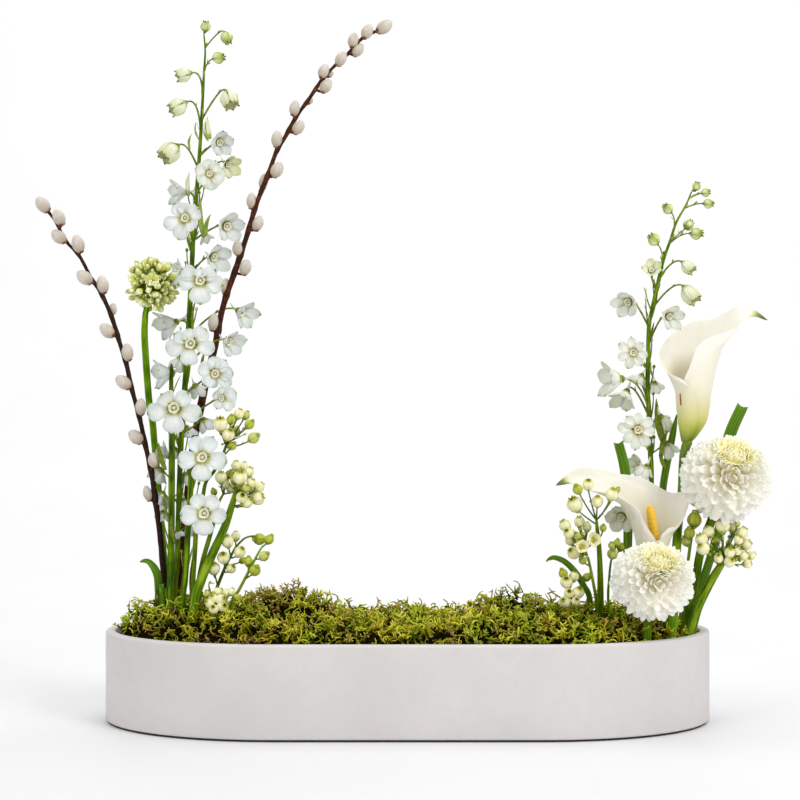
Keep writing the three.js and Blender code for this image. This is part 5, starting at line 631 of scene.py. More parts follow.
  "dr11": {"stem":"delph_right","c":[217.94,-8.0,414.49],"R":13.5,"f":[-0.45,-0.8,-0.3],"kind":"cup","roll":10,"node":0,"np":5,"a":[242.83,9.0,390.93]},
  "dr12": {"stem":"delph_right","c":[262.09,-7.0,400.62],"R":15,"f":[0.3,-0.9,-0.2],"kind":"cup","roll":0,"node":1,"np":5,"a":[242.53,9.55,373.57]},
  "dr13": {"stem":"delph_right","c":[224.31,-12.0,365.42],"R":17.5,"f":[-0.15,-0.97,-0.12],"kind":"open","roll":15,"node":1,"np":5,"pet":[[100,16,11,0.1],[150,17,12,0],[200,17,12,0.1],[250,17.5,12,0],[300,16,12,0.1],[345,14,12,0],[45,14,12,0.2]],"a":[242.09,10.45,346.37]},
  "dr14": {"stem":"delph_right","c":[203.83,-2.0,338.47],"R":17,"f":[-0.88,0.1,-0.3],"kind":"cup","roll":0,"node":1,"np":5,"a":[243.25,11.9,309.73]},
  "dr15": {"stem":"delph_right","c":[218.78,16.0,320.02],"R":15.0,"f":[-0.45,-0.2,-0.85],"kind":"bell","roll":25,"node":0,"np":5,"a":[243.79,12.5,297.96]},
  "dr16": {"stem":"delph_right","c":[228.48,-12.0,288.63],"R":20.5,"f":[-0.08,-0.99,-0.08],"kind":"open","roll":10,"node":1,"np":5,"pet":[[88,17,12,0],[38,18,13,0.1],[-8,17,13,0],[-58,20,13,0],[-98,21,13,0.1],[-140,18,13,0],[172,21,14,0.05],[130,18,13,0.1]],"a":[245.21,14.45,265.24]},
  "dr17": {"stem":"delph_right","c":[264.63,30.0,289.45],"R":15,"f":[0.55,-0.1,-0.6],"kind":"cup","roll":0,"node":0,"np":5,"a":[244.18,13.0,288.49]},
  "dr18": {"stem":"delph_right","c":[233.93,32.0,251.63],"R":13,"f":[-0.75,-0.2,-0.4],"kind":"cup","roll":0,"node":0,"np":5,"a":[246.34,19.75,216.28]},
  "dr20": {"stem":"spray_j","c":[212.12,-7.0,200.54],"R":15.5,"f":[-0.6,-0.3,-0.6],"kind":"cup","roll":10,"node":1,"np":5,"a":[222.54,6.0,196.52]},
 },
 "buds": {
  "spray_a": [
   {"c":[-157.38,-6.0,293.6],"d":9,"k":"g","a":[-180.66,-2.0,275.06]},
   {"c":[-153.09,-9.0,280.23],"d":10.5,"k":"g","a":[-181.89,-1.65,271.2]},
   {"c":[-175.34,-10.0,298.33],"d":8.5,"k":"g","a":[-180.66,-2.0,275.06]},
   {"c":[-185.37,-14.0,293.23],"d":12,"k":"w","a":[-181.54,-1.75,272.31]},
   {"c":[-177.84,-14.0,282.83],"d":10.5,"k":"w","a":[-182.95,-1.35,267.9]},
   {"c":[-174.14,-10.0,272.3],"d":8,"k":"g","a":[-186.32,-0.25,260.01]},
   {"c":[-162.11,2.0,302.38],"d":8,"k":"g","a":[-180.66,-2.0,275.06]},
   {"c":[-168.57,-3.0,303.43],"d":9,"k":"w","a":[-180.66,-2.0,275.06]},
   {"c":[-171.95,4.0,286.92],"d":8,"k":"g","a":[-181.54,-1.75,272.31]},
  ],
  "spray_b": [
   {"c":[-170.24,-12.0,252.32],"d":8.5,"k":"w","a":[-169.42,-14.0,227.84]},
   {"c":[-162.84,-8.0,251.35],"d":8,"k":"w","a":[-169.42,-14.0,227.84]},
   {"c":[-156.62,-18.0,246.36],"d":8.5,"k":"w","a":[-169.42,-14.0,227.84]},
   {"c":[-164.85,-24.0,240.74],"d":12,"k":"w","a":[-170.26,-14.25,225.13]},
   {"c":[-154.43,-22.0,235.71],"d":8,"k":"w","a":[-170.26,-14.25,225.13]},
   {"c":[-147.53,-14.0,231.31],"d":9,"k":"w","a":[-170.93,-14.45,222.97]},
   {"c":[-153.69,-6.0,227.36],"d":7.5,"k":"w","a":[-170.93,-14.45,222.97]},
   {"c":[-163.45,-26.0,221.88],"d":9.5,"k":"w","a":[-171.93,-14.75,219.72]},
   {"c":[-157.98,-22.0,216.3],"d":9,"k":"w","a":[-173.93,-15.45,213.33]},
   {"c":[-148.91,-16.0,220.04],"d":11,"k":"w","a":[-173.93,-15.45,213.33]},
   {"c":[-158.31,-30.0,231.74],"d":7,"k":"g","a":[-170.93,-14.45,222.97]},
   {"c":[-172.59,-8.0,238.42],"d":7.5,"k":"g","a":[-170.09,-14.2,225.67]},
  ],
  "spray_b2": [
   {"c":[-185.47,-10.0,240.51],"d":10,"k":"w","a":[-183.22,-2.9,225.08]},
   {"c":[-181.52,-4.0,233.62],"d":8,"k":"w","a":[-183.22,-2.9,225.08]},
   {"c":[-176.5,0.0,229.2],"d":8.5,"k":"w","a":[-184.09,-2.75,223.42]},
   {"c":[-178.33,2.0,243.4],"d":8,"k":"g","a":[-183.22,-2.9,225.08]},
   {"c":[-194.01,4.0,225.76],"d":6.5,"k":"g","a":[-188.71,-1.85,214.18]},
  ],
  "spray_c": [
   {"c":[-178.34,-14.0,177.51],"d":11,"k":"w","a":[-175.67,-8.0,162.82]},
   {"c":[-171.46,-3.0,181.47],"d":8.5,"k":"w","a":[-171.02,-8.95,170.95]},
   {"c":[-181.92,-18.0,161.68],"d":10.5,"k":"w","a":[-181.86,-7.0,150.78]},
   {"c":[-166.22,-17.0,167.31],"d":10,"k":"w","a":[-176.6,-7.85,161.01]},
   {"c":[-191.66,-16.0,150.58],"d":11,"k":"w","a":[-188.52,-6.25,134.26]},
   {"c":[-175.27,-14.0,150.56],"d":8,"k":"w","a":[-184.08,-6.75,145.27]},
   {"c":[-147.12,-10.0,179.72],"d":11,"k":"g","a":[-154.48,-10.0,182.7]},
   {"c":[-164.68,-2.0,157.71],"d":6.5,"k":"g","a":[-179.69,-7.35,154.99]},
  ],
  "spray_d": [
   {"c":[-149.38,-32.0,151.19],"d":10.2,"k":"g","a":[-159.47,-25.15,143.18]},
   {"c":[-156.79,-22.0,158.55],"d":8.5,"k":"g","a":[-156.6,-24.8,148.71]},
   {"c":[-140.95,-27.0,164.58],"d":9.2,"k":"g","a":[-150.4,-24.05,160.8]},
   {"c":[-136.31,-24.0,180.61],"d":8.8,"k":"g","a":[-143.32,-24.0,173.33]},
  ],
  "spray_e": [
   {"c":[-191.18,-50.0,121.21],"d":8.5,"k":"w","a":[-186.61,-45.3,118.06]},
   {"c":[-188.09,-50.0,125.95],"d":8,"k":"w","a":[-186.41,-44.55,123.05]},
   {"c":[-181.13,-50.0,124.98],"d":9,"k":"w","a":[-186.54,-44.7,122.05]},
   {"c":[-179.97,-50.0,118.4],"d":8.5,"k":"w","a":[-186.52,-45.45,117.06]},
   {"c":[-187.13,-53.0,115.72],"d":8,"k":"w","a":[-186.36,-45.7,115.4]},
   {"c":[-185.23,-42.0,130.73],"d":7.5,"k":"w","a":[-186.33,-44.45,123.71]},
   {"c":[-178.12,-38.0,128.86],"d":7,"k":"w","a":[-186.66,-44.85,121.05]},
   {"c":[-172.47,-38.0,130.42],"d":7,"k":"w","a":[-186.61,-45.3,118.06]},
   {"c":[-166.59,-40.0,125.61],"d":6.5,"k":"g","a":[-186.45,-45.55,116.39]},
   {"c":[-195.21,-40.0,129.12],"d":6,"k":"g","a":[-186.79,-45.0,120.05]},
  ],
  "spray_f": [
   {"c":[287.7,-34.0,180.94],"d":10.5,"k":"w","a":[308.72,-23.8,156.52]},
   {"c":[288.88,-36.0,172.54],"d":11,"k":"w","a":[307.62,-23.6,154.66]},
   {"c":[295.94,-28.0,188.04],"d":9.5,"k":"w","a":[309.9,-24.0,158.68]},
   {"c":[309.09,-28.0,193.34],"d":11.5,"k":"w","a":[310.99,-24.0,162.64]},
   {"c":[303.32,-37.0,163.27],"d":8,"k":"w","a":[307.62,-23.6,154.66]},
   {"c":[313.41,-40.0,169.03],"d":9,"k":"w","a":[309.9,-24.0,158.68]},
   {"c":[313.64,-38.0,160.06],"d":10,"k":"w","a":[308.72,-23.8,156.52]},
   {"c":[322.12,-34.0,169.9],"d":7,"k":"w","a":[310.4,-24.0,160.5]},
   {"c":[323.29,-34.0,180.75],"d":7.5,"k":"w","a":[310.65,-24.0,161.42]},
   {"c":[328.81,-24.0,185.92],"d":11,"k":"w","a":[310.99,-24.0,162.64]},
   {"c":[333.0,-22.0,174.71],"d":9.5,"k":"w","a":[310.4,-24.0,160.5]},
   {"c":[329.06,-30.0,165.09],"d":8,"k":"w","a":[310.15,-24.0,159.59]},
   {"c":[338.58,-20.0,164.06],"d":8,"k":"w","a":[309.9,-24.0,158.68]},
   {"c":[333.09,-26.0,156.81],"d":7.5,"k":"w","a":[309.27,-23.9,157.44]},
   {"c":[322.86,-10.0,190.84],"d":9,"k":"w","a":[310.99,-24.0,162.64]},
   {"c":[305.65,-14.0,177.31],"d":8,"k":"g","a":[309.9,-24.0,158.68]},
   {"c":[324.25,-26.0,196.32],"d":5.5,"k":"g","a":[310.4,-24.0,160.5]},
  ],
  "spray_g": [
   {"c":[283.96,-15.0,199.19],"d":16.5,"k":"G","a":[283.61,-13.85,194.0]},
   {"c":[278.56,-18.0,186.58],"d":12.5,"k":"G","a":[281.11,-13.15,179.36]},
   {"c":[276.5,-12.0,177.72],"d":9,"k":"g","a":[280.19,-12.0,171.91]},
  ],
  "spray_h": [
   {"c":[164.3,-50.0,231.55],"d":9.2,"k":"g","a":[185.43,-27.8,199.07]},
   {"c":[174.79,-48.0,235.5],"d":9.2,"k":"w","a":[185.32,-28.0,200.21]},
   {"c":[163.28,-40.0,215.38],"d":13,"k":"w","a":[185.72,-27.3,196.23]},
   {"c":[184.45,-42.0,219.02],"d":10.5,"k":"w","a":[185.32,-28.0,200.21]},
   {"c":[197.25,-48.0,226.01],"d":11,"k":"w","a":[185.43,-27.8,199.07]},
   {"c":[203.06,-48.0,230.85],"d":5.2,"k":"g","a":[185.43,-27.8,199.07]},
   {"c":[191.63,-30.0,192.53],"d":6.5,"k":"g","a":[187.78,-23.45,180.09]},
  ],
  "spray_i": [
   {"c":[155.19,-26.0,193.96],"d":10,"k":"w","a":[174.27,-20.0,172.99]},
   {"c":[169.41,-22.0,197.57],"d":9,"k":"w","a":[173.68,-20.0,174.91]},
   {"c":[158.09,-32.0,187.02],"d":8.5,"k":"w","a":[174.57,-20.0,172.03]},
   {"c":[160.55,-20.0,178.46],"d":8,"k":"w","a":[175.16,-20.0,170.1]},
   {"c":[169.47,-42.0,175.46],"d":12,"k":"o","a":[175.45,-20.0,169.14]},
   {"c":[181.46,-41.0,181.98],"d":12.5,"k":"o","a":[174.86,-20.0,171.06]},
   {"c":[162.79,-32.0,168.03],"d":11,"k":"w","a":[176.9,-19.65,164.84]},
   {"c":[171.87,-28.0,160.56],"d":7.5,"k":"g","a":[179.74,-18.9,155.49]},
   {"c":[177.37,-18.0,192.11],"d":8,"k":"w","a":[173.98,-20.0,173.95]},
   {"c":[166.37,-28.0,184.51],"d":7.5,"k":"g","a":[174.57,-20.0,172.03]},
  ],
  "spray_k": [
   {"c":[201.28,-18.0,174.33],"d":6,"k":"g","a":[202.93,-13.85,162.38]},
   {"c":[207.09,-16.0,176.11],"d":7.2,"k":"g","a":[203.21,-14.0,163.44]},
   {"c":[211.7,-10.0,171.37],"d":7.2,"k":"g","a":[202.66,-13.7,161.33]},
   {"c":[201.93,-22.0,166.33],"d":10,"k":"g","a":[202.38,-13.55,160.27]},
  ],
  "spray_l": [
   {"c":[153.44,-22.0,146.92],"d":8.5,"k":"g","a":[157.98,-22.0,130.76]},
   {"c":[164.13,-18.0,142.7],"d":8.5,"k":"w","a":[158.36,-22.0,129.87]},
   {"c":[155.56,-30.0,138.62],"d":10,"k":"w","a":[158.36,-22.0,129.87]},
   {"c":[154.17,-34.0,120.72],"d":10.5,"k":"w","a":[163.03,-22.0,117.26]},
   {"c":[157.08,-36.0,128.99],"d":8,"k":"w","a":[160.77,-22.0,124.15]},
   {"c":[166.51,-32.0,128.68],"d":10,"k":"w","a":[161.9,-22.0,120.7]},
   {"c":[177.68,-12.0,142.0],"d":8,"k":"g","a":[160.77,-22.0,124.15]},
   {"c":[163.67,-40.0,121.91],"d":7.5,"k":"w","a":[163.71,-22.0,115.19]},
  ],
 },
 "catkins": {
  "willow_left": [
   {"c":[-359.61,-22.0,510.47],"l":17.5,"w":14,"a":[-354.09,-22.0,503.77],"s":17.0,"ang":128},
   {"c":[-343.23,-23.8,497.64],"l":16.5,"w":13,"a":[-344.49,-20.8,489.1],"s":15.8,"ang":115},
   {"c":[-343.64,-22.0,478.93],"l":16.5,"w":13.5,"a":[-337.1,-20.0,474.9],"s":15.0,"ang":140},
   {"c":[-324.9,-21.2,471.92],"l":18,"w":13.5,"a":[-325.59,-18.2,461.75],"s":14.1,"ang":108},
   {"c":[-319.08,-18.4,439.11],"l":17.5,"w":14,"a":[-311.28,-15.4,435.87],"s":12.8,"ang":140},
   {"c":[-302.09,-14.0,432.24],"l":18,"w":13,"a":[-302.98,-13.0,422.1],"s":12.0,"ang":100},
   {"c":[-293.93,-5.0,408.2],"l":13,"w":9,"a":[-293.85,-11.0,400.7],"s":11.0,"ang":85},
   {"c":[-298.04,-12.4,386.73],"l":17,"w":13.5,"a":[-288.12,-9.4,381.46],"s":10.2,"ang":135},
   {"c":[-278.03,-11.2,365.25],"l":17.5,"w":12.5,"a":[-280.76,-7.2,357.01],"s":9.1,"ang":95},
   {"c":[-282.7,-8.0,335.51],"l":17.5,"w":14,"a":[-275.09,-5.0,329.96],"s":8.0,"ang":140},
   {"c":[-265.62,-5.0,311.12],"l":17,"w":12,"a":[-267.87,-3.0,302.23],"s":7.0,"ang":90},
   {"c":[-270.88,-4.0,281.2],"l":17,"w":14,"a":[-262.33,-1.0,274.53],"s":6.0,"ang":135},
   {"c":[-253.03,-5.2,258.01],"l":15.5,"w":12,"a":[-256.79,0.8,248.45],"s":5.1,"ang":95},
   {"c":[-260.21,1.8,224.29],"l":15.5,"w":10,"a":[-252.6,2.8,218.14],"s":4.1,"ang":105},
  ],
  "willow_right": [
   {"c":[-22.89,-14.0,687.95],"l":18,"w":14,"a":[-31.21,-14.0,683.59],"s":26.0,"ang":38},
   {"c":[-39.9,-15.1,682.73],"l":15.5,"w":12.5,"a":[-43.72,-13.1,677.12],"s":25.1,"ang":62},
   {"c":[-53.79,-14.3,674.41],"l":15.5,"w":11.5,"a":[-53.88,-12.3,666.85],"s":24.3,"ang":75},
   {"c":[-49.11,-12.0,665.03],"l":14.5,"w":11.5,"a":[-57.64,-12.0,662.75],"s":24.0,"ang":50},
   {"c":[-65.88,-14.1,656.03],"l":15.5,"w":12,"a":[-70.54,-11.1,651.34],"s":23.1,"ang":62},
   {"c":[-83.24,-12.0,644.2],"l":15,"w":11.5,"a":[-85.14,-10.0,635.89],"s":22.0,"ang":65},
   {"c":[-76.63,-5.3,642.26],"l":8,"w":5.5,"a":[-81.19,-10.3,640.14],"s":22.3,"ang":55},
   {"c":[-81.09,-9.5,629.93],"l":15.5,"w":12.5,"a":[-91.43,-9.5,626.8],"s":21.5,"ang":52},
   {"c":[-96.17,-6.8,615.36],"l":6.5,"w":4.5,"a":[-100.46,-8.8,613.87],"s":20.8,"ang":55},
   {"c":[-112.26,-10.0,607.78],"l":15.5,"w":11.5,"a":[-111.41,-8.0,598.51],"s":20.0,"ang":80},
   {"c":[-108.67,-7.3,589.29],"l":15.5,"w":12.5,"a":[-118.71,-7.3,585.41],"s":19.3,"ang":55},
   {"c":[-130.09,-8.2,577.69],"l":16.5,"w":12,"a":[-128.75,-6.2,568.37],"s":18.2,"ang":85},
   {"c":[-130.0,-5.8,547.22],"l":16.5,"w":13.5,"a":[-139.58,-3.8,541.63],"s":16.9,"ang":60},
   {"c":[-144.37,2.8,536.7],"l":16.5,"w":10,"a":[-145.56,-2.2,527.5],"s":16.1,"ang":85},
   {"c":[-156.0,0.0,517.1],"l":16,"w":11,"a":[-152.9,0.0,508.5],"s":15.0,"ang":88},
   {"c":[-149.91,2.1,494.74],"l":16,"w":12,"a":[-158.51,2.1,490.38],"s":14.3,"ang":68},
   {"c":[-170.0,5.4,469.84],"l":16,"w":12.5,"a":[-168.0,5.4,462.4],"s":13.2,"ang":95},
   {"c":[-162.63,5.0,451.04],"l":16.5,"w":13,"a":[-173.4,7.0,447.19],"s":12.5,"ang":70},
   {"c":[-183.39,12.4,432.53],"l":16.5,"w":11,"a":[-181.7,9.4,424.17],"s":11.3,"ang":85},
   {"c":[-195.25,9.8,396.1],"l":18,"w":11.5,"a":[-191.24,12.8,387.38],"s":9.6,"ang":80},
  ],
 },
 "mums": {
  "mum_upper": {"c":[313.04,-26.0,242.81],"R":46.0,"f":[0.15,-0.81,0.56]},
  "mum_lower": {"c":[233.47,-72.0,147.02],"R":42.5,"f":[0.2,-0.81,0.55]},
 },
 "globe": {"c":[-256.88,10.0,433.25],"R":26.0,"f":[0.05,-0.8,0.6]},
 "calla_upper": {"net": [
  [[281.01,-10.63,276.69],[286.27,-14.04,285.31],[289.15,-19.25,297.27],[285.48,-23.76,313.08],[279.53,-26.16,328.32],[276.4,-27.5,331.75],[272.79,-27.9,335.37],[269.24,-28.0,338.61]],
  [[275.97,-12.63,276.75],[276.95,-17.0,285.37],[276.91,-21.36,297.3],[275.08,-23.21,313.08],[272.27,-23.76,328.34],[268.65,-26.9,335.19],[264.06,-26.2,339.03],[259.94,-25.0,342.78]],
  [[273.31,-10.7,276.69],[272.06,-13.28,285.29],[270.44,-15.97,297.22],[268.94,-17.41,313.06],[267.5,-18.44,328.37],[260.17,-22.0,340.17],[255.98,-20.6,345.03],[251.88,-18.0,349.03]],
  [[272.95,-8.0,276.62],[271.36,-8.0,285.17],[269.37,-8.0,297.11],[267.68,-8.0,313.03],[266.09,-8.0,328.44],[257.63,-8.0,346.85],[252.76,-8.0,354.31],[249.78,-8.0,361.37]],
  [[274.6,-4.98,276.54],[274.57,-2.09,285.05],[274.22,0.93,296.99],[273.39,2.54,312.99],[272.42,3.7,328.53],[264.37,5.0,352.11],[259.05,4.4,362.13],[255.24,2.0,372.67]],
  [[277.25,-3.46,276.49],[279.78,0.89,284.98],[282.11,5.43,296.92],[282.71,7.84,312.97],[282.76,9.58,328.57],[275.66,12.0,358.32],[271.56,11.6,372.41],[267.25,10.0,385.04]],
  [[279.68,-3.46,276.49],[284.55,0.89,284.98],[289.33,5.43,296.92],[291.24,7.84,312.97],[292.24,9.58,328.57],[287.5,16.0,363.47],[287.41,16.6,380.68],[288.51,16.0,398.04]],
  [[281.02,-4.15,276.51],[287.19,-0.46,285.01],[293.33,3.39,296.95],[295.96,5.43,312.98],[297.49,6.91,328.55],[301.03,18.0,366.57],[303.88,19.6,384.85],[308.51,20.0,400.78]],
  [[281.96,-5.3,276.55],[289.02,-2.72,285.06],[296.08,-0.03,297.0],[299.21,1.41,313.0],[301.09,2.44,328.52],[309.33,14.0,368.46],[316.21,18.0,388.83],[325.74,20.0,409.19]],
  [[282.35,-6.55,276.58],[289.76,-5.16,285.11],[297.19,-3.7,297.05],[300.52,-2.93,313.01],[302.53,-2.38,328.48],[312.64,8.0,368.77],[325.15,13.4,393.66],[337.11,16.4,414.13]],
  [[282.38,-7.02,276.59],[289.83,-6.09,285.13],[297.29,-5.11,297.07],[300.63,-4.59,313.02],[302.66,-4.22,328.47],[313.43,5.5,368.98],[330.84,10.8,398.97],[346.44,13.0,411.39]],
  [[282.38,-7.43,276.6],[289.81,-6.88,285.15],[297.26,-6.31,297.09],[300.58,-6.0,313.02],[302.61,-5.78,328.46],[314.02,3.0,369.2],[335.86,8.0,401.84],[354.1,8.6,405.09]],
  [[282.33,-7.84,276.61],[289.72,-7.68,285.17],[297.11,-7.51,297.1],[300.41,-7.43,313.02],[302.41,-7.36,328.45],[314.51,1.0,369.33],[339.07,4.8,402.07],[361.05,4.0,398.01]],
  [[282.25,-8.25,276.63],[289.56,-8.48,285.18],[296.86,-8.73,297.12],[300.11,-8.86,313.03],[302.08,-8.95,328.44],[314.39,-1.0,369.17],[337.1,1.8,399.7],[352.67,4.2,401.33]],
  [[282.08,-8.82,276.64],[289.22,-9.6,285.21],[296.34,-10.41,297.14],[299.49,-10.85,313.04],[301.39,-11.16,328.42],[313.38,-3.5,368.58],[331.99,-1.4,393.63],[342.86,1.6,402.19]],
  [[281.76,-9.53,276.66],[288.59,-11.0,285.24],[295.38,-12.53,297.17],[298.36,-13.34,313.04],[300.13,-13.93,328.4],[310.96,-7.5,367.35],[324.9,-5.6,385.45],[336.27,-2.4,396.68]],
  [[281.28,-10.17,276.68],[287.68,-12.27,285.27],[294.05,-14.48,297.2],[296.79,-15.65,313.05],[298.4,-16.5,328.39],[307.75,-11.0,365.65],[318.6,-9.0,378.14],[327.8,-6.0,389.72]],
  [[280.02,-10.96,276.7],[285.35,-14.01,285.3],[290.67,-17.33,297.24],[292.87,-19.1,313.06],[294.07,-20.37,328.36],[300.0,-17.5,361.49],[305.86,-15.4,372.94],[312.4,-12.5,384.15]],
  [[278.55,-11.32,276.71],[282.46,-15.07,285.33],[286.29,-19.33,297.27],[287.68,-21.59,313.07],[288.32,-23.23,328.34],[290.82,-21.5,356.45],[292.28,-20.6,367.32],[294.56,-19.0,378.04]],
  [[277.32,-11.13,276.71],[279.81,-15.07,285.33],[282.01,-19.76,297.27],[282.54,-22.25,313.07],[282.55,-24.04,328.33],[283.63,-23.0,349.51],[283.97,-22.8,358.38],[284.32,-22.0,368.26]],
  [[276.26,-11.03,276.7],[277.42,-14.86,285.32],[278.04,-19.4,297.27],[277.75,-21.81,313.07],[277.16,-23.55,328.34],[277.8,-22.6,341.64],[278.16,-22.8,347.25],[278.69,-22.6,352.97]],
  [[275.18,-10.41,276.69],[274.98,-13.44,285.29],[274.0,-17.04,297.24],[272.86,-18.95,313.06],[271.66,-20.33,328.36],[272.14,-21.2,333.28],[272.38,-21.5,336.24],[272.8,-21.4,339.2]],
 ], "spadix": [[278.37,-8.3,280.71,2.4],[280.81,-8.0,289.15,2.6],[282.5,-8.0,300.09,3.4],[283.3,-8.0,314.02,3.9],[283.67,-7.6,327.95,3.7],[283.95,-7.2,334.92,2.9]]},
 "calla_lower": {"net": [
  [[247.43,-22.47,132.78],[246.54,-25.61,143.0],[245.55,-29.41,155.22],[244.82,-32.27,168.25],[244.63,-33.6,178.17],[242.39,-34.9,180.24],[241.66,-35.2,181.93],[240.94,-35.4,183.61]],
  [[245.02,-22.6,132.8],[242.44,-25.83,143.03],[239.42,-29.74,155.25],[237.16,-32.67,168.3],[236.27,-34.04,178.21],[235.7,-35.2,185.16],[235.15,-35.6,188.61],[234.43,-35.8,193.02]],
  [[243.17,-21.6,132.68],[239.29,-24.13,142.83],[234.7,-27.19,154.98],[231.27,-29.49,167.97],[229.83,-30.56,177.88],[229.83,-34.0,190.91],[229.43,-35.3,196.4],[228.94,-36.0,202.31]],
  [[242.19,-19.91,132.47],[237.62,-21.25,142.49],[232.18,-22.88,154.5],[228.11,-24.1,167.43],[226.38,-24.67,177.33],[225.49,-30.4,195.5],[225.23,-33.4,203.58],[225.11,-35.5,211.36]],
  [[242.07,-18.16,132.25],[237.41,-18.28,142.14],[231.86,-18.42,154.02],[227.69,-18.52,166.87],[225.91,-18.57,176.75],[221.17,-26.5,201.08],[217.92,-31.2,210.26],[214.04,-35.0,218.55]],
  [[242.56,-16.55,132.05],[238.23,-15.53,141.82],[233.07,-14.29,153.56],[229.2,-13.36,166.35],[227.55,-12.93,176.22],[215.78,-23.0,208.19],[208.3,-30.0,217.04],[201.08,-35.5,225.61]],
  [[243.55,-15.11,131.87],[239.91,-13.07,141.53],[235.58,-10.61,153.16],[232.33,-8.77,165.88],[230.97,-7.9,175.74],[209.27,-19.5,216.32],[195.61,-29.6,222.89],[181.95,-37.0,229.22]],
  [[243.99,-14.68,131.82],[240.67,-12.34,141.45],[236.72,-9.51,153.04],[233.75,-7.39,165.75],[232.52,-6.4,175.6],[208.4,-18.0,219.38],[186.81,-29.4,228.18],[166.6,-39.0,232.26]],
  [[244.41,-14.35,131.78],[241.38,-11.78,141.38],[237.78,-8.67,152.95],[235.07,-6.34,165.64],[233.97,-5.25,175.5],[207.79,-16.7,222.27],[180.48,-29.0,233.06],[155.68,-41.0,238.31]],
  [[244.93,-14.01,131.74],[242.26,-11.22,141.32],[239.1,-7.82,152.86],[236.72,-5.28,165.53],[235.77,-4.09,175.39],[207.56,-15.5,224.96],[175.16,-28.4,237.93],[144.19,-42.0,234.87]],
  [[245.39,-13.78,131.71],[243.05,-10.81,141.27],[240.29,-7.21,152.79],[238.21,-4.52,165.46],[237.4,-3.26,175.31],[207.94,-14.2,226.86],[175.44,-26.0,240.94],[150.92,-38.0,241.66]],
  [[245.87,-13.58,131.68],[243.87,-10.48,141.23],[241.52,-6.72,152.74],[239.75,-3.9,165.39],[239.08,-2.59,175.24],[208.7,-13.0,228.57],[179.73,-23.0,242.86],[159.45,-33.0,248.54]],
  [[246.36,-13.44,131.67],[244.7,-10.24,141.2],[242.78,-6.36,152.7],[241.32,-3.45,165.35],[240.8,-2.09,175.2],[210.22,-12.0,230.2],[188.58,-19.2,242.17],[170.9,-27.0,252.39]],
  [[247.67,-13.3,131.65],[246.94,-10.0,141.17],[246.14,-6.01,152.66],[245.54,-3.01,165.3],[245.41,-1.61,175.15],[218.84,-8.0,230.96],[202.39,-12.0,241.21],[188.37,-17.0,250.37]],
  [[248.91,-13.53,131.68],[249.05,-10.39,141.22],[249.32,-6.59,152.72],[249.52,-3.73,165.38],[249.77,-2.4,175.23],[229.82,-4.5,227.27],[218.69,-5.6,237.3],[209.39,-8.0,244.79]],
  [[249.98,-14.1,131.75],[250.88,-11.37,141.33],[252.07,-8.05,152.88],[252.96,-5.56,165.56],[253.53,-4.4,175.42],[240.68,-2.0,220.63],[236.28,-1.4,231.58],[232.19,-2.0,241.3]],
  [[250.8,-14.98,131.86],[252.27,-12.86,141.51],[254.16,-10.29,153.13],[255.57,-8.36,165.84],[256.4,-7.46,175.7],[251.33,-1.0,213.57],[250.6,0.6,223.76],[249.96,1.0,232.04]],
  [[251.3,-16.09,131.99],[253.12,-14.75,141.73],[255.43,-13.12,153.44],[257.17,-11.9,166.2],[258.14,-11.33,176.07],[261.05,-2.6,207.19],[262.7,-0.6,216.54],[263.9,0.0,225.2]],
  [[251.44,-17.51,132.17],[253.36,-17.16,142.01],[255.78,-16.75,153.83],[257.6,-16.43,166.66],[258.6,-16.29,176.54],[268.46,-7.0,204.53],[273.81,-6.0,215.91],[278.39,-6.0,227.16]],
  [[250.84,-19.08,132.36],[252.42,-19.86,142.33],[254.5,-20.83,154.28],[256.06,-21.55,167.17],[256.95,-21.89,177.06],[270.69,-13.4,200.05],[276.04,-13.4,209.96],[279.6,-14.0,219.32]],
  [[249.73,-20.12,132.49],[250.67,-21.76,142.55],[252.05,-23.86,154.61],[253.1,-25.45,167.57],[253.75,-26.19,177.47],[266.25,-21.6,194.19],[270.61,-22.6,199.3],[273.49,-23.0,205.93]],
  [[248.66,-20.66,132.56],[248.88,-22.87,142.68],[249.41,-25.8,154.82],[249.83,-28.03,167.83],[250.18,-29.07,177.74],[259.01,-27.0,188.35],[262.49,-28.4,190.43],[265.82,-29.0,194.8]],
  [[247.64,-20.85,132.58],[247.06,-23.41,142.75],[246.6,-26.93,154.95],[246.27,-29.63,167.99],[246.27,-30.88,177.91],[252.34,-30.4,184.24],[254.15,-31.3,188.23],[256.09,-31.4,192.65]],
  [[246.66,-21.11,132.62],[245.2,-23.92,142.81],[243.53,-27.8,155.04],[242.28,-30.77,168.1],[241.85,-32.16,178.03],[246.85,-31.6,181.11],[247.17,-32.0,182.91],[247.76,-32.0,185.26]],
 ], "spadix": [[246.44,-18.0,136.68,2.3],[245.75,-18.0,148.04,2.9],[244.78,-18.5,163.9,4.2],[243.73,-19.5,180.79,4.6],[241.23,-21.5,197.73,4.7],[239.04,-23.5,208.72,4.0],[238.34,-24.2,213.1,2.6]]},
}
OWN = {"dt10": "delphinium_left_floret_01", "dt12": "delphinium_left_floret_02", "dt13": "delphinium_left_floret_03", "dt14": "delphinium_left_floret_04", "dt15": "delphinium_left_floret_05", "dt16": "delphinium_left_floret_06", "dt17": "delphinium_left_floret_07", "dt18": "delphinium_left_floret_08", "dt20": "delphinium_left_floret_09", "dt23": "delphinium_left_floret_10", "dt27": "delphinium_left_floret_11", "dt28": "delphinium_left_floret_12", "dr12": "delphinium_right_floret_01", "dr13": "delphinium_right_floret_02", "dr14": "delphinium_right_floret_03", "dr16": "delphinium_right_floret_04", "dr20": "delphinium_right_floret_05"}
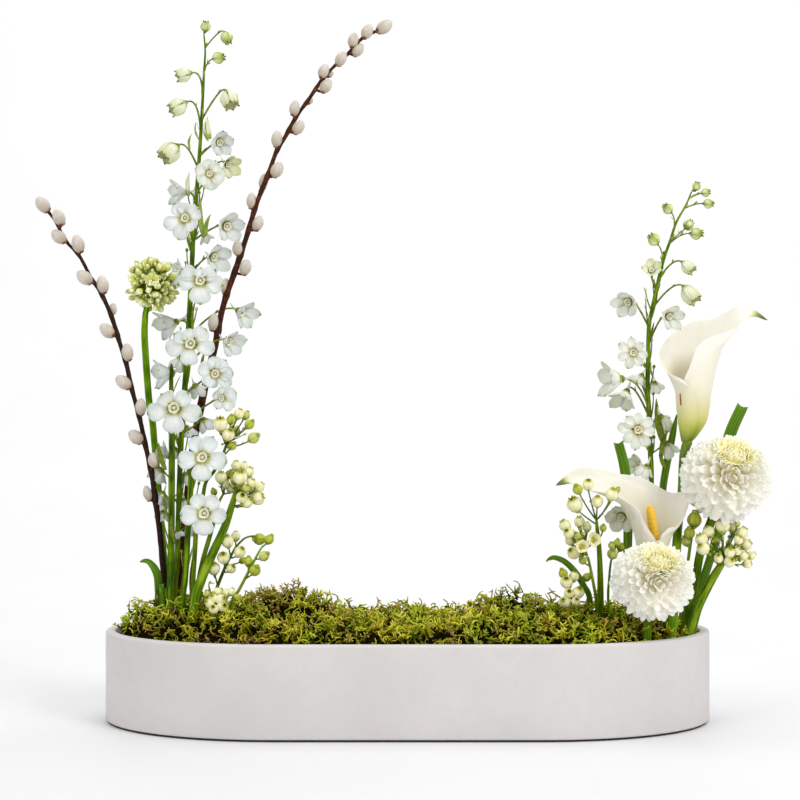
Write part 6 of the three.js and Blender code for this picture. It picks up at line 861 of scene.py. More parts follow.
LEAF_NODES = [["leaf_left_arch", "arching_leaf_left"], ["leaf_left_stub", "cut_leaf_left"], ["leaf_right_arch", "arching_leaf_right"], ["leaf_cut_left", "cut_leaf_right_tall"], ["leaf_blade", "pointed_leaf_right"], ["leaf_cut_right", "cut_leaf_right_slanted"]]
SPRAY_NODES = [["spray_a", "bud_spray_left_1"], ["spray_b", "bud_spray_left_2"], ["spray_b2", "bud_spray_left_3"], ["spray_c", "bud_spray_left_4"], ["spray_d", "bud_spray_left_5"], ["spray_e", "bud_spray_left_6"], ["spray_f", "bud_spray_right_1"], ["spray_g", "bud_spray_right_2"], ["spray_h", "bud_spray_right_3"], ["spray_i", "bud_spray_right_4"], ["spray_j", "bud_spray_right_5"], ["spray_k", "bud_spray_right_6"], ["spray_l", "bud_spray_right_7"]]
SPATHE_T = 1.3


def plain_green(name, dark, light, rough=0.5):
    f = Finish(name, rough=rough, spec=0.35, sub=0.06, scale=0.001)
    f.colour(f.ramp(f.noise(220.0, 3), [(0.35, dark), (0.7, light)]))
    return f.m


GLOBE_CORE = plain_green("globe_core", (40, 48, 6), (78, 88, 18))
TWIG_DARK = plain_green("bud_twig", (70, 94, 18), (116, 142, 44))
YELLOW = plain_green("small_yellow_centre", (208, 190, 52), (240, 226, 110), 0.6)
OLIVE = plain_green("floret_olive_lobe", (128, 118, 28), (176, 166, 66), 0.6)
PEDICEL = plain_green("pedicel", (82, 104, 0), (142, 156, 10), 0.6)
BRACT = plain_green("small_bract", (116, 146, 40), (172, 190, 92))
FLORET_MATS = [SEPAL, SEPAL_GREEN, SEPAL_BUD, BEE, EYE, OLIVE, PEDICEL]


# ---------------------------------------------------------------- trough, pad, foam
def outline(inset, n_end=56, n_side=14):
    """The trough's plan at an inset from its outer wall, anticlockwise from the right-hand tip."""
    a, b = 175.0 - inset, 110.0 - inset
    t = np.linspace(-math.pi / 2, math.pi / 2, n_end)
    right = np.stack([125.5 + a * np.cos(t), b * np.sin(t)], 1)
    top = np.stack([np.linspace(125.5, -125.5, n_side + 2)[1:-1], np.full(n_side, b)], 1)
    return np.concatenate([right, top, -right, -top])


def make_trough():
    p = Piece()
    prof = [(3.0, 2.0), (1.0, 2.25), (0.25, 3.0), (0.0, 4.5), (0.0, 30.0), (0.0, 60.0), (0.0, 87.4), (0.2, 88.6), (0.75, 89.5), (1.7, 90.0),
            (8.3, 90.0), (9.25, 89.5), (9.8, 88.6), (10.0, 87.4), (10.0, 50.0), (10.0, 14.5), (10.8, 12.7), (13.0, 12.0)]
    R = [np.column_stack([outline(d), np.full(len(outline(d)), z)]) for d, z in prof]
    n, m = len(R), len(R[0])
    v = np.concatenate(R + [np.array([[0, 0, 2.0], [0, 0, 12.0]])])
    i, j = np.meshgrid(np.arange(n - 1), np.arange(m), indexing="ij")
    k = (j + 1) % m
    q = np.stack([i * m + j, i * m + k, (i + 1) * m + k, (i + 1) * m + j], -1).reshape(-1, 4)
    j = np.arange(m)
    k = (j + 1) % m
    t = np.concatenate([np.stack([k, j, np.full(m, n * m)], 1), np.stack([(n - 1) * m + j, (n - 1) * m + k, np.full(m, n * m + 1)], 1)])
    p.add(v, q, t)
    return p.build("stone_trough", STONE, "trough_stone", "trough")


# ---------------------------------------------------------------- moss
MOUNDS = [(-288, -20, 32, 20), (280, -10, 26, 5), (-225, 20, 55, 14), (-117, 30, 30, 22), (100, 45, 22, 13), (160, 30, 40, 8), (-48, 20, 26, -7), (60, 40, 20, -4)]
BROWN_PATCHES = [(-150, -96, 24, 0.9), (-196, -86, 18, 0.9), (-68, -40, 16, 1.0), (-84, 0, 15, 1.0), (-150, 30, 22, 0.7), (40, -84, 14, 0.6), (205, -30, 18, 0.5), (110, 40, 18, 0.5), (-20, 40, 20, 0.5)]


def moss_height(x, y):
    rim = np.hypot(np.maximum(0, np.abs(x) - 125.5) / (175 - 11.2), y / (110 - 11.2))
    soft = np.clip((1 - rim) / 0.42, 0, 1)
    z = 85 + 15 * (1 - (1 - soft) ** 2)
    for cx, cy, s, h in MOUNDS:
        z = z + h * np.exp(-((x - cx) ** 2 + (y - cy) ** 2) / (2 * s * s)) * (0.35 + 0.65 * soft)
    return z + 1.6 * np.sin(0.11 * x + 1.3) * np.cos(0.13 * y + 0.4) * soft, rim


def moss_lump(x, y):
    rng = np.random.default_rng(19)
    z = 0 * x
    for _ in range(22):
        k = rng.normal(0, 0.17, 2)
        z = z + np.sin(k[0] * x + k[1] * y + rng.uniform(0, 6.3)) / 3.3
    return z


def make_moss_bed():
    rng = np.random.default_rng(41)
    edge = outline(11.6, 90, 30)
    rho = np.linspace(0, 1, 46)[1:] ** 0.9
    xy = rho[:, None, None] * edge[None]
    z, rim = moss_height(xy[..., 0], xy[..., 1])
    z = z - 7.5 + 2.6 * moss_lump(xy[..., 0], xy[..., 1]) * np.clip((1 - rim) / 0.2, 0, 1) - 3.0 * np.clip((rim - 0.88) / 0.12, 0, 1)
    V = np.concatenate([xy, z[..., None]], -1)
    n, m = V.shape[:2]
    skirt = np.column_stack([edge, np.full(m, 76.4)])
    v = np.concatenate([V.reshape(-1, 3), skirt, [[0, 0, moss_height(0.0, 0.0)[0] - 5.5], [0, 0, 76.4]]])
    i, j = np.meshgrid(np.arange(n), np.arange(m), indexing="ij")
    k = (j + 1) % m
    q = np.stack([i * m + j, (i + 1) * m + j, (i + 1) * m + k, i * m + k], -1).reshape(-1, 4)
    j = np.arange(m)
    k = (j + 1) % m
    t = np.concatenate([np.stack([j, k, np.full(m, (n + 1) * m)], 1), np.stack([n * m + k, n * m + j, np.full(m, (n + 1) * m + 1)], 1)])
    # The bed under the fronds, painted near black as shade for the gaps between them.
    ground = Piece().add(v, q, t)
    ground.build("moss_ground_shade", GROUND_SHADE, "moss", "moss_bed")

    # Frond shapes, each some 15 mm tall, grown once and set many times.
    def strand(p, start, way, length, r, steps, sides, bend, lift, h0, h1, end=0.45):
        pts, d = [np.array(start, float)], unit(way)
        axis = unit(rng.normal(size=3)) * bend
        for s in range(steps):
            d = unit(d + np.cross(axis, d) * length / steps + rng.normal(0, 0.10, 3) + np.array([0, 0, lift]))
            pts.append(pts[-1] + d * length / steps)
        P = np.array(pts)
        p.tube(P, r * np.linspace(1, end, steps + 1), sides, along=np.linspace(h0, h1, steps + 1))
        return P

    def curl():
        p = Piece()
        L = rng.uniform(11, 18)
        P = strand(p, (0, 0, 0), rng.normal(0, 0.55, 3) + np.array([0, 0, 1.0]), L, rng.uniform(1.0, 1.35), 8, 5, rng.uniform(0.05, 0.2), 0.0, 0.0, 1.0)
        for i in range(2, 8):
            if rng.random() < 0.8:
                way = unit(P[i + 1] - P[i]) * 0.6 + rng.normal(0, 0.8, 3)
                h = i / 8
                strand(p, P[i], way, rng.uniform(4.0, 8.5), rng.uniform(0.75, 1.05), 5, 4, rng.uniform(0.15, 0.42), 0.03, h * 0.8, min(1.0, h + 0.3))
        return p

    def star():
        p = Piece()
        c = np.array([0, 0, rng.uniform(7, 10)])
        strand(p, (0, 0, 0), (0, 0, 1), c[2], 0.9, 3, 4, 0.05, 0, 0.0, 0.6)
        for i in range(rng.integers(9, 14)):
            a = rng.uniform(0, 6.283)
            way = np.array([math.cos(a), math.sin(a), rng.uniform(-0.1, 1.2)])
            strand(p, c + rng.normal(0, 0.6, 3), way, rng.uniform(3.5, 6.5), rng.uniform(0.8, 1.1), 4, 4, rng.uniform(0.1, 0.3), -0.02, 0.55, 1.0)
        return p

    def antler():
        p = Piece()
        L = rng.uniform(15, 23)
        P = strand(p, (0, 0, 0), rng.normal(0, 0.35, 3) + np.array([0, 0, 1.0]), L, 0.85, 10, 5, rng.uniform(0.04, 0.12), 0.02, 0.0, 1.0)
        for i in range(3, 10):
            T = unit(P[i + 1] - P[i])
            for k in range(2):
                if rng.random() < 0.75:
                    a = rng.uniform(0, 6.283)
                    side = np.array([math.cos(a), math.sin(a), 0.2])
                    Q = strand(p, P[i], side + T * 0.6, rng.uniform(3.0, 6.5), 0.68, 5, 4, rng.uniform(0.15, 0.4), 0.05, 0.4 + i / 20, 1.0, 0.6)
                    if rng.random() < 0.5:
                        strand(p, Q[3], rng.normal(0, 0.7, 3) + unit(Q[4] - Q[3]), rng.uniform(1.8, 3.2), 0.55, 3, 4, 0.3, 0.1, 0.7, 1.0, 0.6)
        return p

    def noodle():
        p = Piece()
        a = rng.uniform(0, 6.283)
        base = np.array([0, 0, rng.uniform(5, 9)])
        P = strand(p, base, (math.cos(a), math.sin(a), rng.uniform(0.1, 0.7)), rng.uniform(14, 24), rng.uniform(0.85, 1.15), 11, 5, rng.uniform(0.08, 0.26), -0.02, 0.5, 1.0)
        for i in (3, 5, 7, 9):
            if rng.random() < 0.7:
                strand(p, P[i], unit(P[i + 1] - P[i]) * 0.5 + rng.normal(0, 0.8, 3), rng.uniform(4, 8), rng.uniform(0.65, 0.9), 5, 4, rng.uniform(0.15, 0.45), 0.02, 0.6, 1.0)
        return p

    kinds = [curl() for _ in range(12)] + [noodle() for _ in range(10)] + [star() for _ in range(7)] + [antler() for _ in range(6)]
    shapes = []
    for k in kinds:
        v = np.concatenate(k.v)
        shapes.append((v, np.concatenate(k.q), np.concatenate(k.t), np.concatenate(k.a["along"])))
    gap = 6.4
    gx, gy = np.meshgrid(np.arange(-298, 299, gap), np.arange(-108, 109, gap), indexing="ij")
    pts = np.stack([gx.ravel(), gy.ravel()], 1) + rng.uniform(-0.5, 0.5, (gx.size, 2)) * gap
    z, rim = moss_height(pts[:, 0], pts[:, 1])
    keep = rim < np.where(np.abs(pts[:, 0]) > 200, 0.98, 0.965)
    pts, z, rim = pts[keep], z[keep], rim[keep]
    pieces = [Piece() for _ in range(6)]
    patch = np.zeros(len(pts))
    for _ in range(12):
        k = rng.normal(0, 0.05, 2)
        patch += np.sin(k[0] * pts[:, 0] + k[1] * pts[:, 1] + rng.uniform(0, 6.3)) / 6
    brown = np.zeros(len(pts))
    for cx, cy, wide, much in BROWN_PATCHES:
        brown += much * np.exp(-((pts[:, 0] - cx) / wide) ** 2 - ((pts[:, 1] - cy) / (wide * 0.8)) ** 2)
    bumps = moss_lump(pts[:, 0], pts[:, 1])
    for i in range(len(pts)):
        x, y = pts[i]
        if y > -55 and abs(x) < 200 and rng.random() < (0.36 if -150 < x < 70 else 0.24):
            continue
        sprig = rng.random() < 0.5 * math.exp(-((x + 112) / 34) ** 2 - ((y - 25) / 42) ** 2) + 0.035
        star_here = not sprig and rng.random() < 0.13 + 0.2 * patch[i]
        s = int(rng.integers(29, 35) if sprig else rng.integers(22, 29) if star_here else rng.integers(0, 12) if rng.random() < 0.42 else rng.integers(12, 22))
        V, Q, T, H = shapes[s]
        out = np.array([x - np.clip(x, -125, 125), y * 1.3, 0])
        lean = unit(np.array([0, 0, 1.0]) + rng.normal(0, 0.2 if sprig else 0.45, 3) + unit(out) * max(0, rim[i] - 0.7) * 2.4 * (not sprig))
        M = basis(lean, rng.uniform(0, 360)) * rng.uniform(0.70, 1.22) * (0.78 if rim[i] > 0.9 else 1.0)
        at = np.array([x, y, z[i] - 6.5 + 3.0 * bumps[i] * min(1.0, (1 - rim[i]) / 0.2)])
        W = V @ M.T + at
        inner = np.hypot(np.maximum(0, np.abs(W[:, 0]) - 125.5) / (175 - 11.6), W[:, 1] / (110 - 11.6))
        over = (inner > 1.0) & (W[:, 2] < 92.5)
        if over.any():
            f = np.where(over, 1.0 / np.maximum(inner, 1.0), 1.0)
            side = np.clip(W[:, 0], -125.5, 125.5)
            W = np.column_stack([side + (W[:, 0] - side) * f, W[:, 1] * f, W[:, 2]])
        low = rng.random() < 0.07
        tone = 0.62 - 0.12 * min(1.0, max(0.0, (y + 30) / 50)) + 0.12 * patch[i] + 0.14 * bumps[i] + rng.normal(0, 0.13) + (0.10 if star_here else 0) - (0.16 if sprig else 0)
        tone = np.clip(tone * (1 - min(1.0, brown[i])) + min(1.0, brown[i]) * rng.uniform(0.0, 0.26) - (0.4 if low else 0), 0, 1)
        b = min(5, int((x + 300.5) / 100.2))
        pieces[b].add(W, Q, T, 0, H, 0.0, tone)
    for i, p in enumerate(pieces):
        p.build("moss_fronds_%d" % (i + 1), MOSS, "moss", "moss_bed")


# ---------------------------------------------------------------- sepals, florets and buds
def sepal_grid(kind, R, W, nu, nv, rng, lift=0.0, curl=0.0):
    """One sepal pointing along +X from the floret's middle, +Z towards the viewer of its face."""
    s = np.linspace(0, 1, nu)[:, None]
    t = np.linspace(-1, 1, nv)[None]
    edge = 0.0
    if kind == "open":
        half = W * (s + 0.03) ** 0.72 * (1 - np.minimum(s, 0.994) ** 4) ** 0.55 / 0.69
        r = R * (0.10 + 0.90 * s)
        z = R * (-0.10 + 0.30 * s ** 0.8 - 0.24 * s ** 2.2 + curl * s ** 3)
        r = r * (1 - 0.35 * abs(curl) * s ** 3)
        wrap, edge = 0.25, 0.10
    elif kind == "cup":
        half = W * (s + 0.04) ** 0.62 * (1 - np.minimum(s, 0.994) ** 3.6) ** 0.58 / 0.68
        r = R * (0.06 + 0.80 * s ** 0.85)
        z = R * (-0.52 + 0.98 * s ** 1.05 - 0.12 * np.maximum(0, s - 0.7) + curl * s ** 3)
        wrap, edge = 0.5, 0.08
    elif kind == "bell":
        half = W * ((s + 0.05) ** 0.5 * (1 - np.minimum(s, 0.992) ** 5.0) ** 0.6) / 0.76
        r = R * (0.08 + 0.68 * np.sin(math.pi / 2 * np.minimum(1, s / 0.50)) - 0.16 * (np.maximum(0, s - 0.55) / 0.45) ** 1.4)
        z = R * (-0.86 + 1.66 * s ** 1.08)
        wrap, edge = 0.92, 0.02
    else:
        half = W * ((s + 0.05) ** 0.5 * (1 - np.minimum(s, 0.992) ** 3.2) ** 0.6) / 0.68
        r = R * (0.06 + 0.88 * np.sin(math.pi * s ** 0.92 * 0.955) ** 0.8)
        z = R * (-0.98 + 1.96 * s)
        wrap = 1.0
    r = r * (1 + lift) + 0 * t
    y = t * half
    phi = wrap * y / np.maximum(r, 0.25 * R)
    left = (1 - wrap) * y
    flap = 1.0 if kind in ("open", "cup") else 0.25
    z = z + edge * R * t ** 2 * np.sin(math.pi * np.minimum(s + 0.12, 1))
    wave = 0.030 * R * np.sin(t * rng.uniform(3, 6) + s * 4 + rng.uniform(0, 6.3)) * s + 0.014 * R * np.sin(s * 11 + t * 9 + rng.uniform(0, 6.3)) * s * np.abs(t)
    crease = -0.045 * R * np.exp(-(t * 4.0) ** 2) * np.sin(math.pi * np.minimum(s * 1.05, 1)) + 0.020 * R * np.cos(t * math.pi * 2.2) * s * (1 - s) * 4
    z = z + flap * (wave + crease)
    return np.stack([r * np.cos(phi) - left * np.sin(phi), r * np.sin(phi) + left * np.cos(phi), z + 0 * t], -1)


def turned(P, degrees):
    c, s = math.cos(math.radians(degrees)), math.sin(math.radians(degrees))
    return np.stack([c * P[..., 0] - s * P[..., 1], s * P[..., 0] + c * P[..., 1], P[..., 2]], -1)


def round_body(r, h, power=0.7):
    return lambda s, a: (r * np.sin(math.pi * s) ** power, (s - 0.5) * h)


def floret_centre(p, M, o, b, at, rng):
    """The small inner petals with their ring of dark specks, and the olive lobes showing behind them."""
    bee, eye, olive = at
    for k in range(7):
        a = 51.4 * k + rng.uniform(-16, 16)
        L = b * rng.uniform(1.2, 1.6)
        s = np.linspace(0, 1, 5)[:, None]
        t = np.linspace(-1, 1, 3)[None]
        P = np.stack([b * 0.4 + (L - b * 0.4) * s + 0 * t, t * b * 0.24 * np.sin(math.pi * (0.15 + 0.8 * s)), b * (-0.30 + 0.35 * s) + 0 * t], -1)
        p.shell(turned(P, a) @ M.T + o, 0.3, olive)
    n = 5
    for k in range(n):
        P = sepal_grid("cup", b * rng.uniform(1.05, 1.25), b * 0.78, 8, 7, rng, 0.05 * (k % 2))
        P[..., 2] += 0.55 * b
        p.shell(turned(P, 360 / n * k + rng.uniform(-10, 10)) @ M.T + o, 0.4, bee)
    p.blob(round_body(0.40 * b, 0.4 * b), 6, 9, bee, M=M, c=o + M[:, 2] * 0.46 * b, tone=1.0)
    for k in range(5):
        a = math.radians(72 * k + rng.uniform(-16, 16))
        q = o + M @ np.array([0.38 * b * math.cos(a), 0.38 * b * math.sin(a), 0.64 * b])
        p.blob(round_body(0.115 * b, 0.36 * b), 5, 5, eye, M=M, c=q)
    p.blob(round_body(0.19 * b, 0.55 * b), 5, 6, bee, M=M, c=o + M[:, 2] * 0.72 * b, tone=1.0)
    for k in range(8):
        if rng.random() < 0.6:
            a = math.radians(45 * k + rng.uniform(-18, 18))
            q = o + M @ np.array([1.2 * b * math.cos(a), 1.2 * b * math.sin(a), 0.12 * b])
            p.blob(round_body(rng.uniform(0.12, 0.18) * b, 0.5 * b), 5, 6, eye if k % 3 else olive, M=M, c=q)


def floret(p, kind, c, R, f, roll, rng, first, petal, n=5, fine=True, petals=None):
    """Sepals round a small centre. `first` is where FLORET_MATS start in the piece's materials, petal picks one of them."""
    c = np.asarray(c, float)
    pm, bee, eye, olive, green = first + petal, first + 3, first + 4, first + 5, first + 6
    M = basis(f, 0.0 if petals else roll)
    nu, nv = (13, 11) if fine else (8, 7)
    W = {"open": 0.38, "cup": 0.40, "bell": 0.49, "bud": 0.66}[kind] * R
    if not petals:
        petals = [(90 + 360 / n * k + rng.uniform(-6, 6), R * rng.uniform(0.92, 1.05), 2 * W * rng.uniform(0.9, 1.1), rng.uniform(-0.12, 0.14)) for k in range(n)]
    tips = []
    for k, (ang, L, w, curl) in enumerate(petals):
        P = sepal_grid(kind, L, w / 2, nu, nv, rng, (0.03 * (k % 2) + 0.015 * (k == 4)) if kind in ("bell", "bud") else 0.0, curl if kind in ("open", "cup") else 0.0)
        if kind == "open":
            P[..., 2] += R * 0.035 * (k % 3)
        P = turned(P, ang) @ M.T + c
        p.shell(P, 0.5 if R > 8 else 0.35, pm, tone=rng.uniform(0, 9))
        tips.append(P[-1, nv // 2])
    for k, q in enumerate(tips):
        if kind in ("bell", "bud") or rng.random() < 0.45:
            g = {"bell": 0.075, "bud": 0.13}.get(kind, 0.035) * R + 0.15
            q = q + (q - c - M[:, 2] * ((q - c) @ M[:, 2])) * (0.9 if kind == "bud" else 0.0)
            p.blob(round_body(g, 2.1 * g, 0.8), 5, 6, green, M=M, c=q)
    if kind in ("open", "cup"):
        o = c + M[:, 2] * (0.0 if kind == "open" else -0.36 * R)
        floret_centre(p, M, o, (0.20 if kind == "open" else 0.23) * R, (bee, eye, olive), rng)
        back = c - M[:, 2] * (0.10 if kind == "open" else 0.5) * R
        p.tube(bezier(back, back - M[:, 2] * 0.45 * R, back - M[:, 2] * 0.62 * R + np.array([0, 0, 0.2 * R]), 8),
               np.linspace(0.12 * R, 0.035 * R, 8), 7, pm, along=np.linspace(0.15, 0.8, 8))
    elif kind == "bell":
        for k in range(4):
            P = sepal_grid("bell", 0.5 * R, 0.26 * R, 6, 5, rng)
            p.shell(turned(P, 90 * k) @ M.T + c - M[:, 2] * 0.12 * R, 0.4, bee if k % 2 else olive)
    foot = {"open": 0.12, "cup": 0.52, "bell": 0.84, "bud": 0.96}[kind] * R
    p.blob(round_body(0.17 * R + 0.5, 0.26 * R + 0.8, 0.6), 6, 9, green, M=M, c=c - M[:, 2] * foot)


def bract(p, at, way, length, width, mat, rng):
    """A small pointed leaf."""
    s = np.linspace(0, 1, 7)[:, None]
    t = np.linspace(-1, 1, 3)[None]
    M = basis(unit(way), rng.uniform(0, 360), (0, 1, 0))
    half = width / 2 * np.sin(math.pi * np.clip(s * 0.92 + 0.06, 0, 1)) ** 0.7
    P = np.stack([t * half, 0.18 * length * s ** 2 + 0.25 * half * t ** 2, s * length + 0 * t], -1)
    p.shell(P @ M.T + np.asarray(at, float), 0.3, mat)


def spray_bud(p, kind, c, d, way, rng, mats):
    white, green, top, twig, yellow = mats
    c = np.asarray(c, float)
    R = d / 2 * (1.24 if kind != "G" else 1.0)
    if kind == "o":
        f = unit(np.array([rng.uniform(-0.3, 0.3), -0.90, rng.uniform(0.0, 0.45)]))
        M = basis(f, rng.uniform(0, 72))
        for k in range(5):
            P = sepal_grid("cup", R * rng.uniform(0.98, 1.1), R * 0.56, 8, 7, rng, 0.03 * (k % 2), rng.uniform(-0.2, 0.25))
            p.shell(turned(P, 72 * k + rng.uniform(-6, 6)) @ M.T + c, 0.4, white, tone=rng.uniform(0, 9), along=np.repeat(np.linspace(0.2, 0.94, 8)[:, None], 7, 1))
        p.blob(round_body(0.26 * R, 0.5 * R), 5, 7, yellow, M=M, c=c - M[:, 2] * 0.25 * R)
        for k in range(5):
            a = math.radians(72 * k + 20)
            p.blob(round_body(0.10 * R, 0.5 * R), 5, 5, green if k % 2 else yellow, M=M, c=c + M @ np.array([0.2 * R * math.cos(a), 0.2 * R * math.sin(a), 0.0]))
        p.blob(round_body(0.34 * R, 0.7 * R, 0.6), 6, 8, green, M=M, c=c - M[:, 2] * 0.62 * R)
        return
    body = {"w": white, "g": top if rng.random() < 0.5 else green, "G": green}[kind]
    M = basis(way, rng.uniform(0, 72), (0.1, 1, 0.2))
    n = 5 if kind != "G" else 8
    parted = rng.uniform(0.04, 0.22) if kind == "w" else 0.0
    for k in range(n):
        P = sepal_grid("bud", R * 0.96, R * (0.60 if n == 5 else 0.44), 9, 7, rng, 0.03 * (k % 2))
        s = np.linspace(0, 1, 9)[:, None]
        P[..., :2] *= (1 + parted * s ** 3 * 4)[..., None]
        P[..., :2] *= 0.93
        P[..., 2] *= 1.06 if kind == "w" else 1.08
        p.shell(turned(P, 360 / n * k + rng.uniform(-4, 4)) @ M.T + c, 0.35, body, tone=rng.uniform(0, 9))
        if R > 3.0:
            q = turned(P, 360 / n * k)[-1, 3] @ M.T + c
            p.blob(round_body(0.15 * R, 0.5 * R, 0.8), 5, 5, green, M=M, c=q)
    p.blob(lambda s, a: (0.70 * R * np.sin(math.pi * np.clip(s, 0, 1)) ** 0.5 * (1 - 0.3 * s), (s - 0.72) * 1.2 * R), 6, 8, green if kind != "w" else top, M=M, c=c - M[:, 2] * 0.05 * R)
    p.blob(round_body(0.36 * R, 0.5 * R, 0.6), 5, 8, green, M=M, c=c - M[:, 2] * 0.88 * R)
    if kind == "G":
        for k in range(12):
            a = math.radians(30 * k + rng.uniform(-8, 8))
            top_at = c + M @ np.array([0.24 * R * math.cos(a), 0.24 * R * math.sin(a), R * rng.uniform(0.58, 0.82)])
            p.blob(round_body(0.13 * R, 0.7 * R), 6, 6, top if k % 3 else green, M=basis(unit(top_at - c)), c=top_at)


def line_of(key, per=5):
    s = D["stems"][key]
    L = spline(np.column_stack([s["p"], s["r"]]), per)
    return L[:, :3], np.maximum(L[:, 3], 0.3)


def nearest(P, q):
    return int(np.argmin(np.linalg.norm(P - np.asarray(q, float), axis=1)))


# florets that face away, seen between the stems: picture column and row, depth, radius, facing
BACK_FLORETS = {
    "delph_tall": [(179.5, 362, 10, 10.5, (-0.3, 0.5, -0.8)), (197, 389, 12, 10, (0.3, 0.6, -0.7)), (188, 431, 12, 9, (0.2, 0.5, -0.8)), (206, 423, 14, 10, (0.4, 0.6, -0.7)),
                   (186, 478, 14, 9, (0.1, 0.5, -0.9)), (184, 503, 12, 7, (0.0, 0.4, -0.9)), (206, 237, 8, 8, (0.3, 0.4, -0.9)), (181, 276, 14, 11, (-0.5, 0.5, -0.6)),
                   (190, 529, 12, 7.5, (0.2, 0.4, -0.9))],
    "delph_short": [(159, 474, 8, 11, (-0.5, 0.4, -0.8)), (176, 452, 12, 8, (0.1, 0.6, -0.8)), (161.5, 497, 8, 9, (-0.4, 0.3, -0.8)), (162, 515, 8, 7.5, (-0.3, 0.3, -0.9)),
                    (178, 533, 10, 7, (0.2, 0.3, -0.9))],
    "delph_right": [(661, 420, 14, 11, (0.3, 0.6, -0.7)), (655, 386, 12, 9, (0.2, 0.6, -0.7)), (645, 470, 14, 10, (-0.3, 0.5, -0.8)), (668, 448, 16, 11, (0.3, 0.4, -0.8)),
                    (640, 378, 10, 8, (-0.4, 0.5, -0.7))],
}
POSE = {"dt07": (13.4, (-0.62, -0.42, -0.66), "bell"), "dt16": (18.0, (0.72, -0.5, -0.4), "cup"), "dt19": (19.5, (-0.84, -0.42, -0.34), "cup"), "dt21": (18.5, (-0.82, -0.35, -0.15), "cup"), "dt24": (14.0, (-0.75, -0.35, 0.4), "cup"),
        "dt11": (16.0, (-0.8, -0.5, -0.1), "cup"), "dt09": (14.5, (0.62, -0.6, -0.45), "cup"), "dt05": (11.8, (0.34, -0.36, -0.87), "bell"), "dr14": (21.0, (-0.9, -0.2, -0.05), "cup"), "dr15": (17.5, (-0.42, -0.4, -0.82), "cup"), "dr20": (17.0, (-0.3, -0.9, -0.2), "cup"), "dr18": (13.0, (-0.7, -0.5, 0.2), "cup")}
LONG_BRACTS = {"delph_right": [(664, 446, 656, 398, 7.0, 0), (661, 456, 668, 430, 5.0, 0), (654, 378, 651, 362, 2.2, 1), (666, 470, 660, 446, 4.0, 0)],
               "delph_tall": [(210, 139, 208, 117, 7.0, 2), (208, 141, 206, 122, 3.5, 1), (190, 150, 192, 134, 2.4, 1), (204, 238, 201, 198, 5.5, 1), (206, 236, 211, 214, 4.0, 1), (189, 196, 190, 172, 4.5, 2), (192, 242, 186, 222, 2.2, 1), (199, 140, 196, 122, 2.0, 1), (203, 372, 206, 350, 3.0, 0),
                              (193, 330, 196, 300, 3.0, 0), (175, 606, 176, 552, 4.0, 0, 22), (184, 606, 183, 544, 4.5, 0, 24), (193, 606, 194, 552, 4.0, 0, 22),
                              (201, 604, 203, 556, 3.5, 0, 22), (166, 604, 165, 560, 4.5, 0, 22)],
               "delph_short": [(166, 470, 159, 442, 5.0, 0), (176, 545, 172, 515, 4.0, 0)]}
WIDER = {"dr09": 1.2, "dr11": 1.2, "dt08": 1.22, "dt04": 1.08, "dt06": 1.06, "dt19": 1.15, "dt21": 1.25, "dt24": 1.5, "dt25": 1.35, "dt26": 1.2, "dt11": 1.1, "dt16": 1.08, "dr17": 1.1, "dr18": 1.15}


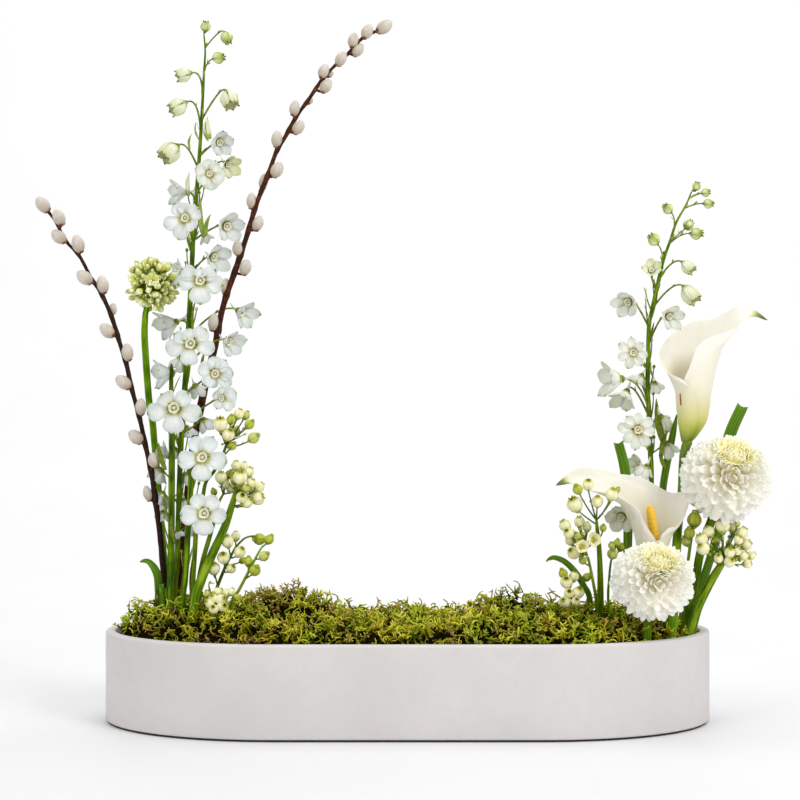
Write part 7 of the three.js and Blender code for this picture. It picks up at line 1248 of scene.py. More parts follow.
def make_delphinium(key, node, name, seed):
    rng = np.random.default_rng(seed)
    p = Piece()
    P, r = line_of(key)
    p.tube(P, r * (1 + 0.03 * np.sin(np.arange(len(P)) * 1.7)), 18, 0, ribs=6, rib=0.06, tip=0.6, tone=rng.uniform(0, 9))
    left = key != "delph_right"
    mats = FLORET_MATS if left else [SEPAL_CREAM] + FLORET_MATS[1:]
    for k, fl in D["florets"].items():
        if fl["stem"] != key:
            continue
        c, R, f, kind = np.array(fl["c"]), fl["R"] * WIDER.get(k, 1.0), unit(fl["f"]), fl["kind"]
        pet = fl.get("pet")
        if k in POSE:
            R, f, kind = POSE[k][0], unit(POSE[k][1]), POSE[k][2]
        if pet and not left:
            pet = [(a, L, w * 0.80, curl) for a, L, w, curl in pet]
        back = c - f * {"open": 0.18 * R, "cup": 0.56 * R, "bell": 0.90 * R, "bud": 1.0 * R}[kind]
        i = nearest(P, fl["a"])
        gap = np.linalg.norm(back - P[i])
        mid = back - f * 0.42 * gap
        mid[2] = min(mid[2], back[2] + 0.2 * gap) if kind in ("bell", "bud") else mid[2]
        line = bezier(P[i], mid, back, 14)
        p.tube(line, np.linspace(1.15, 0.82, 14) * (0.75 if R < 8 else 1.0), 7, 7, tone=rng.uniform(0, 9), tip=1.3)
        for q, L in ((0, 11.0 if R > 9 else 7.0), (6, 5.5), (7, 4.5)):
            way = unit(line[min(q + 3, 13)] - line[q]) + rng.normal(0, 0.3, 3) + np.array([0, 0, 0.5])
            bract(p, line[q] - np.array([0, 1.2, 0]) * (q == 0), way, L * rng.uniform(0.8, 1.2), 1.7 if q else 2.1, 7 if rng.random() < 0.5 else 9, rng)
        own = OWN.get(k)
        green = kind == "bell" or (c[2] > 545 if left else c[2] > 430)
        petal = 2 if kind == "bud" else 1 if green and k not in ("dt08",) else 0
        if own:
            o = Piece()
            floret(o, kind, c, R, f, fl["roll"], rng, 0, petal, petals=pet)
            o.build(own.replace("delphinium", "delphinium_flower").replace("_floret", ""), [SEPAL_CREAM] + mats[1:] if k == "dt10" else mats, "delphinium_petal", own)
        else:
            floret(p, kind, c, R, f, fl["roll"], rng, 1, petal, fine=R > 8, petals=pet)
    for px, py, y, R, f in BACK_FLORETS.get(key, []):
        R *= 1.22
        k = (1517 + y) / 1517
        c, f = np.array([(px - 407.5) * k, y, 318 - (py - 400) * k]), unit(f)
        i = nearest(P, c + np.array([0, 0, -6.0]))
        back = c - f * 0.56 * R
        p.tube(bezier(P[i], (P[i] + back) / 2 - np.array([0, 0, 2.0]), back, 8), np.linspace(1.0, 0.75, 8), 6, 7, tone=rng.uniform(0, 9))
        floret(p, "cup", c, R, f, rng.uniform(0, 72), rng, 1, 0, fine=False)
    for x0, y0, x1, y1, w, pale, *back in LONG_BRACTS.get(key, []):
        dep = P[nearest(P, [x0 - 407.5, 0, 718 - y0])][1] - 4.0 + sum(back)
        k = (1517 + dep) / 1517
        q0, q1 = (np.array([(u - 407.5) * k, dep + d_, 318 - (v - 400) * k]) for u, v, d_ in ((x0, y0, 0.0), (x1, y1, -2.0)))
        s_, t_ = np.linspace(0, 1, 12)[:, None], np.linspace(-1, 1, 5)[None]
        half = w / 2 * np.sin(math.pi * np.clip(s_ * 0.95 + 0.05, 0, 1) ** 0.8) ** 0.8
        S_ = unit(np.cross(q1 - q0, [0, 1.0, 0]))
        line = q0 + (q1 - q0) * s_ + S_ * (2.0 * np.sin(math.pi * s_))
        p.shell(line[:, None] + (t_ * half)[..., None] * S_ + (0.35 * half * (t_ ** 2))[..., None] * np.array([0, -1.0, 0]), 0.5, (7, 9, 2)[pale], tone=rng.uniform(0, 9))
    # bare pedicels, small green buds and narrow bracts that crowd the stem between the open florets
    lo, hi = (0.18, 0.62) if left else (0.30, 0.72)
    n = {"delph_tall": 22, "delph_short": 9, "delph_side": 7, "delph_right": 20}[key]
    for _ in range(n):
        i = int(rng.uniform(lo, hi if key in ("delph_tall", "delph_right") else 0.95) * (len(P) - 1))
        a = rng.choice([-1, 1]) * rng.uniform(0.2, 1.0)
        way = unit(np.array([math.sin(a) * 0.34, rng.uniform(-0.12, 0.25), 1.0]))
        L = rng.uniform(14, 30)
        side = P[i] + np.array([math.copysign(r[i] * 0.8, a), 0, 0])
        tipp = side + way * L
        line = bezier(side, side + way * L * 0.5 + np.array([math.copysign(1.5, a), 0, 0]), tipp, 8)
        if rng.random() < 0.55:
            p.tube(line, np.linspace(0.9, 0.6, 8), 6, 7, tone=rng.uniform(0, 9))
            g = rng.uniform(1.1, 1.9)
            p.blob(round_body(g, g * 3.0, 0.8), 6, 8, 7 if rng.random() < 0.6 else 3, tone=rng.uniform(0, 9), M=basis(way, 0, (0, 1, 0)), c=tipp)
        else:
            bract(p, side, way, L * 0.7, rng.uniform(1.8, 3.0), 7 if rng.random() < 0.5 else 9, rng)
    p.build(name, [STEM_RIBBED] + mats + [OLIVE, BRACT], "delphinium_stem", node)


# ---------------------------------------------------------------- willow
def make_willow(key, node, name, seed):
    rng = np.random.default_rng(seed)
    P, r = line_of(key, 8)
    r = np.maximum(r, 1.45)
    n = len(P)
    bump = np.ones(n)
    for ck in D["catkins"][key]:
        i = nearest(P, ck["a"])
        bump += 0.28 * np.exp(-((np.arange(n) - i) / 1.6) ** 2)
    knob = 1 + 0.05 * np.interp(np.linspace(0, 60, n * 12), np.arange(61), rng.normal(0, 1, 61)).reshape(n, 12)
    p = Piece()
    p.tube(P, r * bump, 12, 0, rough=knob, tip=0.5)
    for _ in range(int(n * 0.9)):
        i = int(rng.integers(2, n - 2))
        a = rng.uniform(0, 6.283)
        T, N, B = rings(P[i - 1:i + 2])
        out = math.cos(a) * N[1] + math.sin(a) * B[1]
        p.blob(lambda s, q: (0.5 * np.sin(math.pi * s) ** 0.8, (s - 0.5) * 0.8), 5, 6, 0, M=basis(out), c=P[i] + out * r[i] * 0.98, tone=3.0)
    for ck in D["catkins"][key]:
        c, L, w = np.array(ck["c"]), ck["l"] * 1.04, ck["w"] * 0.91
        a = math.radians(ck["ang"])
        foot0 = P[nearest(P, ck["a"])]
        d = unit(np.array([math.cos(a), 0.8 * (c[1] - foot0[1]) / L, math.sin(a)]))
        M = basis(d, rng.uniform(0, 360), (0.05, 1, 0.1))
        foot = c - d * L * 0.47
        p.tube(bezier(foot0, (foot0 + foot) / 2 - d * 1.2, foot + d * 0.8, 6), np.linspace(1.5, 1.25, 6), 8, 0)
        knot = foot0 + unit(foot - foot0) * r[nearest(P, ck["a"])] * 0.7
        p.blob(lambda s, q: (2.0 * np.sin(math.pi * s) ** 0.7 * (1 + 0.12 * np.sin(3 * q)), (s - 0.5) * 4.0), 7, 9, 2, M=basis(d), c=knot)
        body = lambda s, q, g=0.0: ((w / 2 + g) * np.sin(math.pi * np.clip(s, 0, 1) ** 0.92) ** 0.52 * (1 + 0.02 * np.sin(3 * q)), (s - 0.5) * L)
        p.blob(body, 15, 18, 1, rng.uniform(0, 30), M, c)
        for side in (0.0, 165.0):
            s = np.linspace(0.01, 0.13 if side == 0 else 0.09, 6)[:, None]
            t = np.linspace(-1, 1, 7)[None]
            ang = math.radians(side) + t * 1.0 * (1 - ((s - 0.01) / 0.17) ** 1.6)
            rad, zz = body(s + 0 * t, ang, 0.3)
            p.shell(np.stack([rad * np.cos(ang), rad * np.sin(ang), zz - 0.3], -1) @ M.T + c, 0.45, 2)
        m = 420 if L > 10 else 140
        S, A = rng.uniform(0.12, 0.99, m), rng.uniform(0, 6.283, m)
        e = 0.01
        rad, zz = body(S, A)
        rad2, zz2 = body(np.minimum(S + e, 1), A)
        base = np.stack([rad * np.cos(A), rad * np.sin(A), zz], -1)
        tang = unit(np.stack([(rad2 - rad) * np.cos(A), (rad2 - rad) * np.sin(A), zz2 - zz + 1e-6], -1))
        outw = unit(np.stack([np.cos(A), np.sin(A), 0.25 + 0 * A], -1))
        tipp = base + (tang * 0.9 + outw * 0.42) * rng.uniform(0.9, 1.7, m)[:, None]
        side = unit(np.cross(tang, outw)) * 0.11
        root = base - outw * 0.25
        V = np.stack([root + side, root - side, root + outw * 0.3 + tang * 0.2, tipp], 1)
        T4 = np.array([[0, 1, 2], [0, 3, 1], [1, 3, 2], [2, 3, 0]])
        p.add((V @ M.T + c).reshape(-1, 3), None, (np.arange(m)[:, None, None] * 4 + T4).reshape(-1, 3), 1, np.repeat(np.clip(S + 0.1, 0, 1), 4), 0.0, 5.0)
    p.build(name, [BARK_LEFT if key == "willow_left" else BARK_RIGHT, CATKIN, SCALE], "willow_bark", node)


# ---------------------------------------------------------------- globe flower
def make_globe():
    rng = np.random.default_rng(77)
    P, r = line_of("globe")
    g = D["globe"]
    c, R = np.array(g["c"]), g["R"]
    more = bezier(P[-1], (P[-1] + c) / 2 + (P[-1] - P[-4]) * 0.3, c - np.array([0, 0, 0.3 * R]), 7)[1:]
    Piece().tube(np.vstack([P, more]), np.concatenate([r, np.linspace(r[-1], 0.8 * r[-1], len(more))]), 16, 0, tip=0.8).build("globe_flower_stalk", STEM_SMOOTH, "smooth_stem", "globe_flower_stem")
    p = Piece()
    p.blob(lambda s, a: (0.5 * R * np.sin(math.pi * s) ** 0.7 * (1 + 0.08 * np.sin(5 * a)), (s - 0.5) * 1.15 * R), 10, 14, 1, c=c)
    N = 138
    for i in range(N):
        z = 1 - 2 * (i + 0.5) / N
        a = i * 2.39996
        n = np.array([math.sqrt(1 - z * z) * math.cos(a), math.sqrt(1 - z * z) * math.sin(a), z])
        n = unit(n + rng.normal(0, 0.10, 3))
        if n @ unit(np.array([0.03, -0.93, 0.36])) > 0.93:
            continue
        reach = R * (rng.uniform(0.9, 1.08) if rng.random() < 0.6 else rng.uniform(0.68, 0.88)) * (1 + 0.12 * n[2] ** 2)
        b = rng.uniform(2.8, 4.0)
        at = c + n * (reach - b)
        way = unit(n + np.array([0, 0, 0.25]) + rng.normal(0, 0.2, 3))
        p.tube(bezier(c + n * 0.25 * R, (c + at) / 2 + rng.normal(0, 1, 3), at - way * b * 0.8, 5), 0.62, 5, 2, tip=1.2)
        M = basis(way, rng.uniform(0, 90))
        k = 4 if rng.random() < 0.6 else 3
        tone = rng.uniform(0, 9)
        if rng.random() < 0.66:
            p.blob(lambda s, q: (b * np.sin(math.pi * np.clip(s, 0, 1) ** 1.35) ** 0.7 * (1 - 0.2 * np.abs(np.sin(k * q / 2)) ** 0.5), (s - 0.5) * 3.1 * b),
                   10, 16, 0, tone, M, at)
        else:
            for j in range(k):
                Q = sepal_grid("bell", b * 1.35, b * 0.66, 6, 5, rng)
                p.shell(turned(Q, 360 / k * j) @ M.T + at, 0.4, 0, tone=tone)
    # the crown: a fan of narrow pale petals, high on the front
    o = c + np.array([3.6, -0.80 * R, 0.10 * R])
    f = unit(np.array([0.0, -0.93, 0.36]))
    M = basis(f)
    for k in range(13):
        a = math.radians(4 + 172 * k / 12 + rng.uniform(-3, 3))
        way = np.array([math.cos(a), math.sin(a), 0.28])
        L = 8.6 * rng.uniform(0.9, 1.08)
        line = bezier(way * 1.5, way * L * 0.6 + np.array([0, 0, 1.6]), way * L, 7) @ M.T + o
        p.tube(line, np.array([0.3, 0.45, 0.6, 0.7, 0.78, 0.74, 0.45]), 6, 0, along=np.array([0.3, 0.5, 0.62, 0.68, 0.74, 0.78, 0.82]), tone=rng.uniform(0, 9))
    for k in range(22):
        a, q = rng.uniform(3.3, 6.1), rng.uniform(0.15, 0.75) * 9
        at = o + M @ np.array([q * math.cos(a), q * math.sin(a), rng.uniform(-0.5, 1.0)])
        g_ = rng.uniform(1.2, 1.9)
        p.blob(lambda s, u: (g_ * np.sin(math.pi * s) ** 0.75, (s - 0.5) * 3.0 * g_), 7, 9, 0, rng.uniform(0, 9), basis(unit(f + rng.normal(0, 0.35, 3))), at)
    p.build("globe_flower_buds", [GLOBE, GLOBE_CORE, STEM_TWIG], "globe_flower", "globe_flower_head")


# ---------------------------------------------------------------- chrysanthemums
MUM_POLE = {"mum_upper": (0.12, -0.70, 0.70), "mum_lower": (0.12, -0.69, 0.71)}
MUM_FRONT = {"mum_upper": (-0.02, -0.999, 0.01), "mum_lower": (0.02, -0.999, 0.01)}


def make_mum(key, node, name, seed):
    rng = np.random.default_rng(seed)
    m = D["mums"][key]
    c, R = np.array(m["c"]), m["R"] * (1.0 if key == "mum_upper" else 0.955)
    M = basis(unit(MUM_POLE[key]))
    pole = np.array([0.0, 0.0, 1.0])
    front = M.T @ unit(np.array(MUM_FRONT[key]))       # the petals part here, below the yellow middle
    up = M.T @ pole                                          # straight up, seen from the head
    e2 = unit(pole - front * front[2])
    span = math.acos(front[2])
    p = Piece()
    p.blob(lambda s, a: (0.74 * R * np.sin(math.pi * s) ** 0.6, (s - 0.55) * 1.2 * R), 16, 24, 0, 0.10, M, c)
    at = [0, 0.3, 0.45, 0.6, 0.75, 0.9, 1.0]
    p.blob(lambda s, a: (R * np.interp(s, at, [0, 0.40, 0.38, 0.30, 0.21, 0.10, 0]), R * np.interp(s, at, [0.42, 0.52, 0.66, 0.72, 0.755, 0.78, 0.785])), 22, 26, 0, 0.6, M, c)
    heads = []
    for i in range(150):                                     # the small yellow petals of the middle
        th = math.radians(22) * math.sqrt((i + 0.5) / 150)
        heads.append((math.sin(th) * math.cos(i * 2.39996), math.sin(th) * math.sin(i * 2.39996), math.cos(th), True))
    for i in range(110):                                     # upright ones close the ring round it
        th, a = math.radians(22 + 9 * math.sqrt((i + 0.5) / 110)), i * 2.39996 + 0.3
        heads.append((math.sin(th) * math.cos(a), math.sin(th) * math.sin(a), math.cos(th), 2))
    for n_out, fine in ((860, True), (470, False)):          # fine above the parting, coarse below it
        for i in range(n_out):
            z = 1 - 2 * (i + 0.5) / n_out
            w = math.sqrt(1 - z * z)
            q = np.array([w * math.cos(i * 2.39996 + 0.7), w * math.sin(i * 2.39996 + 0.7), z])
            if not math.radians(29) < math.acos(q[2]) < math.radians(150):
                continue
            phi = math.atan2(q @ e2, q @ front) / span
            near = math.degrees(math.acos(np.clip(q @ front, -1, 1)))
            if (phi > 0.35 or near < 16) == fine:
                heads.append((*q, False))
    for x, y, z, small in heads:
        n = unit(np.array([x, y, z]) + rng.normal(0, 0.018, 3))
        deg = math.degrees(math.acos(np.clip(n[2], -1, 1)))
        u = float(np.clip(math.atan2(n @ e2, n @ front) / span, 0, 1))
        e = front * math.cos(u * span) + e2 * math.sin(u * span)
        away = unit(n * (n @ front) - front + 1e-6)          # along the surface, away from the parting
        near = math.degrees(math.acos(np.clip(n @ e, -1, 1)))
        grow = float(np.clip((near - 4) / 44, 0, 1))
        high = float(np.clip(n @ up, -1, 1))
        Rt = R * (1 - 0.10 * max(0.0, high) ** 2)
        if small == 2:
            beyond = n @ e2 > math.sin(span) * 0.96
            t = unit((unit(n * n[2] - pole) if beyond else -away) + rng.normal(0, 0.1, 3))
            t = unit(t - n * (t @ n))
            lean, beta, L, W, flat, reach = 0.05, 0.36, 0.27 * R, 0.056 * R * rng.uniform(0.9, 1.1), 0.22, 0.95 * Rt
            nu, nv = 7, 3
        elif small:
            t = unit(unit(pole - n * n[2] + 1e-6) + rng.normal(0, 0.12, 3))
            lean, beta, L, W, flat, reach = 0.04, 0.42, 0.25 * R, 0.050 * R * rng.uniform(0.9, 1.1), 0.2, (0.91 + 0.04 * math.radians(deg) / 0.44 + rng.normal(0, 0.008)) * Rt
            nu, nv = 7, 3
        else:
            low = 1 - u
            t = unit(away + rng.normal(0, 0.10, 3))
            lean = 0.28 + (0.60 + 0.14 * u) * min(grow, float(np.clip((deg - 22) / 42, 0.1, 1)))
            beta = -0.30 - 0.15 * grow * low
            L = R * (0.26 + (0.14 + 0.20 * low) * grow + 0.14 * max(0.0, -high) * grow) * rng.uniform(0.92, 1.1)
            W = R * (0.054 + 0.016 * low + (0.022 + 0.046 * low) * grow) * rng.uniform(0.88, 1.12)
            flat = 0.26 - 0.04 * u
            reach = Rt * (0.945 + 0.02 * grow + rng.normal(0, 0.014 + 0.006 * low))
            nu, nv = 9, 7
        g1 = lean + beta
        across = L * (math.cos(lean) - math.cos(g1)) / beta
        rise = L * (math.sin(g1) - math.sin(lean)) / beta
        start = math.sqrt(max(reach ** 2 - across ** 2, 0.04 * R * R)) - rise
        s = np.linspace(0, 1, nu)[:, None]
        tt = np.linspace(-1, 1, nv)[None]
        g = lean + beta * s
        line = n * (start + L * (np.sin(g) - math.sin(lean)) / beta) + t * L * (math.cos(lean) - np.cos(g)) / beta
        B = -n * np.sin(g) + t * np.cos(g)                   # into the head for petals that lie back
        side = unit(np.cross(n, t))
        half = W * (0.6 + 0.4 * np.minimum(1, s * 1.4) ** 0.8) * (1 - np.minimum(s, 0.985) ** 3.4) ** 0.5
        hollow = half * flat * tt ** 2
        P = line[:, None] + half[..., None] * tt[..., None] * side - hollow[..., None] * B[:, None]
        yellow = np.clip(1.22 - deg / 32.0, 0, 1) ** 0.9 * rng.uniform(0.8, 1.1) + 0.10 * u
        p.shell(P @ M.T + c, 0.4, 0, tone=min(1.0, yellow), across=np.repeat(np.linspace(-1, 1, nv)[None], nu, 0))
    f = unit(m["f"])
    back = c - f * R * 0.62
    for k in range(16):
        a = 2 * math.pi * k / 16
        way = basis(f) @ np.array([math.cos(a), math.sin(a), 0.25])
        bract(p, back + f * 1.5, way, 11 * rng.uniform(0.85, 1.1), 5.0, 1, rng)
    p.build(name, [MUM, STEM_SMOOTH], "chrysanthemum_petal", node)


# ---------------------------------------------------------------- calla lilies
def make_calla(key, seed, tips):
    rng = np.random.default_rng(seed)
    net = np.array(D[key]["net"])
    along = np.stack([spline(row, 12) for row in net])
    G = np.stack([spline(along[:, i], 6) for i in range(along.shape[1])], 1)   # across, along
    nu, nv = G.shape[:2]
    v = np.linspace(0, 1, nv)
    tip, reach, pw = tips
    tone = np.clip(1 - np.linalg.norm(G - np.array(tip), axis=-1) / reach, 0, 1) ** pw
    thick = SPATHE_T * (1 - 0.55 * v ** 3)[None] * np.ones((nu, 1))
    thick[0] = thick[-1] = 0.35
    thick[1] = thick[-2] = 0.7
    thick[:, -1] = 0.3
    thick[:, -2] = 0.5
    p = Piece()
    al = np.repeat(v[None], nu, 0)
    ac = np.repeat(np.linspace(-1, 1, nu)[:, None], nv, 1)
    p.shell(G, thick, 0, al, ac, tone)
    if key == "calla_upper":
        flat_g = G.reshape(-1, 3)
        kk = (1517 + flat_g[:, 1]) / 1517
        px, py = 407.5 + flat_g[:, 0] / kk, 400 + (318 - flat_g[:, 2]) / kk
        line = []
        for y in np.linspace(393.4, 405.4, 9):
            near = np.hypot(px - 680.2 - 0.05 * (y - 399), py - y) < 1.6
            q = flat_g[near][np.argmin(flat_g[near, 1])]
            k = (1517 + q[1]) / 1517
            line.append([(680.2 + 0.05 * (y - 399) - 407.5) * k, q[1] - 0.55, 318 - (y - 400) * k])
        p.tube(np.array(line), np.array([0.35, 0.62, 0.7, 0.72, 0.72, 0.72, 0.7, 0.62, 0.35]), 8, 1)
    low = G[:, 0].mean(0)
    wide = np.linalg.norm(G[:, 0] - low, axis=1).mean()
    inside = G[:, min(8, nv - 1)].mean(0)
    P, r = line_of(key)
    far = np.linalg.norm(P - low, axis=1)
    i = int(np.argmin(np.abs(far - 20) + 100 * (P[:, 2] > low[2])))
    line = bezier(P[i], low - unit(inside - low) * 9.0, low, 12)
    line = np.vstack([line, low + (inside - low) * 0.45])
    p.tube(line, np.concatenate([r[i] + 0.15 + (wide + 0.5 - r[i]) * np.linspace(0, 1, 12) ** 1.6, [wide * 0.9]]), 20, 0, along=np.concatenate([np.linspace(0, 0.02, 12), [0.06]]), tip=0.6)
    p.build(key + "_bract", [SPATHE, MARK], "calla_spathe", key + "_spathe")
    s = np.array(D[key]["spadix"])
    L = spline(s, 10)
    q = Piece()
    n = len(L)
    grain = 1 + 0.035 * np.sin(np.arange(n)[:, None] * 2.1 + np.arange(22)[None] * (2 * math.pi * 7 / 22)) * 1.0
    P = np.vstack([L[:, :3], L[-1, :3] + unit(L[-1, :3] - L[-4, :3]) * 1.4])
    r = np.concatenate([L[:, 3], [L[-1, 3] * 0.45]])
    q.tube(P, r, 22, 0, rough=np.vstack([grain, grain[-1:]]))
    q.build(key + "_spike", SPADIX, "calla_spadix", key + "_spadix")


def make_stem_piece(key, node, name, mat, slot, sides=18, ribs=0, rib=0.0):
    P, r = line_of(key)
    Piece().tube(P, r, sides, 0, ribs=ribs, rib=rib).build(name, mat, slot, node)


# ---------------------------------------------------------------- strap leaves
def make_leaf_piece(key, node, name, seed):
    rng = np.random.default_rng(seed)
    g = D["leaves"][key]
    L = spline(np.column_stack([g["p"], g["w"]]), 7)
    P, w = L[:, :3], np.maximum(L[:, 3], 0.15)
    T = unit(np.gradient(P, axis=0))
    F = np.array(g["face"], float)
    F = unit(F - T * (T @ F)[:, None])
    S = np.cross(T, F)
    nv = 17
    t = np.linspace(-1, 1, nv)[None]
    cup = g["cup"]
    ribs = 0.12 * np.cos(t * math.pi * 6.0)
    G = P[:, None] + (w[:, None] * t)[..., None] * S[:, None] + (w[:, None] * cup * (t ** 2 - 0.3) + ribs)[..., None] * -F[:, None]
    if g["cut"]:
        n = len(P)
        last = np.clip((np.arange(n) - (n - 5)) / 4, 0, 1)[:, None]
        dip = (1 - np.abs(t) ** 1.6) * 0.42 * w[:, None] * last
        G = G - dip[..., None] * T[:, None]
    thick = 0.95 * (1 - 0.5 * np.abs(t) ** 3) * np.ones((len(P), 1))
    al = np.repeat(np.linspace(0, 1, len(P))[:, None], nv, 1)
    Piece().shell(G, thick, 0, al, np.repeat(t, len(P), 0), rng.uniform(0, 9)).build(name, LEAF, "leaf_blade", node)


# ---------------------------------------------------------------- sprays of buds
def make_spray(key, node, name, seed):
    rng = np.random.default_rng(seed)
    p = Piece()
    P, r = line_of(key)
    p.tube(P, r, 14, 0, ribs=5, rib=0.04, tip=0.7, tone=rng.uniform(0, 9))
    mats = (1, 2, 3, 0, 4)
    pts = []
    for b in D["buds"].get(key, []):
        c, a, d = np.array(b["c"]), np.array(b["a"]), b["d"]
        i = nearest(P, a)
        way = unit(unit(c - P[i]) + np.array([0, 0, 0.35]) + rng.normal(0, 0.15, 3))
        foot = c - way * d * 0.5
        gap = np.linalg.norm(foot - P[i])
        if gap > 1.5:
            mid = (P[i] + foot) / 2 + np.array([0, 0, -0.10 * gap]) + rng.normal(0, 0.04 * gap, 3)
            line = bezier(P[i], mid, foot, 9)
            p.tube(line, np.linspace(0.95, 0.68, 9), 7, 5, tip=1.3, tone=rng.uniform(0, 9))
            if gap > 12:
                for q in (2, 5):
                    bract(p, line[q], unit(line[q + 1] - line[q]) + rng.normal(0, 0.4, 3), rng.uniform(2.5, 4.5), 1.2, 5, rng)
        spray_bud(p, b["k"], c, d, way, rng, mats)
        pts.append(c)
    if key in ("spray_b", "spray_f", "spray_i", "spray_e", "spray_a"):
        mid = np.mean(pts, axis=0)
        start = P[-1]
        for k in range({"spray_f": 70, "spray_b": 60, "spray_i": 40}.get(key, 22)):
            to = pts[int(rng.integers(len(pts)))]
            at = start + (to - start) * rng.uniform(0.35, 0.85) + rng.normal(0, 2.6, 3)
            at[1] = max(at[1], mid[1] - 6)
            line = bezier(start + rng.normal(0, 0.8, 3), (start + at) / 2 + rng.normal(0, 1.5, 3), at, 6)
            p.tube(line, np.linspace(0.62, 0.4, 6), 5, 5, tone=rng.uniform(0, 9))
            b = rng.uniform(0.9, 1.9)
            p.blob(lambda s, q: (b * np.sin(math.pi * s) ** 0.75, (s - 0.5) * 2.7 * b), 6, 8, 2 if rng.random() < 0.7 else 3, rng.uniform(0, 9),
                   basis(unit(at - start + rng.normal(0, 3, 3))), at)
    if key == "spray_j":
        for k, fl in D["florets"].items():
            if fl["stem"] == key:
                own = OWN[k]
                c, R, f = np.array(fl["c"]), POSE[k][0], unit(POSE[k][1])
                back = c - f * 0.56 * R
                i = nearest(P, fl["a"])
                p.tube(bezier(P[i], back - f * 0.4 * np.linalg.norm(back - P[i]), back, 9), np.linspace(0.95, 0.7, 9), 7, 5)
                o = Piece()
                floret(o, fl["kind"], c, R, f, fl["roll"], rng, 0, 0)
                o.build(own.replace("delphinium", "delphinium_flower").replace("_floret", ""), [SEPAL_CREAM] + FLORET_MATS[1:], "delphinium_petal", own)
    p.build(name, [STEM_TWIG, BUD_WHITE, BUD_GREEN, BUD_TOP, YELLOW, TWIG_DARK], "bud_spray", node)


# ---------------------------------------------------------------- everything
nodes = frame["nodes"]
for n_, m_ in (("base_pad", RUBBER), ("foam_left", FOAM), ("foam_middle", FOAM), ("foam_right", FOAM)):
    nodes[n_].data.materials.clear()
    nodes[n_].data.materials.append(m_)

make_trough()
make_moss_bed()
make_willow("willow_left", "willow_branch_left", "willow_left_twig", 11)
make_willow("willow_right", "willow_branch_right", "willow_right_twig", 12)
make_delphinium("delph_tall", "delphinium_tall_stem", "delphinium_tall_stalk", 21)
make_delphinium("delph_short", "delphinium_short_stem", "delphinium_short_stalk", 22)
make_delphinium("delph_side", "delphinium_side_stem", "delphinium_side_stalk", 23)
make_delphinium("delph_right", "delphinium_right_stem", "delphinium_right_stalk", 24)
make_globe()
make_stem_piece("calla_upper", "calla_upper_stem", "calla_upper_stalk", STEM_SMOOTH, "smooth_stem", 20)
make_stem_piece("calla_lower", "calla_lower_stem", "calla_lower_stalk", STEM_SMOOTH, "smooth_stem", 20)
make_calla("calla_upper", 31, ((361.0, 4.0, 398.4), 25.0, 1.0))
make_calla("calla_lower", 32, ((144.2, -42.0, 234.9), 20.0, 1.0))
make_stem_piece("mum_upper", "chrysanthemum_upper_stem", "chrysanthemum_upper_stalk", STEM_RIBBED, "ribbed_stem", 20, 7, 0.05)
make_stem_piece("mum_lower", "chrysanthemum_lower_stem", "chrysanthemum_lower_stalk", STEM_RIBBED, "ribbed_stem", 20, 7, 0.05)
make_mum("mum_upper", "chrysanthemum_upper_head", "chrysanthemum_upper_petals", 51)
make_mum("mum_lower", "chrysanthemum_lower_head", "chrysanthemum_lower_petals", 52)
for i_, (k_, n_) in enumerate(LEAF_NODES):
    make_leaf_piece(k_, n_, n_ + "_blade", 60 + i_)
for i_, (k_, n_) in enumerate(SPRAY_NODES):
    make_spray(k_, n_, n_ + "_stalk", 80 + i_)


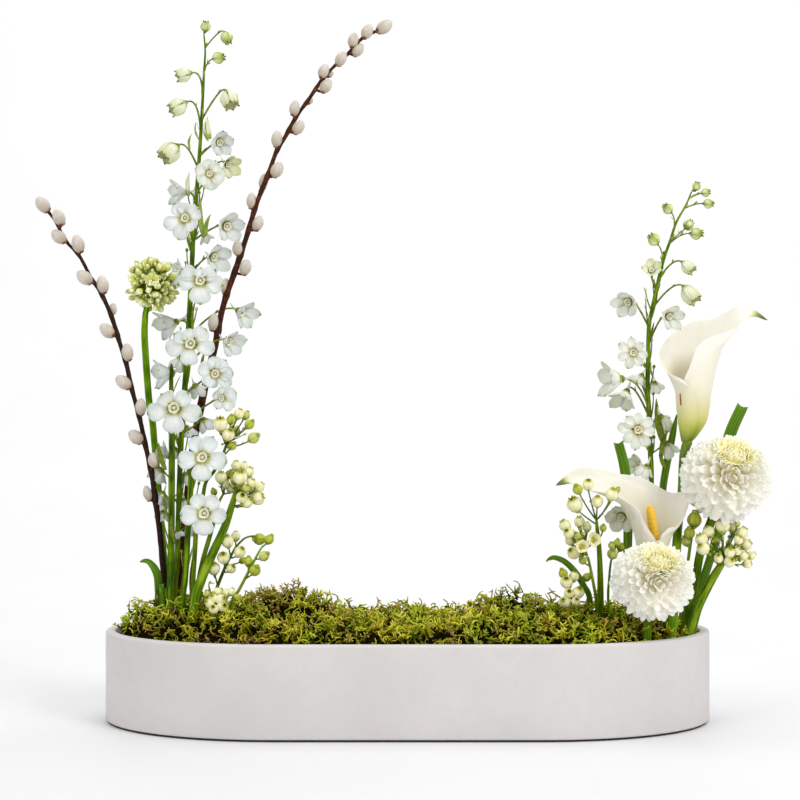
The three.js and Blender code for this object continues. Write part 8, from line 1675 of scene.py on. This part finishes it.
# ---------------------------------------------------------------- stage, light, camera
def make_stage():
    prof = [(-9.0, 0.0), (1.3, 0.0)] + [(1.3 + 1.5 * math.sin(a), 1.5 - 1.5 * math.cos(a)) for a in np.linspace(0.05, math.pi / 2, 24)] + [(2.8, 4.6)]
    x = [-9.0, 9.0]
    v = [(xx, y, z) for y, z in prof for xx in x]
    q = [(2 * i, 2 * i + 1, 2 * i + 3, 2 * i + 2) for i in range(len(prof) - 1)]
    me = bpy.data.meshes.new("studio_sweep")
    me.from_pydata(v, [], q)
    me.shade_smooth()
    me.materials.append(make_floor())
    o = bpy.data.objects.new("studio_sweep", me)
    bpy.context.scene.collection.objects.link(o)


def soft_light(name, at, to, w, h, power, colour=(1, 1, 1)):
    d = bpy.data.lights.new(name, "AREA")
    d.shape = "RECTANGLE"
    d.size, d.size_y = w, h
    d.energy = power
    d.color = colour
    o = bpy.data.objects.new(name, d)
    bpy.context.scene.collection.objects.link(o)
    z = unit(np.array(at, float) - np.array(to, float))
    x = unit(np.cross([0, 0, 1.0], z))
    y = np.cross(z, x)
    from mathutils import Matrix
    o.matrix_world = Matrix([(x[0], y[0], z[0], at[0]), (x[1], y[1], z[1], at[1]), (x[2], y[2], z[2], at[2]), (0, 0, 0, 1)])


make_stage()
soft_light("key_light", (1.45, -1.5, 1.5), (0, 0, 0.3), 0.9, 0.9, 22)
soft_light("fill_light", (-1.8, -1.4, 1.2), (0, 0, 0.3), 1.2, 1.2, 11)
soft_light("top_light", (0.1, 0.0, 2.5), (0, 0, 0.2), 1.6, 1.2, 18)
soft_light("wall_light", (0.0, 0.9, 2.3), (0, 2.8, 1.0), 4.4, 1.0, 35)
world = bpy.data.worlds.new("studio_air")
world.use_nodes = True
world.node_tree.nodes["Background"].inputs[0].default_value = (1.0, 1.0, 1.0, 1.0)
world.node_tree.nodes["Background"].inputs[1].default_value = 0.56
bpy.context.scene.world = world
bpy.context.scene.view_settings.view_transform = "Standard"
bpy.context.scene.view_settings.look = "None"

cam_data = bpy.data.cameras.new("camera")
cam_data.lens = 68.265
cam_data.sensor_width = 36.0
cam = bpy.data.objects.new("camera", cam_data)
cam.location = (-0.0075, -1.517, 0.318)
cam.rotation_euler = (math.pi / 2, 0.0, 0.0)
cam_data.clip_start, cam_data.clip_end = 0.05, 50.0
bpy.context.scene.collection.objects.link(cam)
bpy.context.scene.camera = cam
